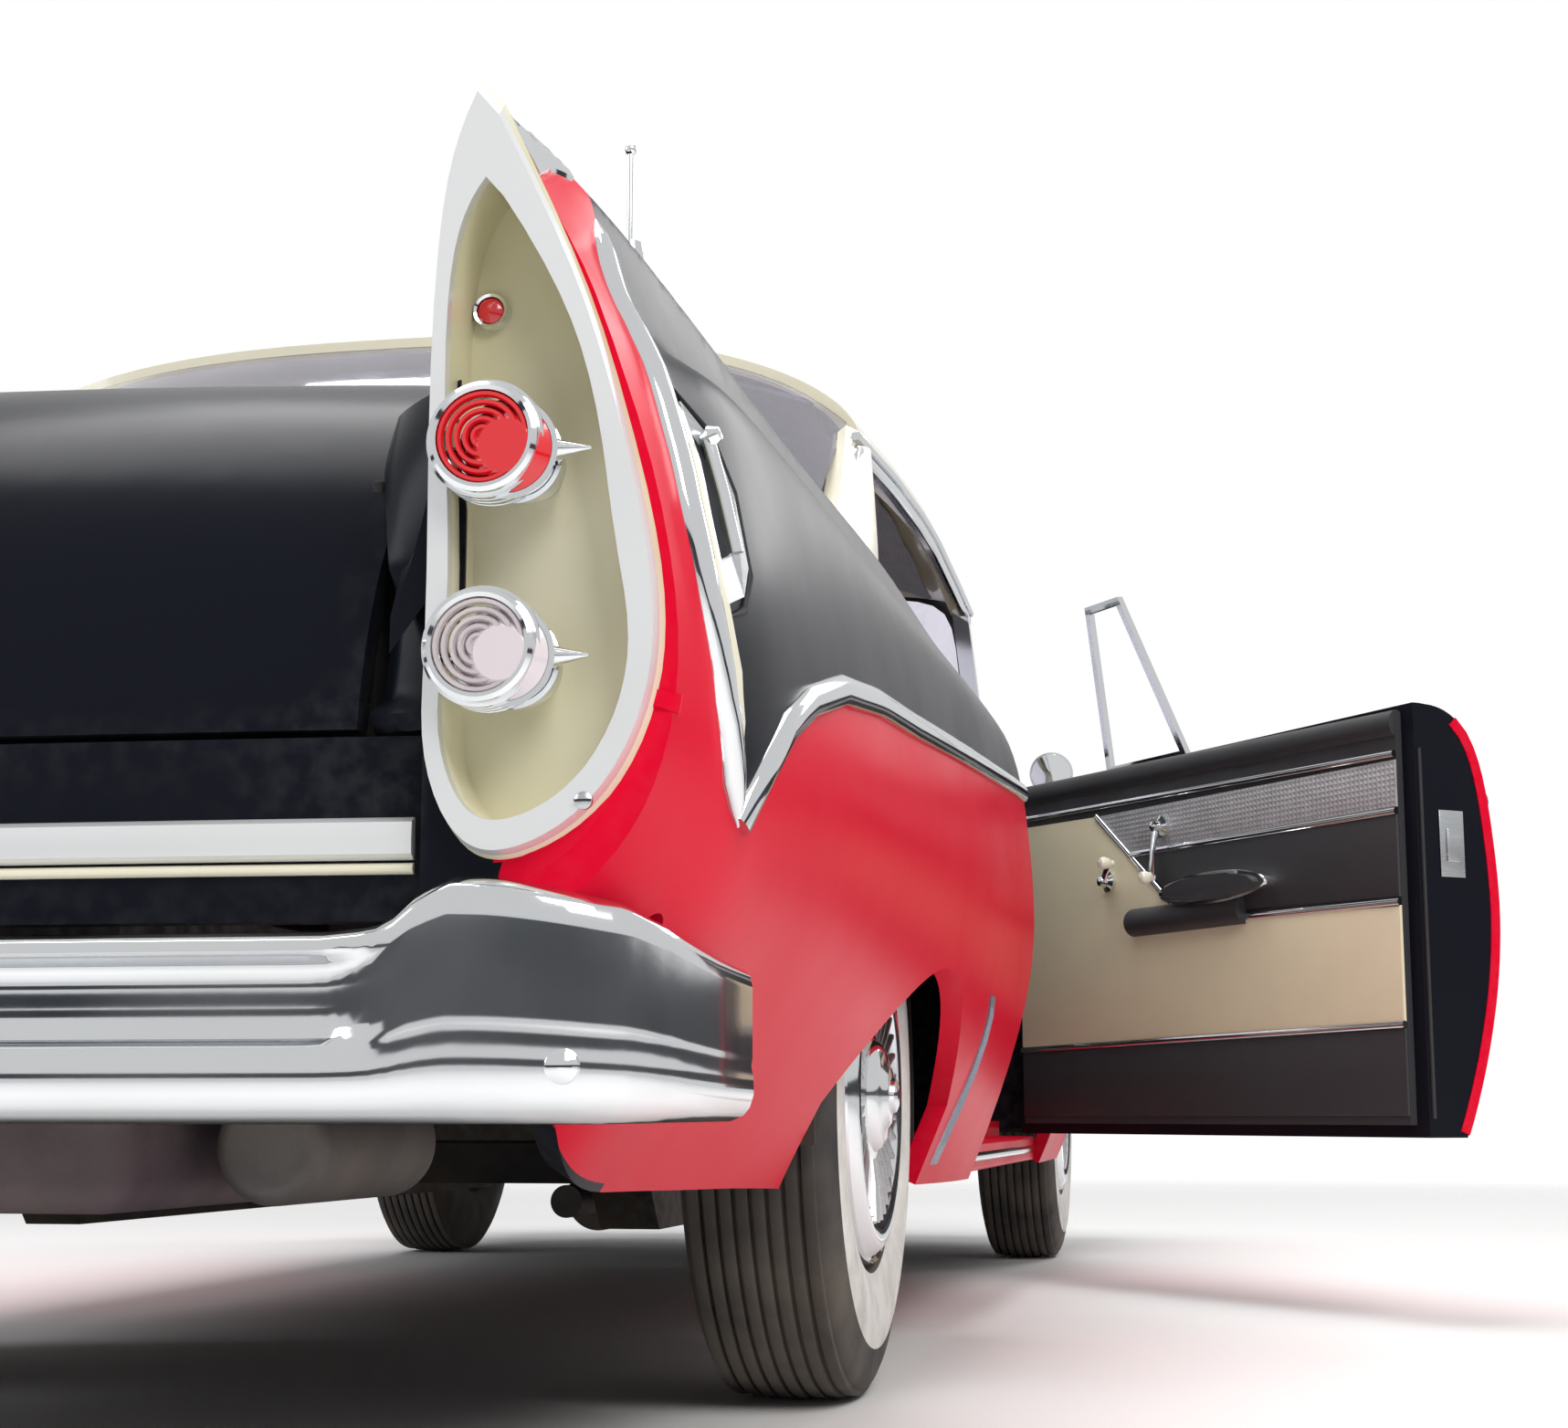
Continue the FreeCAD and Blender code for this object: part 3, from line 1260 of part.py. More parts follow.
def column_direction():
    """Direction of the steering column, up towards the driver."""
    rake = math.radians(size("column_rake"))
    return vector(0, -math.cos(rake), math.sin(rake))


def steering():
    """Steering column and its wheel."""
    doc.recompute()
    centre = steering_wheel_centre()
    away = column_direction()
    length = size("rail_depth * 2.0")
    radius = size("column_radius")
    column = Part.makeCylinder(radius, length, centre - away * (length + radius), away)
    feature("steering_column", column.cut(NODES["dashboard"].Shape))
    rim_radius = size("wheel_rim_radius")
    rim = Part.makeTorus(rim_radius, radius * 0.42, centre, away)
    hub = Part.makeCone(radius * 1.3, radius * 1.6, radius * 1.6,
                        centre - away * (radius - size("seat_gap")), away)
    spoke = rod(centre - RIGHT * rim_radius, centre + RIGHT * rim_radius, radius * 0.3)
    feature("steering_wheel", rim.fuse([hub, spoke]))


def engine():
    """Engine as one plain block, with the gearbox behind it."""
    low = engine_base()
    wide = size("rail_centre - rail_width")
    motor = block((-wide * 0.8, wide * 0.8), (FRONT_AXLE - wide * 1.2, FRONT_AXLE + wide * 0.8),
                  (low, low + wide * 1.3))
    feature("engine_block", motor)


def radiator():
    """Radiator between the engine and the grille."""
    wide = size("rail_centre - rail_width / 2")
    place = side_station(0.935)
    wide -= size("seat_gap")
    core = block((-wide, wide), (place - DEPTH * 2, place + DEPTH),
                 (size("rail_height + rail_depth * 0.75 + seat_gap"),
                                                                    size("rail_height + rail_depth * 4.4")))
    feature("radiator", core)


def rear_axle():
    """Rear axle beam with its differential, turned to one profile."""
    beam = "spindle_radius * 1.6"
    half = "wheel_track / 2 - rim_width / 2"
    tip = "wheel_track / 2 + rim_width * 0.18 - seat_gap"
    right = [("seat_gap", f"{beam} * 3.4"), (f"{beam} * 2.0", f"{beam} * 3.0"), (f"{beam} * 3.4", beam),
             (half, beam),
             (half, "spindle_radius"), (tip, "spindle_radius"), (tip, "0")]
    left = [(f"-({across})", radius) for across, radius in reversed(right)]
    body = revolved("rear_axle", left + right)
    body.setExpression(".Placement.Base.y", bound("-wheelbase / 2"))
    body.setExpression(".Placement.Base.z", bound("tyre_diameter / 2"))
    keep("rear_axle", body)


def front_suspension():
    """Wishbones that carry the steering knuckles, on a cross-member between the rails."""
    reach = size("spindle_radius * 4.5 + seat_gap")
    pin = size("kingpin_x")
    inner = size("rail_centre + rail_width / 2 + seat_gap")
    radius = size("spindle_radius")
    arms = []
    for level in (reach, -reach - radius):
        up = AXLE_HEIGHT + level
        plan = [vector(pin + radius / 2, FRONT_AXLE - radius, up), vector(pin + radius / 2,
                                                                          FRONT_AXLE + radius, up),
                vector(inner, FRONT_AXLE + radius * 3.4, up), vector(inner, FRONT_AXLE - radius * 3.4, up)]
        arms.append(Part.Face(Part.makePolygon(plan + [plan[0]])).extrude(UP * radius))
    post = block((inner, inner + radius), (FRONT_AXLE - radius * 3, FRONT_AXLE + radius * 3),
                 (AXLE_HEIGHT - reach - radius, AXLE_HEIGHT + reach + radius))
    arm = arms[0].fuse([arms[1], post])
    feature("front_suspension", both_sides(arm))


def leaf_springs():
    """Leaf springs under the rear axle, hung from the rails."""
    wide = size("rail_width") * 0.7
    thick = size("spindle_radius")
    middle = AXLE_HEIGHT - size("spindle_radius * 1.6 + seat_gap") - thick
    reach = size("rail_depth") * 5
    ends = middle + thick * 2.6
    eye = size("rail_height + seat_gap") - thick * 2
    place = size("rail_centre")
    low = Part.Arc(vector(0, REAR_AXLE - reach, ends), vector(0, REAR_AXLE, middle),
                   vector(0, REAR_AXLE + reach, eye))
    high = Part.Arc(vector(0, REAR_AXLE - reach, ends + thick), vector(0, REAR_AXLE, middle + thick),
                    vector(0, REAR_AXLE + reach, eye + thick))
    wire = Part.Wire([low.toShape(), Part.makeLine(vector(0, REAR_AXLE + reach, eye),
                                                   vector(0, REAR_AXLE + reach, eye + thick)),
                      high.toShape(), Part.makeLine(vector(0, REAR_AXLE - reach, ends + thick),
                                                    vector(0, REAR_AXLE - reach, ends))])
    leaf = Part.Face(wire).extrude(RIGHT * wide)
    leaf.translate(RIGHT * (place + size("rail_width / 2 + seat_gap")))
    feature("leaf_springs", both_sides(leaf))


def fuel_tank():
    """Fuel tank under the trunk floor."""
    half = size("rail_centre - rail_width")
    place = REAR_AXLE - size("tail_overhang") * 0.40
    long = size("tail_overhang") * 0.34
    tank = block((-half, half), (place - long, place), (size("rail_height - floor_depth * 2"),
                                                        size("trunk_rise + rail_height")))
    tank = tank.makeFillet(DEPTH, tank.Edges)
    feature("fuel_tank", tank)


def exhaust():
    """Exhaust pipe with its silencer, and the tail silencer hung under the right rail."""
    low = size("rail_height - rail_depth * 0.55 - column_radius - seat_gap")
    out = size("rail_centre - rail_width * 1.8")
    pipe = bent_rod([vector(out, FRONT_AXLE - DEPTH * 20, low), vector(out, REAR_AXLE + DEPTH * 22, low)],
                    size("column_radius"))
    silencer = Part.makeCylinder(size("rail_depth * 0.42"), size("rail_depth * 4.2"),
                                 vector(out, -size("rail_depth * 6.4"), low), AHEAD)
    radius = size("rail_depth * 0.44")
    hung = size("rail_height + rail_depth * 0.6 - seat_gap")
    place = REAR_AXLE - size("rail_depth * 5.2")
    rear = Part.makeCylinder(radius, size("rail_depth * 2.6"), vector(size("rail_centre"),
                                                                      place - size("rail_depth * 2.6"),
                                                                       hung - radius * 1.2), AHEAD)
    rear = rear.makeFillet(radius * 0.3, rear.Edges[:1] + rear.Edges[2:])
    strap = block((size("rail_centre - rail_width / 4"), size("rail_centre + rail_width / 4")),
                  (place - size("rail_depth * 1.5"), place - size("rail_depth")), (hung - radius, hung))
    feature("exhaust", Part.makeCompound([pipe.fuse(silencer), rear.fuse(strap)]))


def mirrors():
    """Round mirrors on slim stems, one on each front fender by the cowl."""
    place = size("door_front + cut_overrun")
    section = side_section(place)
    foot = between_points(section, 6.2 * POINTS_BETWEEN)
    head = foot + vector(0, 0, DEPTH * 2.2)
    stem = rod(foot + UP * size("seat_gap"), head, DEPTH * 0.22)
    shell = Part.makeCone(DEPTH * 0.9, DEPTH * 1.8, DEPTH * 1.2, head + AHEAD * DEPTH * 0.7 + UP * DEPTH,
                          -AHEAD)
    mirror = clear_of(stem.fuse(shell), "front_fender_right")
    feature("fender_mirrors", both_sides(mirror))


def antennas():
    """Short rear aerials beside the fins."""
    place = side_station(0.071)
    section = side_section(place)
    foot = between_points(section, 10.9 * POINTS_BETWEEN) - RIGHT * (DEPTH * 0.4)
    base = Part.makeCone(DEPTH * 0.70, DEPTH * 0.42, DEPTH * 3.0, foot + UP * size("seat_gap"), UP)
    mast = Part.makeCylinder(DEPTH * 0.10, DEPTH * 6.2, foot + UP * size("seat_gap"), UP)
    ball = Part.makeSphere(DEPTH * 0.2, foot + UP * DEPTH * 6.3)
    aerial = clear_of(base.fuse([mast, ball]), "quarter_panel_right")
    feature("rear_aerials", both_sides(aerial))


def plate_brackets():
    """Bare bracket for a rear plate, with its four screw holes."""
    wide = size("plate_spacing_wide") * 1.7
    tall = size("plate_spacing_tall") * 1.1
    thick = size("glass_depth / 2")
    rear = side_station(SIDE_SHARES[0][0]) - DEPTH / 4 - size("seat_gap")
    middle = size("bumper_low + bumper_tall + lid_lip_height") / 2
    plate = block((-wide / 2, wide / 2), (rear - thick, rear), (middle - tall / 2, middle + tall / 2))
    for side in (-1, 1):
        for level in (-1, 1):
            centre = vector(side * size("plate_spacing_wide / 2"), rear - thick * 2,
                            middle + level * size("plate_spacing_tall / 2"))
            plate = plate.cut(Part.makeCylinder(size("plate_hole"), thick * 3, centre, AHEAD))
    feature("plate_bracket", plate)


chassis_frame()
floor_pan()
trunk_floor()
rockers()
quarter_panels()
front_fenders()
door_parts()
roof_panel()
rear_pillars()
windscreen()
rear_window()
cowl()
windscreen_pillars()
hood()
trunk_lid()
upper_deck()
tail_panel()
bezels()
lamp_pods()
grille()
headlamps()
front_end_panel()
bumpers()
wheels()
knuckles()
seat("front_seat", "wheelbase * 0.055", "2.2", "seat_width")
seat("rear_seat", "-wheelbase * 0.20", "1.75", "seat_width * 0.93")
dashboard()
steering()
engine()
radiator()
rear_axle()
front_suspension()
leaf_springs()
fuel_tank()
exhaust()
mirrors()
antennas()
plate_brackets()

doc.recompute()
for item in doc.Objects:
    if "Invalid" in item.State or "Error" in item.State:
        raise RuntimeError(f"{item.Label} failed: {item.State}")
for name, thing in NODES.items():
    if thing.Shape.isNull() or not thing.Shape.isValid():
        raise RuntimeError(f"{name} has no valid shape")

os.makedirs("parts", exist_ok=True)
for name, thing in NODES.items():
    thing.Shape.exportStep(f"parts/{name}.step")
print(f"{len(NODES)} sub-parts")
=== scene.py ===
import json
import logging
import math
from collections.abc import Callable
from dataclasses import dataclass
from enum import Enum

import bmesh
import bpy
from mathutils import Euler, Matrix, Vector
from mathutils.bvhtree import BVHTree

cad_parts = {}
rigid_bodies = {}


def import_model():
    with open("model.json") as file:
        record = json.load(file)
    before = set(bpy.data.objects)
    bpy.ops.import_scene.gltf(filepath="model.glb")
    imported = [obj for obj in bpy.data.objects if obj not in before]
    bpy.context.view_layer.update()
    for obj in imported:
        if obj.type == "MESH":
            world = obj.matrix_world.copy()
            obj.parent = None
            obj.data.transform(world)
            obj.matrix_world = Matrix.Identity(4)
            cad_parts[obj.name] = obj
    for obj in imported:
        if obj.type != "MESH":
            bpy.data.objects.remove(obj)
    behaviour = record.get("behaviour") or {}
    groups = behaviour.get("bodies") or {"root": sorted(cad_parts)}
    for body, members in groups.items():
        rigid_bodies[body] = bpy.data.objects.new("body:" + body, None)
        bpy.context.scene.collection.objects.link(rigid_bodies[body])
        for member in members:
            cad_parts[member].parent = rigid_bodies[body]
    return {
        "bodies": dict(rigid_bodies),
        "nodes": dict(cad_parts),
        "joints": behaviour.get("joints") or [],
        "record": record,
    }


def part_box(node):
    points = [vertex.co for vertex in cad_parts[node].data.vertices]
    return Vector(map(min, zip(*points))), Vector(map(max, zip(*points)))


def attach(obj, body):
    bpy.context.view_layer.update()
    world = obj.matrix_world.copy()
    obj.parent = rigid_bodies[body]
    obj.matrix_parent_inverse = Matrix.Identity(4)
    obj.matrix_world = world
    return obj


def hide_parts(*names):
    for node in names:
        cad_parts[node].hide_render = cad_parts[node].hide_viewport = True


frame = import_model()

LOG = logging.getLogger("hardtop")
OPENING = math.radians(36)
HINGE = Vector((0.94505, 0.681, 0.0))
DOOR_SPAN = (-0.580, 0.674)
AXLE = 1.524
HUB_HEIGHT = 0.359

Piece = bpy.types.Object
Socket = bpy.types.NodeSocket
Value = Socket | float | tuple
Table = list[tuple[float, float]]
Points = list[Vector]
Shape = tuple[list[Vector], list[list[int]]]
Triple = tuple[float, float, float]
Pair = tuple[float, float]
Named = list[tuple[str, str]]
Group = tuple[bpy.types.NodeTree, "Tree", dict, dict]

AHEAD = Vector((0, 1, 0))
BACK = Vector((0, -1, 0))
OUT = Vector((1, 0, 0))
INWARD = Vector((-1, 0, 0))
UP = Vector((0, 0, 1))
DOWN = Vector((0, 0, -1))

# Radius at which a turned shape closes on its axis.
TIP = 0.0001

# Height of the side moulding by place along the car, and place of the fin strip by height.
MOULDING_LINE = [(-2.744, 0.547), (-2.736, 0.565), (-2.713, 0.596), (-2.674, 0.630), (-2.590, 0.665),
                 (-2.440, 0.701), (-2.231, 0.725), (-1.975, 0.743), (-1.440, 0.786), (-0.762, 0.838),
                 (-0.162, 0.879), (0.650, 0.922), (1.300, 0.932), (1.900, 0.925), (2.260, 0.905)]
FIN_LINE = [(0.547, -2.744), (0.580, -2.781), (0.633, -2.818), (0.695, -2.842), (0.761, -2.852),
            (0.831, -2.848), (0.891, -2.833), (0.965, -2.806), (1.010, -2.790)]

# Rear bumper in plan, as place along the car by place across, and the height of its top edge.
BUMPER_PLAN = [(-0.10, -2.9450), (0.0, -2.9450), (0.30, -2.9430), (0.50, -2.9370), (0.62, -2.9310),
               (0.68, -2.9300), (0.72, -2.9325), (0.76, -2.9345), (0.80, -2.9315), (0.84, -2.9210),
               (0.865, -2.9050), (0.880, -2.8800), (0.890, -2.8450), (0.8955, -2.8000), (0.8990, -2.7500),
               (0.9010, -2.7000), (0.9025, -2.6500)]
BUMPER_TOP = [(0.0, 0.4600), (0.655, 0.4605), (0.690, 0.4640), (0.705, 0.4720), (0.722, 0.4870),
              (0.746, 0.4975), (0.780, 0.4960), (0.8165, 0.4905), (0.8700, 0.4800), (0.888, 0.4700),
              (0.896, 0.4600), (0.9025, 0.4500)]

# Place across of the trunk lid's edge and of the lamp bezel's inner rim, by height.
LID_EDGE = [(0.600, 0.669), (0.647, 0.677), (0.700, 0.6835), (0.764, 0.670), (0.811, 0.657), (0.858, 0.649)]
RIM_EDGE = [(0.58, 0.731), (0.62, 0.731), (0.66, 0.735), (0.70, 0.742), (0.76, 0.742), (0.82, 0.734),
            (0.90, 0.738)]

# Rear bumper's upright section, as (share of the height, how far it is sunk).
# In the groove the second number is a share of the groove's depth.
BUMPER_FOOT = [(0.0, 0.060), (0.0, 0.030), (0.015, 0.018), (0.05, 0.008), (0.10, 0.003), (0.18, 0.0),
               (0.28, 0.0), (0.36, 0.002)]
BUMPER_GROOVE = [(0.40, 0.30), (0.44, 0.85), (0.50, 1.0), (0.60, 0.95), (0.70, 0.95), (0.78, 1.0),
                 (0.83, 0.80), (0.86, 0.25)]
BUMPER_HEAD = [(0.89, 0.002), (0.93, 0.003), (0.96, 0.007), (0.985, 0.014), (1.0, 0.026), (1.0, 0.060)]


class Side(Enum):
    """Which side of the car a piece is on."""

    RIGHT = 1
    LEFT = -1

    @property
    def word(self) -> str:
        """The side's name as the nodes spell it."""
        return self.name.lower()


class Detail(Enum):
    """Fine surface structure of a finish."""

    PAINT = "paint"
    CHROME = "chrome"
    BRUSHED = "brushed"
    RUBBER = "rubber"
    CLOTH = "cloth"
    LEATHER = "leather"
    CAST = "cast"
    MESH = "mesh"
    GLASS = "glass"


@dataclass(frozen=True)
class Finish:
    """One surface finish, from which a material is made."""

    name: str
    slot: str
    colour: Triple
    rough: float = 0.4
    metal: float = 0.0
    coat: float = 0.0
    detail: Detail = Detail.PAINT
    dust: float = 0.10
    wear: float = 0.0
    clear: float = 0.0
    shine: float = 0.5


def between(table: Table, place: float) -> float:
    """Value of a table at a place, by straight lines between its rows.

    Args:
        table: Rows of (place, value) in rising order.
        place: Where to read it.

    Returns:
        The value there.
    """
    if place <= table[0][0]:
        return table[0][1]
    for low, high in zip(table, table[1:]):
        if place <= high[0]:
            share = (place - low[0]) / (high[0] - low[0])
            return low[1] + (high[1] - low[1]) * share
    return table[-1][1]


def spread(start: float, end: float, count: int) -> list[float]:
    """Evenly spaced numbers from start to end."""
    return [start + (end - start) * index / (count - 1) for index in range(count)]


def swung(angle: float, start: Vector, end: Vector) -> Vector:
    """Direction at an angle in degrees from one direction towards another."""
    return start * math.cos(math.radians(angle)) + end * math.sin(math.radians(angle))


class Tree:
    """Short way to write a node tree."""

    def __init__(self, tree: bpy.types.NodeTree) -> None:
        """Keeps the tree that the nodes go to."""
        self.tree = tree

    def add(self, kind: str, settings: dict | None = None, **values: Value) -> bpy.types.Node:
        """Adds a node and fills its inputs.

        Args:
            kind: The node type without its ShaderNode prefix.
            settings: Properties of the node itself.
            values: Inputs by name, with "_" for spaces, or "i0" style for an index. A socket is linked.

        Returns:
            The new node.
        """
        node = self.tree.nodes.new(kind if kind.startswith("NodeGroup") else "ShaderNode" + kind)
        for key, value in (settings or {}).items():
            setattr(node, key, value)
        for key, value in values.items():
            numbered = key[0] == "i" and key[1:].isdigit()
            socket = node.inputs[int(key[1:]) if numbered else key.replace("_", " ")]
            if isinstance(value, Socket):
                self.tree.links.new(value, socket)
            else:
                socket.default_value = value
        return node

    def math(self, operation: str, first: Value, second: Value = 0.0) -> Socket:
        """A math node's result."""
        return self.add("Math", {"operation": operation}, i0=first, i1=second).outputs[0]

    def mix(self, share: Value, first: Value, second: Value) -> Socket:
        """A colour mix's result."""
        return self.add("Mix", {"data_type": "RGBA"}, i0=share, i6=first, i7=second).outputs[2]

    def noise(self, scale: float, detail: float = 3.0, vector: Socket | None = None) -> Socket:
        """A noise texture's value in the piece's own coordinates."""
        where = vector or self.add("TexCoord").outputs["Object"]
        return self.add("TexNoise", Vector=where, Scale=scale, Detail=detail).outputs[0]

    def remap(self, value: Value, low: float, high: float, to_low: float = 0.0,
              to_high: float = 1.0) -> Socket:
        """A value moved from one range to another."""
        return self.add("MapRange", i0=value, i1=low, i2=high, i3=to_low, i4=to_high).outputs[0]


def group(name: str, inputs: Named, outputs: Named) -> Group:
    """Makes an empty shader node group with its sockets.

    Args:
        name: The group's name.
        inputs: Name and type of each input.
        outputs: Name and type of each output.

    Returns:
        The group, a Tree on it, its input sockets and the sockets of its output node.
    """
    tree = bpy.data.node_groups.new(name, "ShaderNodeTree")
    for label, kind in inputs:
        tree.interface.new_socket(label, in_out="INPUT", socket_type="NodeSocket" + kind)
    for label, kind in outputs:
        tree.interface.new_socket(label, in_out="OUTPUT", socket_type="NodeSocket" + kind)
    start = tree.nodes.new("NodeGroupInput")
    end = tree.nodes.new("NodeGroupOutput")
    sockets = [{s.name: s for s in side if s.name} for side in (start.outputs, end.inputs)]
    return tree, Tree(tree), *sockets


class Effects:
    """Node groups that the materials share."""

    def __init__(self) -> None:
        """Makes every group once."""
        self.dust = self._dust()
        self.wear = self._wear()
        self.grain = {detail: self._grain(detail) for detail in Detail}

    @staticmethod
    def _dust() -> bpy.types.NodeTree:
        """Road dust that thickens towards the ground.

        Returns:
            The node group.
        """
        tree, t, _, end = group("road_dust", [], [("Mask", "Float")])
        height = t.add("SeparateXYZ", i0=t.add("TexCoord").outputs["Object"]).outputs[2]
        low = t.remap(height, 0.75, 0.15)
        cloud = t.remap(t.noise(5.0, 6.0), 0.35, 0.7)
        tree.links.new(t.math("MULTIPLY", low, cloud), end["Mask"])
        return tree

    @staticmethod
    def _wear() -> bpy.types.NodeTree:
        """Worn edges, from the mesh's pointedness broken up by noise.

        Returns:
            The node group.
        """
        tree, t, _, end = group("edge_wear", [], [("Mask", "Float")])
        edge = t.remap(t.add("NewGeometry").outputs["Pointiness"], 0.52, 0.60)
        tree.links.new(t.math("MULTIPLY", edge, t.remap(t.noise(60.0, 5.0), 0.4, 0.7)), end["Mask"])
        return tree

    @staticmethod
    def _grain(detail: Detail) -> bpy.types.NodeTree:
        """Fine height and tone of one kind of surface.

        Args:
            detail: The kind of surface.

        Returns:
            The node group.
        """
        tree, t, _, end = group("grain_" + detail.value, [], [("Height", "Float"), ("Tone", "Float")])
        where = t.add("TexCoord").outputs["Object"]
        if detail in (Detail.PAINT, Detail.GLASS, Detail.CHROME):
            height = t.noise(260.0 if detail is Detail.PAINT else 90.0, 1.0)
            tone = t.noise(3.0, 4.0)
        elif detail is Detail.BRUSHED:
            stretched = t.add("Mapping", i0=where, Scale=(8.0, 8.0, 420.0)).outputs[0]
            height = t.noise(3.0, 4.0, stretched)
            tone = height
        elif detail is Detail.RUBBER:
            height = t.noise(420.0, 4.0)
            tone = t.noise(22.0, 6.0)
        elif detail in (Detail.CLOTH, Detail.MESH):
            size = 110.0 if detail is Detail.CLOTH else 34.0
            bands = [t.add("TexWave", {"wave_type": "BANDS", "bands_direction": way}, Vector=where,
                           Scale=size, Distortion=0.4).outputs[1] for way in ("Y", "Z")]
            height = t.math("MAXIMUM", *bands)
            tone = t.math("MULTIPLY", height, t.noise(30.0, 4.0))
        elif detail is Detail.LEATHER:
            height = t.add("TexVoronoi", {"feature": "DISTANCE_TO_EDGE"}, Vector=where,
                           Scale=420.0).outputs[0]
            tone = t.noise(9.0, 5.0)
        else:
            height = t.noise(160.0, 8.0)
            tone = t.noise(14.0, 6.0)
        tree.links.new(height, end["Height"])
        tree.links.new(tone, end["Tone"])
        return tree


# Height in metres of each kind of surface structure.
BUMPS = {Detail.PAINT: 0.00002, Detail.CHROME: 0.00002, Detail.GLASS: 0.00001, Detail.BRUSHED: 0.0001,
         Detail.RUBBER: 0.0003, Detail.CLOTH: 0.0005, Detail.LEATHER: 0.0006, Detail.CAST: 0.0008,
         Detail.MESH: 0.003}
DUST_COLOUR = (0.36, 0.30, 0.23, 1.0)
WORN_COLOUR = (0.30, 0.30, 0.30, 1.0)
SHADE_COLOUR = (0.0, 0.0, 0.0, 1.0)
MOTTLED = (Detail.CLOTH, Detail.MESH, Detail.RUBBER, Detail.CAST, Detail.BRUSHED)


class Paints:
    """Makes and keeps one material for each finish."""

    def __init__(self) -> None:
        """Starts with no material made."""
        self.effects = Effects()
        self.made: dict[str, bpy.types.Material] = {}
        self.slots: dict[str, str] = {}

    def material(self, finish: Finish, pattern: Callable | None = None, key: str = "") -> bpy.types.Material:
        """The material of a finish.

        Args:
            finish: The finish.
            pattern: A function of the Tree that returns a base colour socket, or a pair of that and a mask of
                what isn't metal, or None for the finish's colour.
            key: Added to the material's name, where a pattern sets it apart.

        Returns:
            The material, made at the first call.
        """
        name = finish.name + key
        if name in self.made:
            return self.made[name]
        material = bpy.data.materials.new(name)
        material.use_nodes = True
        t = Tree(material.node_tree)
        shader = material.node_tree.nodes["Principled BSDF"]
        link = material.node_tree.links.new
        grain = t.add("Group", {"node_tree": self.effects.grain[finish.detail]})
        dust = t.math("MULTIPLY", t.add("Group", {"node_tree": self.effects.dust}).outputs[0], finish.dust)
        base = pattern(t) if pattern else finish.colour + (1.0,)
        plain = None
        if isinstance(base, tuple) and isinstance(base[1], Socket):
            base, plain = base
        shade = 0.30 if finish.detail in MOTTLED else 0.05
        tone = t.remap(grain.outputs["Tone"], 0.3, 0.7, 0.0, shade)
        colour = t.mix(tone, base, SHADE_COLOUR)
        colour = t.mix(dust, colour, DUST_COLOUR)
        if finish.wear:
            worn = t.math("MULTIPLY", t.add("Group", {"node_tree": self.effects.wear}).outputs[0],
                          finish.wear)
            colour = t.mix(worn, colour, WORN_COLOUR)
        link(colour, shader.inputs["Base Color"])
        rough = t.remap(grain.outputs["Tone"], 0.3, 0.7, finish.rough, min(finish.rough * 1.25 + 0.01, 1.0))
        rough = t.math("ADD", rough, t.math("MULTIPLY", dust, 0.5))
        link(rough, shader.inputs["Roughness"])
        if plain:
            link(t.math("MULTIPLY", t.math("SUBTRACT", 1.0, plain), finish.metal), shader.inputs["Metallic"])
        elif finish.metal and finish.dust:
            metal = t.math("MULTIPLY", t.math("SUBTRACT", 1.0, dust), finish.metal)
            link(metal, shader.inputs["Metallic"])
        else:
            shader.inputs["Metallic"].default_value = finish.metal
        shader.inputs["Specular IOR Level"].default_value = finish.shine
        shader.inputs["Coat Weight"].default_value = finish.coat
        shader.inputs["Coat Roughness"].default_value = 0.04
        shader.inputs["Transmission Weight"].default_value = finish.clear
        bump = t.add("Bump", Strength=0.6, Distance=BUMPS[finish.detail], Height=grain.outputs["Height"])
        link(bump.outputs[0], shader.inputs["Normal"])
        material.diffuse_color = finish.colour + (1.0,)
        self.made[name] = material
        self.slots[name] = finish.slot
        return material


BLACK = Finish("black_paint", "paint_black", (0.007, 0.008, 0.013), 0.22, wear=0.05, shine=0.06, dust=0.006)
RED = Finish("red_paint", "paint_red", (0.74, 0.002, 0.028), 0.28, wear=0.03, shine=0.07, dust=0.010)
CREAM = Finish("cream_paint", "paint_cream", (0.84, 0.80, 0.62), 0.22, coat=0.5)
FRAME = Finish("frame_black", "frame_black", (0.035, 0.028, 0.028), 0.55, dust=0.5, wear=0.3,
               detail=Detail.CAST)
CHROME = Finish("chrome_plate", "chrome", (0.80, 0.82, 0.84), 0.06, metal=1.0, detail=Detail.CHROME,
                dust=0.10)
# Pale, partly non-metal chrome for the bezel rims and the tail bar: its white base colour is a painted sheen
# that keeps them bright however the light falls.
PAINTED_SHEEN_CHROME = Finish("bezel_rim", "chrome", (0.86, 0.87, 0.88), 0.30, metal=0.55, detail=Detail.CHROME, dust=0.05)
SATIN = Finish("satin_bright", "chrome", (0.62, 0.64, 0.66), 0.26, metal=1.0, detail=Detail.BRUSHED,
               dust=0.15)
GLASS = Finish("window_glass", "glass", (0.62, 0.60, 0.68), 0.02, clear=0.92, detail=Detail.GLASS, dust=0.0)
MIRROR = Finish("mirror_glass", "glass", (0.86, 0.88, 0.90), 0.02, metal=1.0, detail=Detail.GLASS, dust=0.0)
LENS = Finish("lens_red", "lens_red", (0.72, 0.012, 0.02), 0.10, coat=0.8, detail=Detail.GLASS, dust=0.0)
LENS_CLEAR = Finish("lens_clear", "glass", (0.74, 0.66, 0.69), 0.08, coat=0.8, clear=0.3, detail=Detail.GLASS,
                    dust=0.0)
RUBBER = Finish("tyre_rubber", "tyre", (0.022, 0.021, 0.022), 0.62, detail=Detail.RUBBER, dust=0.35)
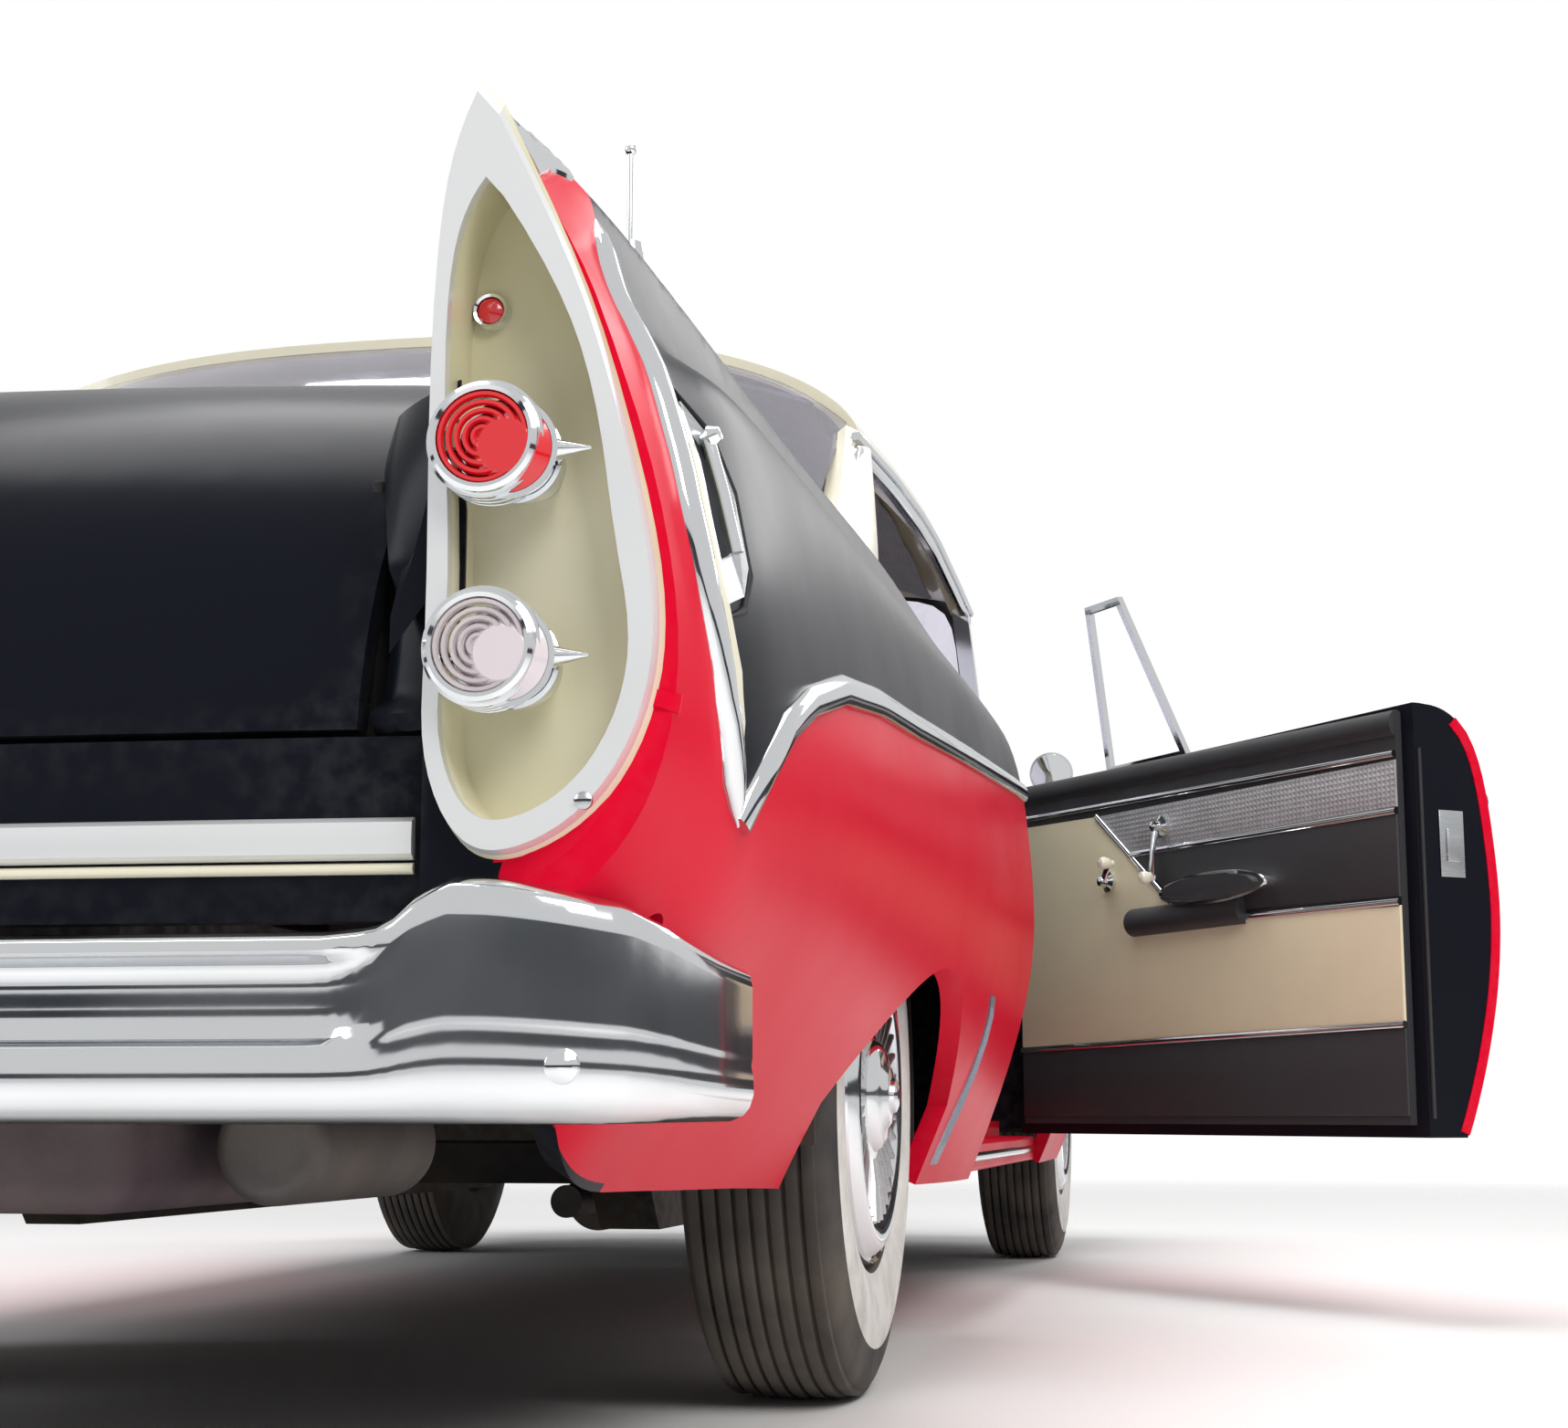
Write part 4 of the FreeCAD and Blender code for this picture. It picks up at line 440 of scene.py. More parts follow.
WHITE = Finish("white_sidewall", "tyre", (0.84, 0.83, 0.79), 0.50, detail=Detail.RUBBER, dust=0.12)
SEAL = Finish("seal_rubber", "tyre", (0.012, 0.012, 0.013), 0.55, detail=Detail.RUBBER, dust=0.05)
CLOTH = Finish("seat_cloth", "trim_cloth", (0.10, 0.10, 0.11), 0.85, detail=Detail.CLOTH, dust=0.0)
VINYL = Finish("cream_vinyl", "vinyl", (0.80, 0.73, 0.52), 0.48, detail=Detail.LEATHER, dust=0.0)
DARK_VINYL = Finish("dark_vinyl", "vinyl", (0.030, 0.030, 0.034), 0.48, detail=Detail.LEATHER, dust=0.0)
GREY_CLOTH = Finish("headliner", "trim_cloth", (0.36, 0.37, 0.42), 0.90, detail=Detail.CLOTH, dust=0.0)
CARPET = Finish("carpet", "trim_cloth", (0.045, 0.042, 0.045), 0.95, detail=Detail.CLOTH, dust=0.0)
SILVER_MESH = Finish("silver_mesh", "trim_cloth", (0.42, 0.43, 0.45), 0.45, detail=Detail.MESH, dust=0.0)
IRON = Finish("engine_iron", "engine_iron", (0.16, 0.19, 0.20), 0.60, detail=Detail.CAST, dust=0.3)
STEEL = Finish("dull_steel", "steel", (0.16, 0.15, 0.15), 0.50, metal=0.5, detail=Detail.CAST, dust=0.6,
               wear=0.2)
TANK = Finish("tank_coating", "tank_black", (0.14, 0.10, 0.12), 0.60, detail=Detail.CAST, dust=0.4)
IVORY = Finish("ivory_plastic", "plastic_cream", (0.86, 0.82, 0.68), 0.25, coat=0.4)
UNDERSEAL = Finish("underseal", "frame_black", (0.018, 0.015, 0.017), 0.85, detail=Detail.CAST, dust=0.25)
GUARD = Finish("stone_guard_bright", "chrome", (0.30, 0.34, 0.42), 0.34, metal=0.7, detail=Detail.BRUSHED,
               dust=0.2)

NODE_FINISHES = {
    BLACK: ("cowl_panel", "hood", "trunk_lid", "upper_deck", "tail_panel", "headlamp_panels", "dashboard"),
    CREAM: ("roof_panel", "rear_pillars"),
    FRAME: ("chassis_frame", "floor_pan", "trunk_floor"),
    CHROME: ("vent_frame_left", "vent_frame_right", "windscreen_pillars", "tail_lamp_pods", "rear_bumper",
             "front_bumper", "grille", "headlamps", "fender_mirrors", "rear_aerials"),
    GLASS: ("windscreen", "rear_window"), RED: ("rocker_panels",), IRON: ("engine_block",),
    STEEL: ("radiator", "knuckle_left", "knuckle_right", "front_suspension", "leaf_springs", "rear_axle",
            "exhaust", "plate_bracket"),
    TANK: ("fuel_tank",), DARK_VINYL: ("steering_column",), IVORY: ("steering_wheel",),
}


class Kit:
    """Everything the sub-assemblies share: the frame, the paints and the body's side surface."""

    def __init__(self, loaded: dict) -> None:
        """Takes the loaded frame.
        """
        self.nodes: dict[str, Piece] = loaded["nodes"]
        self.paints = Paints()
        self.side = self.surface("quarter_panel_left", "door_left", "front_fender_left")

    def surface(self, *names: str) -> BVHTree:
        """A search tree over the named nodes.

        Args:
            names: The nodes' names.

        Returns:
            The tree.
        """
        verts: Points = []
        faces: list[list[int]] = []
        for name in names:
            mesh = self.nodes[name].data
            start = len(verts)
            verts += [v.co.copy() for v in mesh.vertices]
            faces += [[start + index for index in p.vertices] for p in mesh.polygons]
        return BVHTree.FromPolygons(verts, faces)

    def skin(self, y: float, z: float) -> tuple[Vector, Vector]:
        """Point and outward normal of the closed right side at a place.

        Args:
            y: Place along the car.
            z: Height.

        Returns:
            The point and the normal.
        """
        point, normal, _, _ = self.side.ray_cast(Vector((-1.3, y, z)), OUT)
        if point is None:
            return Vector((0.9, y, z)), OUT
        normal = -normal if normal.x > 0 else normal
        return Vector((-point.x, point.y, point.z)), Vector((-normal.x, normal.y, normal.z)).normalized()

    def mesh(self, name: str, verts: list, faces: list, finish: Finish, body: str = "body",
             smooth: float | None = 40.0) -> Piece:
        """Makes an object from points and faces, paints it and lets it ride on a body.

        Args:
            name: The object's name.
            verts: Its points.
            faces: Its faces, as lists of point numbers.
            finish: Its finish.
            body: The body it moves with.
            smooth: Largest angle in degrees that is shaded smooth, or None for flat shading.

        Returns:
            The object.
        """
        data = bpy.data.meshes.new(name)
        data.from_pydata([tuple(v) for v in verts], [], faces)
        tidy = bmesh.new()
        tidy.from_mesh(data)
        bmesh.ops.remove_doubles(tidy, verts=tidy.verts, dist=1e-6)
        bmesh.ops.recalc_face_normals(tidy, faces=tidy.faces)
        tidy.to_mesh(data)
        tidy.free()
        if smooth is not None:
            data.shade_smooth()
            data.set_sharp_from_angle(angle=math.radians(smooth))
        made = bpy.data.objects.new(name, data)
        bpy.context.scene.collection.objects.link(made)
        self.paint(made, finish)
        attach(made, body)
        return made

    def paint(self, made: Piece, finish: Finish, pattern: Callable | None = None, key: str = "") -> None:
        """Gives an object its finish and record slot.

        Args:
            made: The object.
            finish: Its finish.
            pattern: As in Paints.material().
            key: As in Paints.material().
        """
        made.data.materials.clear()
        made.data.materials.append(self.paints.material(finish, pattern, key))


@dataclass
class Assembly:
    """A group of pieces, drawn on the closed right side and placed on the side that is being built."""

    kit: Kit
    side: Side = Side.RIGHT

    def placed(self, name: str, verts: list, faces: list, finish: Finish, part: str = "body",
               smooth: float | None = 40.0) -> Piece:
        """Makes a piece on the side that is being built.

        Args:
            name: The piece's name, to which the side is added.
            verts: Its points on the closed right side.
            faces: Its faces.
            finish: Its finish.
            part: "body", "door" or another word for what it rides on.
            smooth: As in Kit.mesh().

        Returns:
            The object.
        """
        points = [Vector(v) for v in verts]
        if part == "door" and self.side is Side.RIGHT:
            turn = Matrix.Rotation(OPENING, 3, "Z")
            points = [turn @ (p - HINGE) + HINGE for p in points]
        if self.side is Side.LEFT:
            points = [Vector((-p.x, p.y, p.z)) for p in points]
        word = self.side.word
        body = {"door": "door_" + word, "body": "body"}.get(part, part + "_" + word)
        return self.kit.mesh(f"{name}_{word}", points, faces, finish, body, smooth)


def sweep(path: Points, normals: Points, profile: Table, closed: bool = False,
          taper: float = 0.0) -> Shape:
    """Sweeps a profile along a path on a surface.

    Args:
        path: Points of the path.
        normals: The surface's normal at each point.
        profile: Points of the closed profile as (across, out).
        closed: Whether the path closes on itself.
        taper: Share of the path's length over which each end shrinks to nothing.

    Returns:
        Points and faces.
    """
    verts: Points = []
    faces: list[list[int]] = []
    count = len(profile)
    last = len(path) - 1
    for index, (point, normal) in enumerate(zip(path, normals)):
        before = path[index - 1] if index or closed else point
        after = path[(index + 1) % len(path)] if index < last or closed else point
        along = (after - before).normalized()
        across = along.cross(normal).normalized()
        out = across.cross(along).normalized()
        scale = 1.0
        if taper:
            near = min(index, last - index) / (last * taper)
            scale = min(1.0, 0.12 + 0.88 * math.sqrt(min(near, 1.0)))
        verts += [point + across * (a * scale) + out * (o * scale) for a, o in profile]
    rows = len(path) if closed else last
    for row in range(rows):
        first, second = row * count, ((row + 1) % len(path)) * count
        faces += [[first + i, first + (i + 1) % count, second + (i + 1) % count, second + i]
                  for i in range(count)]
    if not closed:
        faces += [list(range(count)), list(range(last * count, (last + 1) * count))[::-1]]
    return verts, faces


def bar_profile(width: float, height: float, sink: float = 0.002, crown: float = 0.45) -> Table:
    """Cross-section of a bright moulding with rolled edges and a raised middle.

    Args:
        width: Its width.
        height: Its height.
        sink: Depth of its foot.
        crown: Share of the half width that the flat middle takes.

    Returns:
        Points as (across, out).
    """
    w = width / 2
    return [(-w, -sink), (-w, height * 0.35), (-w * 0.86, height * 0.62), (-w * crown, height * 0.92),
            (0, height), (w * crown, height * 0.92), (w * 0.86, height * 0.62), (w, height * 0.35),
            (w, -sink)]


def round_profile(radius: float, count: int = 10, wide: float = 1.0, tall: float = 1.0) -> Table:
    """Cross-section of a round or flattened bead."""
    angles = [math.tau * i / count for i in range(count)]
    return [(radius * math.cos(angle) * wide, radius * math.sin(angle) * tall) for angle in angles]


def turned(profile: Table, segments: int, axis: Vector, centre: Vector) -> Shape:
    """Turns a profile round an axis.

    Args:
        profile: Points as (radius, place along the axis).
        segments: Steps round the axis.
        axis: The axis direction.
        centre: The point with place 0.

    Returns:
        Points and faces.
    """
    turn = axis.normalized().to_track_quat("Z", "Y").to_matrix()
    verts, faces = [], []
    count = len(profile)
    for step in range(segments):
        angle = math.tau * step / segments
        for radius, place in profile:
            verts.append(turn @ Vector((radius * math.cos(angle), radius * math.sin(angle), place)) + centre)
    for step in range(segments):
        first, second = step * count, ((step + 1) % segments) * count
        faces += [[first + i, second + i, second + i + 1, first + i + 1] for i in range(count - 1)]
    return verts, faces


def block(low: tuple, high: tuple, round_off: float = 0.0, steps: int = 3) -> Shape:
    """A box with rounded edges.

    Args:
        low: Lowest corner.
        high: Highest corner.
        round_off: Radius of the edges.
        steps: Facets over each edge.

    Returns:
        Points and faces.
    """
    shape = bmesh.new()
    bmesh.ops.create_cube(shape, size=1.0)
    low, high = Vector(low), Vector(high)
    for v in shape.verts:
        v.co = Vector([(low[i] + high[i]) / 2 + v.co[i] * (high[i] - low[i]) for i in range(3)])
    if round_off:
        bmesh.ops.bevel(shape, geom=shape.edges[:], offset=round_off, segments=steps, profile=0.5,
                        affect="EDGES")
    verts = [v.co.copy() for v in shape.verts]
    faces = [[v.index for v in f.verts] for f in shape.faces]
    shape.free()
    return verts, faces


def joined(*parts: tuple[list, list]) -> tuple[list, list]:
    """Several shapes as one set of points and faces.

    Args:
        parts: Points and faces of each shape.

    Returns:
        Points and faces.
    """
    verts: list = []
    faces: list = []
    for points, loops in parts:
        start = len(verts)
        verts += list(points)
        faces += [[start + i for i in loop] for loop in loops]
    return verts, faces


def sheet_of(grid: list[Points], normals: list[Points], thick: float) -> Shape:
    """A closed sheet of some thickness over a grid of points.

    Args:
        grid: Rows of points.
        normals: The outward direction at each point.
        thick: Thickness, outwards.

    Returns:
        Points and faces.
    """
    rows, columns = len(grid), len(grid[0])
    low = [p for row in grid for p in row]
    high = [p + n * thick for line, out in zip(grid, normals) for p, n in zip(line, out)]
    size = rows * columns
    faces = []
    for r in range(rows - 1):
        for c in range(columns - 1):
            a, b = r * columns + c, (r + 1) * columns + c
            faces += [[a, a + 1, b + 1, b], [size + b, size + b + 1, size + a + 1, size + a]]
    rim = ([c for c in range(columns)] + [r * columns + columns - 1 for r in range(1, rows)]
           + [(rows - 1) * columns + c for c in range(columns - 2, -1, -1)]
           + [r * columns for r in range(rows - 2, 0, -1)])
    faces += [[a, b, size + b, size + a] for a, b in zip(rim, rim[1:] + rim[:1])]
    return low + high, faces


@dataclass
class PaintWork(Assembly):
    """Materials of the CAD nodes, with the two-tone scheme on the sides."""

    band_end: float = -2.752
    fin_inner: float = 0.772
    fin_start: float = -2.60

    def build(self) -> None:
        """Paints every CAD node."""
        LOG.info("painting the CAD nodes")
        for finish, names in NODE_FINISHES.items():
            for name in names:
                self.kit.paint(self.kit.nodes[name], finish)
        for name in ("quarter_panel_left", "quarter_panel_right", "front_fender_left", "front_fender_right",
                     "door_left"):
            self._two_tone(name, 0.0)
        self._two_tone("door_right", -OPENING)
        for side in Side:
            self.kit.paint(self.kit.nodes["door_trim_" + side.word], DARK_VINYL)
        # The bezel gets pale chrome with a painted sheen on its rim, and a painted reflection in its recess.
        self.kit.paint(self.kit.nodes["lamp_bezels"], PAINTED_SHEEN_CHROME, self._bezel_colour, "_bezel")
        self.kit.paint(self.kit.nodes["tail_lamp_lenses"], LENS, self._lens_colour, "_pair")

    def _two_tone(self, name: str, turn: float) -> None:
        """Red below the moulding and behind the fin strip, black above it and on inner faces.

        Args:
            name: The node's name.
            turn: Angle that turns its points back to the closed door.
        """
        sign = 1.0 if name.endswith("right") else -1.0

        def pattern(t: Tree) -> Socket:
            """The side's base colour.

            Args:
                t: The material's tree.

            Returns:
                The base colour.
            """
            where = t.add("TexCoord").outputs["Object"]
            facing = t.add("TexCoord").outputs["Normal"]
            if turn:
                where = t.add("VectorRotate", {"rotation_type": "Z_AXIS"}, Vector=where, Center=tuple(HINGE),
                              Angle=turn).outputs[0]
                facing = t.add("VectorRotate", {"rotation_type": "Z_AXIS"}, Vector=facing,
                               Angle=turn).outputs[0]
            split = t.add("SeparateXYZ", i0=where)
            height = split.outputs[2]
            line = self._curve(t, split.outputs[1], MOULDING_LINE, -2.95, 2.45, 0.4, 1.2)
            below = t.math("LESS_THAN", height, line)
            edge = self._curve(t, height, FIN_LINE + [(1.1, -2.76)], 0.4, 1.2, -3.0, -2.6)
            behind = t.math("LESS_THAN", split.outputs[1], edge)
            outward = t.math("MULTIPLY", t.add("SeparateXYZ", i0=facing).outputs[0], sign)
            outer = t.math("GREATER_THAN", outward, 0.12 if "door" in name else -0.35)
            tail = t.math("LESS_THAN", split.outputs[1], self.band_end)
            wide = t.math("GREATER_THAN", t.math("MULTIPLY", split.outputs[0], sign), self.fin_inner)
            wide = t.math("MAXIMUM", wide, t.math("GREATER_THAN", split.outputs[1], self.fin_start))
            red = t.math("MULTIPLY", t.math("MAXIMUM", below, behind), t.math("MAXIMUM", outer, tail))
            red = t.math("MULTIPLY", red, wide)
            return t.mix(red, BLACK.colour + (1.0,), RED.colour + (1.0,))

        self.kit.paint(self.kit.nodes[name], RED, pattern, "_" + name)

    @staticmethod
    def _curve(t: Tree, value: Value, table: Table, low: float, high: float, to_low: float,
               to_high: float) -> Socket:
        """A table as a float curve over one range, with its result in another.

        Args:
            t: The material's tree.
            value: The input.
            table: Rows of (input, result).
            low: Lowest input.
            high: Highest input.
            to_low: Lowest result.
            to_high: Highest result.

        Returns:
            The result's socket.
        """
        node = t.add("FloatCurve", Value=t.remap(value, low, high))
        points = node.mapping.curves[0].points
        places = [((x - low) / (high - low), (y - to_low) / (to_high - to_low)) for x, y in table]
        points[0].location = (0.0, places[0][1])
        points[1].location = (1.0, places[-1][1])
        for x, y in places:
            point = points.new(x, y)
            point.handle_type = "VECTOR"
        node.mapping.update()
        return t.remap(node.outputs[0], 0.0, 1.0, to_low, to_high)

    @staticmethod
    def _bezel_colour(t: Tree) -> tuple[Socket, Socket]:
        """Bright rim with a recess behind it, coloured olive to cream as a painted reflection, and the mask
        of that recess.

        Args:
            t: The material's tree.

        Returns:
            The colour and the mask.
        """
        split = t.add("SeparateXYZ", i0=t.add("TexCoord").outputs["Object"])
        deep = t.math("GREATER_THAN", split.outputs[1], -2.9095)
        tone = t.remap(t.noise(4.0, 2.0), 0.4, 0.6)
        # Painted reflection: the recess's olive-to-cream colour stands in for warm light mirrored in the
        # chrome there.
        panel = t.mix(tone, (0.66, 0.62, 0.42, 1.0), (0.88, 0.84, 0.64, 1.0))
        return t.mix(deep, PAINTED_SHEEN_CHROME.colour + (1.0,), panel), deep

    @staticmethod
    def _lens_colour(t: Tree) -> Socket:
        """Red upper lamps and clear lower ones.

        Args:
            t: The material's tree.

        Returns:
            The colour.
        """
        split = t.add("SeparateXYZ", i0=t.add("TexCoord").outputs["Object"])
        upper = t.math("GREATER_THAN", split.outputs[2], 0.72)
        return t.mix(upper, LENS_CLEAR.colour + (1.0,), LENS.colour + (1.0,))


@dataclass
class SideTrim(Assembly):
    """Bright mouldings along the sides and on the fins."""

    moulding_width: float = 0.028
    moulding_height: float = 0.009
    strip_width: float = 0.030
    bend: float = -2.4
    rear: float = -2.744
    front: float = 2.255
    gap: float = 0.010
    crest: float = -0.775
    cap: Pair = (-2.895, -2.815)
    pocket: tuple = ((-2.822, 0.868), (-2.772, 0.842), (-2.752, 0.800), (-2.748, 0.735), (-2.770, 0.705),
                     (-2.815, 0.690))
    pocket_middle: Pair = (-2.783, 0.775)
    guard: tuple = ((-1.082, 0.502), (-1.046, 0.478), (-1.026, 0.442), (-1.022, 0.400), (-1.030, 0.355),
                    (-1.044, 0.310), (-1.058, 0.268))
    sill: float = 0.268

    def build(self) -> None:
        """Builds the mouldings of both sides."""
        LOG.info("side trim")
        for self.side in Side:
            self._moulding()
            self._fin_strip()
            self._fin_cap()
            self._pocket()
            self._shield()
            self._sill_strip()

    def _along(self, start: float, end: float, step: float = 0.03) -> tuple[Points, Points]:
        """Path and normals of the side moulding between two places.

        Args:
            start: Rear end.
            end: Front end.
            step: Distance between points.

        Returns:
            Points and normals.
        """
        count = max(int((end - start) / step), 3)
        dense = [y for y, _ in MOULDING_LINE if start < y < min(end, self.bend)]
        if start < self.bend:
            dense.append(start)
        places = sorted(set(spread(max(start, self.bend), end, count) + dense))
        return self._on_skin([(y, between(MOULDING_LINE, y)) for y in places])

    def _on_skin(self, places: Table) -> tuple[Points, Points]:
        """Points of the side's surface, and its normals."""
        found = [self.kit.skin(y, z) for y, z in places]
        return [p for p, _ in found], [n for _, n in found]

    def _moulding(self) -> None:
        """The long moulding, split at the door's gaps."""
        profile = bar_profile(self.moulding_width, self.moulding_height)
        spans = [("quarter", "body", self.rear, DOOR_SPAN[0] - self.gap), ("door", "door", *DOOR_SPAN),
                 ("fender", "body", DOOR_SPAN[1] + self.gap, self.front)]
        for word, part, start, end in spans:
            path, normals = self._along(start, end)
            self.placed("side_moulding_" + word, *sweep(path, normals, profile), CHROME, part)

    def _fin_strip(self) -> None:
        """The strip that climbs the fin from the moulding's rear end."""
        heights = spread(FIN_LINE[0][0], FIN_LINE[-1][0], 28)
        path, normals = self._on_skin([(between(FIN_LINE, z), z) for z in heights])
        verts, faces = sweep(path, normals, bar_profile(self.strip_width, 0.010), taper=0.08)
        self.placed("fin_strip", verts, faces, CHROME)
        path, normals = self._on_skin([(between(FIN_LINE, z) + 0.024, z) for z in spread(0.60, 0.86, 16)])
        verts, faces = sweep(path, normals, bar_profile(0.018, 0.0055, crown=0.8), taper=0.2)
        self.placed("fin_strip_inlay", verts, faces, CREAM)

    def _fin_cap(self) -> None:
        """Bright cap over the crest just ahead of the lamp bezel."""
        surface = self.kit.surface("quarter_panel_left")
        grid, normals = [], []
        for y in spread(*self.cap, 8):
            line, out = [], []
            top = surface.ray_cast(Vector((self.crest, y, 1.3)), DOWN)[0]
            centre = Vector((self.crest, y, (top.z if top else 1.04) - 0.05))
            reach = 42 * (1 - 0.45 * (y - self.cap[0]) / (self.cap[1] - self.cap[0]))
            for angle in spread(-reach, reach, 9):
                way = swung(angle, UP, INWARD)
                hit = surface.ray_cast(centre + way * 0.2, -way)
                point = hit[0] or centre + way * 0.05
                line.append(Vector((-point.x, point.y, point.z)))
                out.append(Vector((-way.x, 0, way.z)))
            grid.append(line)
            normals.append(out)
        self.placed("fin_cap", *sheet_of(grid, normals, 0.0035), CHROME)

    def _pocket(self) -> None:
        """Six-sided pocket behind the fin strip, with its small ornament."""
        middle = self.pocket_middle
        inner = [(y * 0.80 + middle[0] * 0.20, z * 0.86 + middle[1] * 0.14) for y, z in self.pocket]
        path, normals = self._on_skin(self.pocket)
        self.placed("pocket_rim", *sweep(path, normals, bar_profile(0.007, 0.0035), closed=True), SEAL)
        points, out = self._on_skin(inner)
        low = [p + n * 0.0006 for p, n in zip(points, out)]
        high = [p + n * 0.0030 for p, n in zip(points, out)]
        count = len(low)
        faces = [list(range(count)), list(range(count, 2 * count))[::-1]]
        faces += [[i, (i + 1) % count, count + (i + 1) % count, count + i] for i in range(count)]
        self.placed("pocket_plate", low + high, faces, SATIN, smooth=None)
        top, normal = self.kit.skin(-2.790, 0.832)
        foot, _ = self.kit.skin(-2.782, 0.745)
        ball = turned([(TIP, -0.008), (0.005, -0.007), (0.0085, 0.0), (0.005, 0.007), (TIP, 0.008)], 16,
                      normal, top + normal * 0.008)
        stem = sweep([top + normal * 0.004, (top + foot) / 2 + normal * 0.005, foot + normal * 0.004],
                     [normal] * 3, bar_profile(0.013, 0.006))
        self.placed("pocket_ornament", *joined(ball, stem), CHROME)

    def _shield(self) -> None:
        """Bright stone guard down the front edge of the rear wheel arch."""
        grid, normals = [], []
        for y, z in self.guard:
            row = [self.kit.skin(y + shift, z) for shift in spread(0.008, 0.056, 6)]
            grid.append([p for p, _ in row])
            normals.append([n for _, n in row])
        self.placed("stone_guard", *sheet_of(grid, normals, 0.0025), GUARD)
        for index in range(3):
            path, out = self._on_skin([(y + 0.016 + index * 0.014, z) for y, z in self.guard])
            verts, faces = sweep(path, out, bar_profile(0.005, 0.0045), taper=0.15)
            self.placed(f"stone_guard_rib_{index}", verts, faces, GUARD)

    def _sill_strip(self) -> None:
        """Bright strip along the sill."""
        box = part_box("rocker_panels")
        path = [Vector((box[1].x + 0.0005, y, self.sill)) for y in spread(-0.57, 0.66, 12)]
        self.placed("sill_strip", *sweep(path, [OUT] * 12, bar_profile(0.014, 0.004)), CHROME)


@dataclass
class TailLamps(Assembly):
    """Rings on the lamp lenses, reflectors and screws of the lamp bezels."""

    lamp_x: float = 0.7685
    heights: Pair = (0.799, 0.652)
    ring_radius: float = 0.0365
    barrel_radius: float = 0.0385
    rib_radius: float = 0.0425
    ribs: tuple = (0.032, 0.024, 0.016, 0.008)
    lens_rings: tuple = (0.007, 0.013, 0.019, 0.025, 0.031)
    reflector: Triple = (0.7485, -2.845, 0.916)
    screw: Triple = (0.838, -2.9195, 0.546)

    def build(self) -> None:
        """Builds the lamps' details on both sides."""
        LOG.info("tail lamps")
        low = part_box("tail_lamp_lenses")[0]
        radius, rib = self.barrel_radius, self.rib_radius
        sleeve = [(radius, 0.036)]
        for start in self.ribs:
            sleeve += [(radius, start), (rib, start - 0.001), (rib, start - 0.0045),
                       (radius + 0.0005, start - 0.0055)]
        barrel = [(wide, place - 0.037) for wide, place in sleeve + [(radius, 0.0)]]
        for self.side in Side:
            for word, height in zip(("upper", "lower"), self.heights):
                centre = Vector((self.lamp_x, low.y + 0.001, height))
                steps = ((-0.004, -0.006), (-0.003, 0.0012), (0.0, 0.0022), (0.003, 0.0), (0.004, -0.006))
                ring = turned([(self.ring_radius + grow, place) for grow, place in steps], 48, BACK, centre)
                self.placed(f"lamp_ring_{word}", *ring, CHROME)
                finish = LENS if word == "upper" else LENS_CLEAR
                self.placed(f"lamp_barrel_{word}", *turned(barrel, 48, BACK, centre), CHROME)
                steps = ((-0.0024, -0.0025), (-0.0012, 0.0008), (0.0012, 0.0008), (0.0024, -0.0025))
                rings = [turned([(wide + grow, place) for grow, place in steps], 40, BACK, centre)
                         for wide in self.lens_rings]
                self.placed(f"lens_rings_{word}", *joined(*rings), finish)
            self._reflector()
            self._screw()

    def _reflector(self) -> None:
        """Small round reflector above the lamps."""
        surface = self.kit.surface("lamp_bezels")
        place = Vector(self.reflector)
        hit = surface.ray_cast(Vector((place.x, -3.1, place.z)), AHEAD)[0]
        centre = (hit or place) + BACK * 0.004
        disc = turned([(TIP, 0.006), (0.005, 0.0055), (0.0095, 0.003), (0.0100, -0.004)], 32, BACK, centre)
        self.placed("reflector", *disc, LENS)
        rim = turned([(0.0100, -0.004), (0.0105, 0.004), (0.0125, 0.005), (0.0142, 0.002), (0.0145, -0.005)],
                     32, BACK, centre)
        self.placed("reflector_rim", *rim, CHROME)

    def _screw(self) -> None:
        """Cross-slotted screw that holds the bezel."""
        centre = Vector(self.screw)
        head = turned([(TIP, 0.0022), (0.004, 0.002), (0.0062, 0.0005), (0.0064, -0.002)], 20, BACK, centre)
        slot = block(centre - Vector((0.006, 0.0027, 0.0008)), centre + Vector((0.006, -0.0019, 0.0008)))
        self.placed("bezel_screw", *head, SATIN)
        self.placed("bezel_screw_slot", *slot, SEAL, smooth=None)


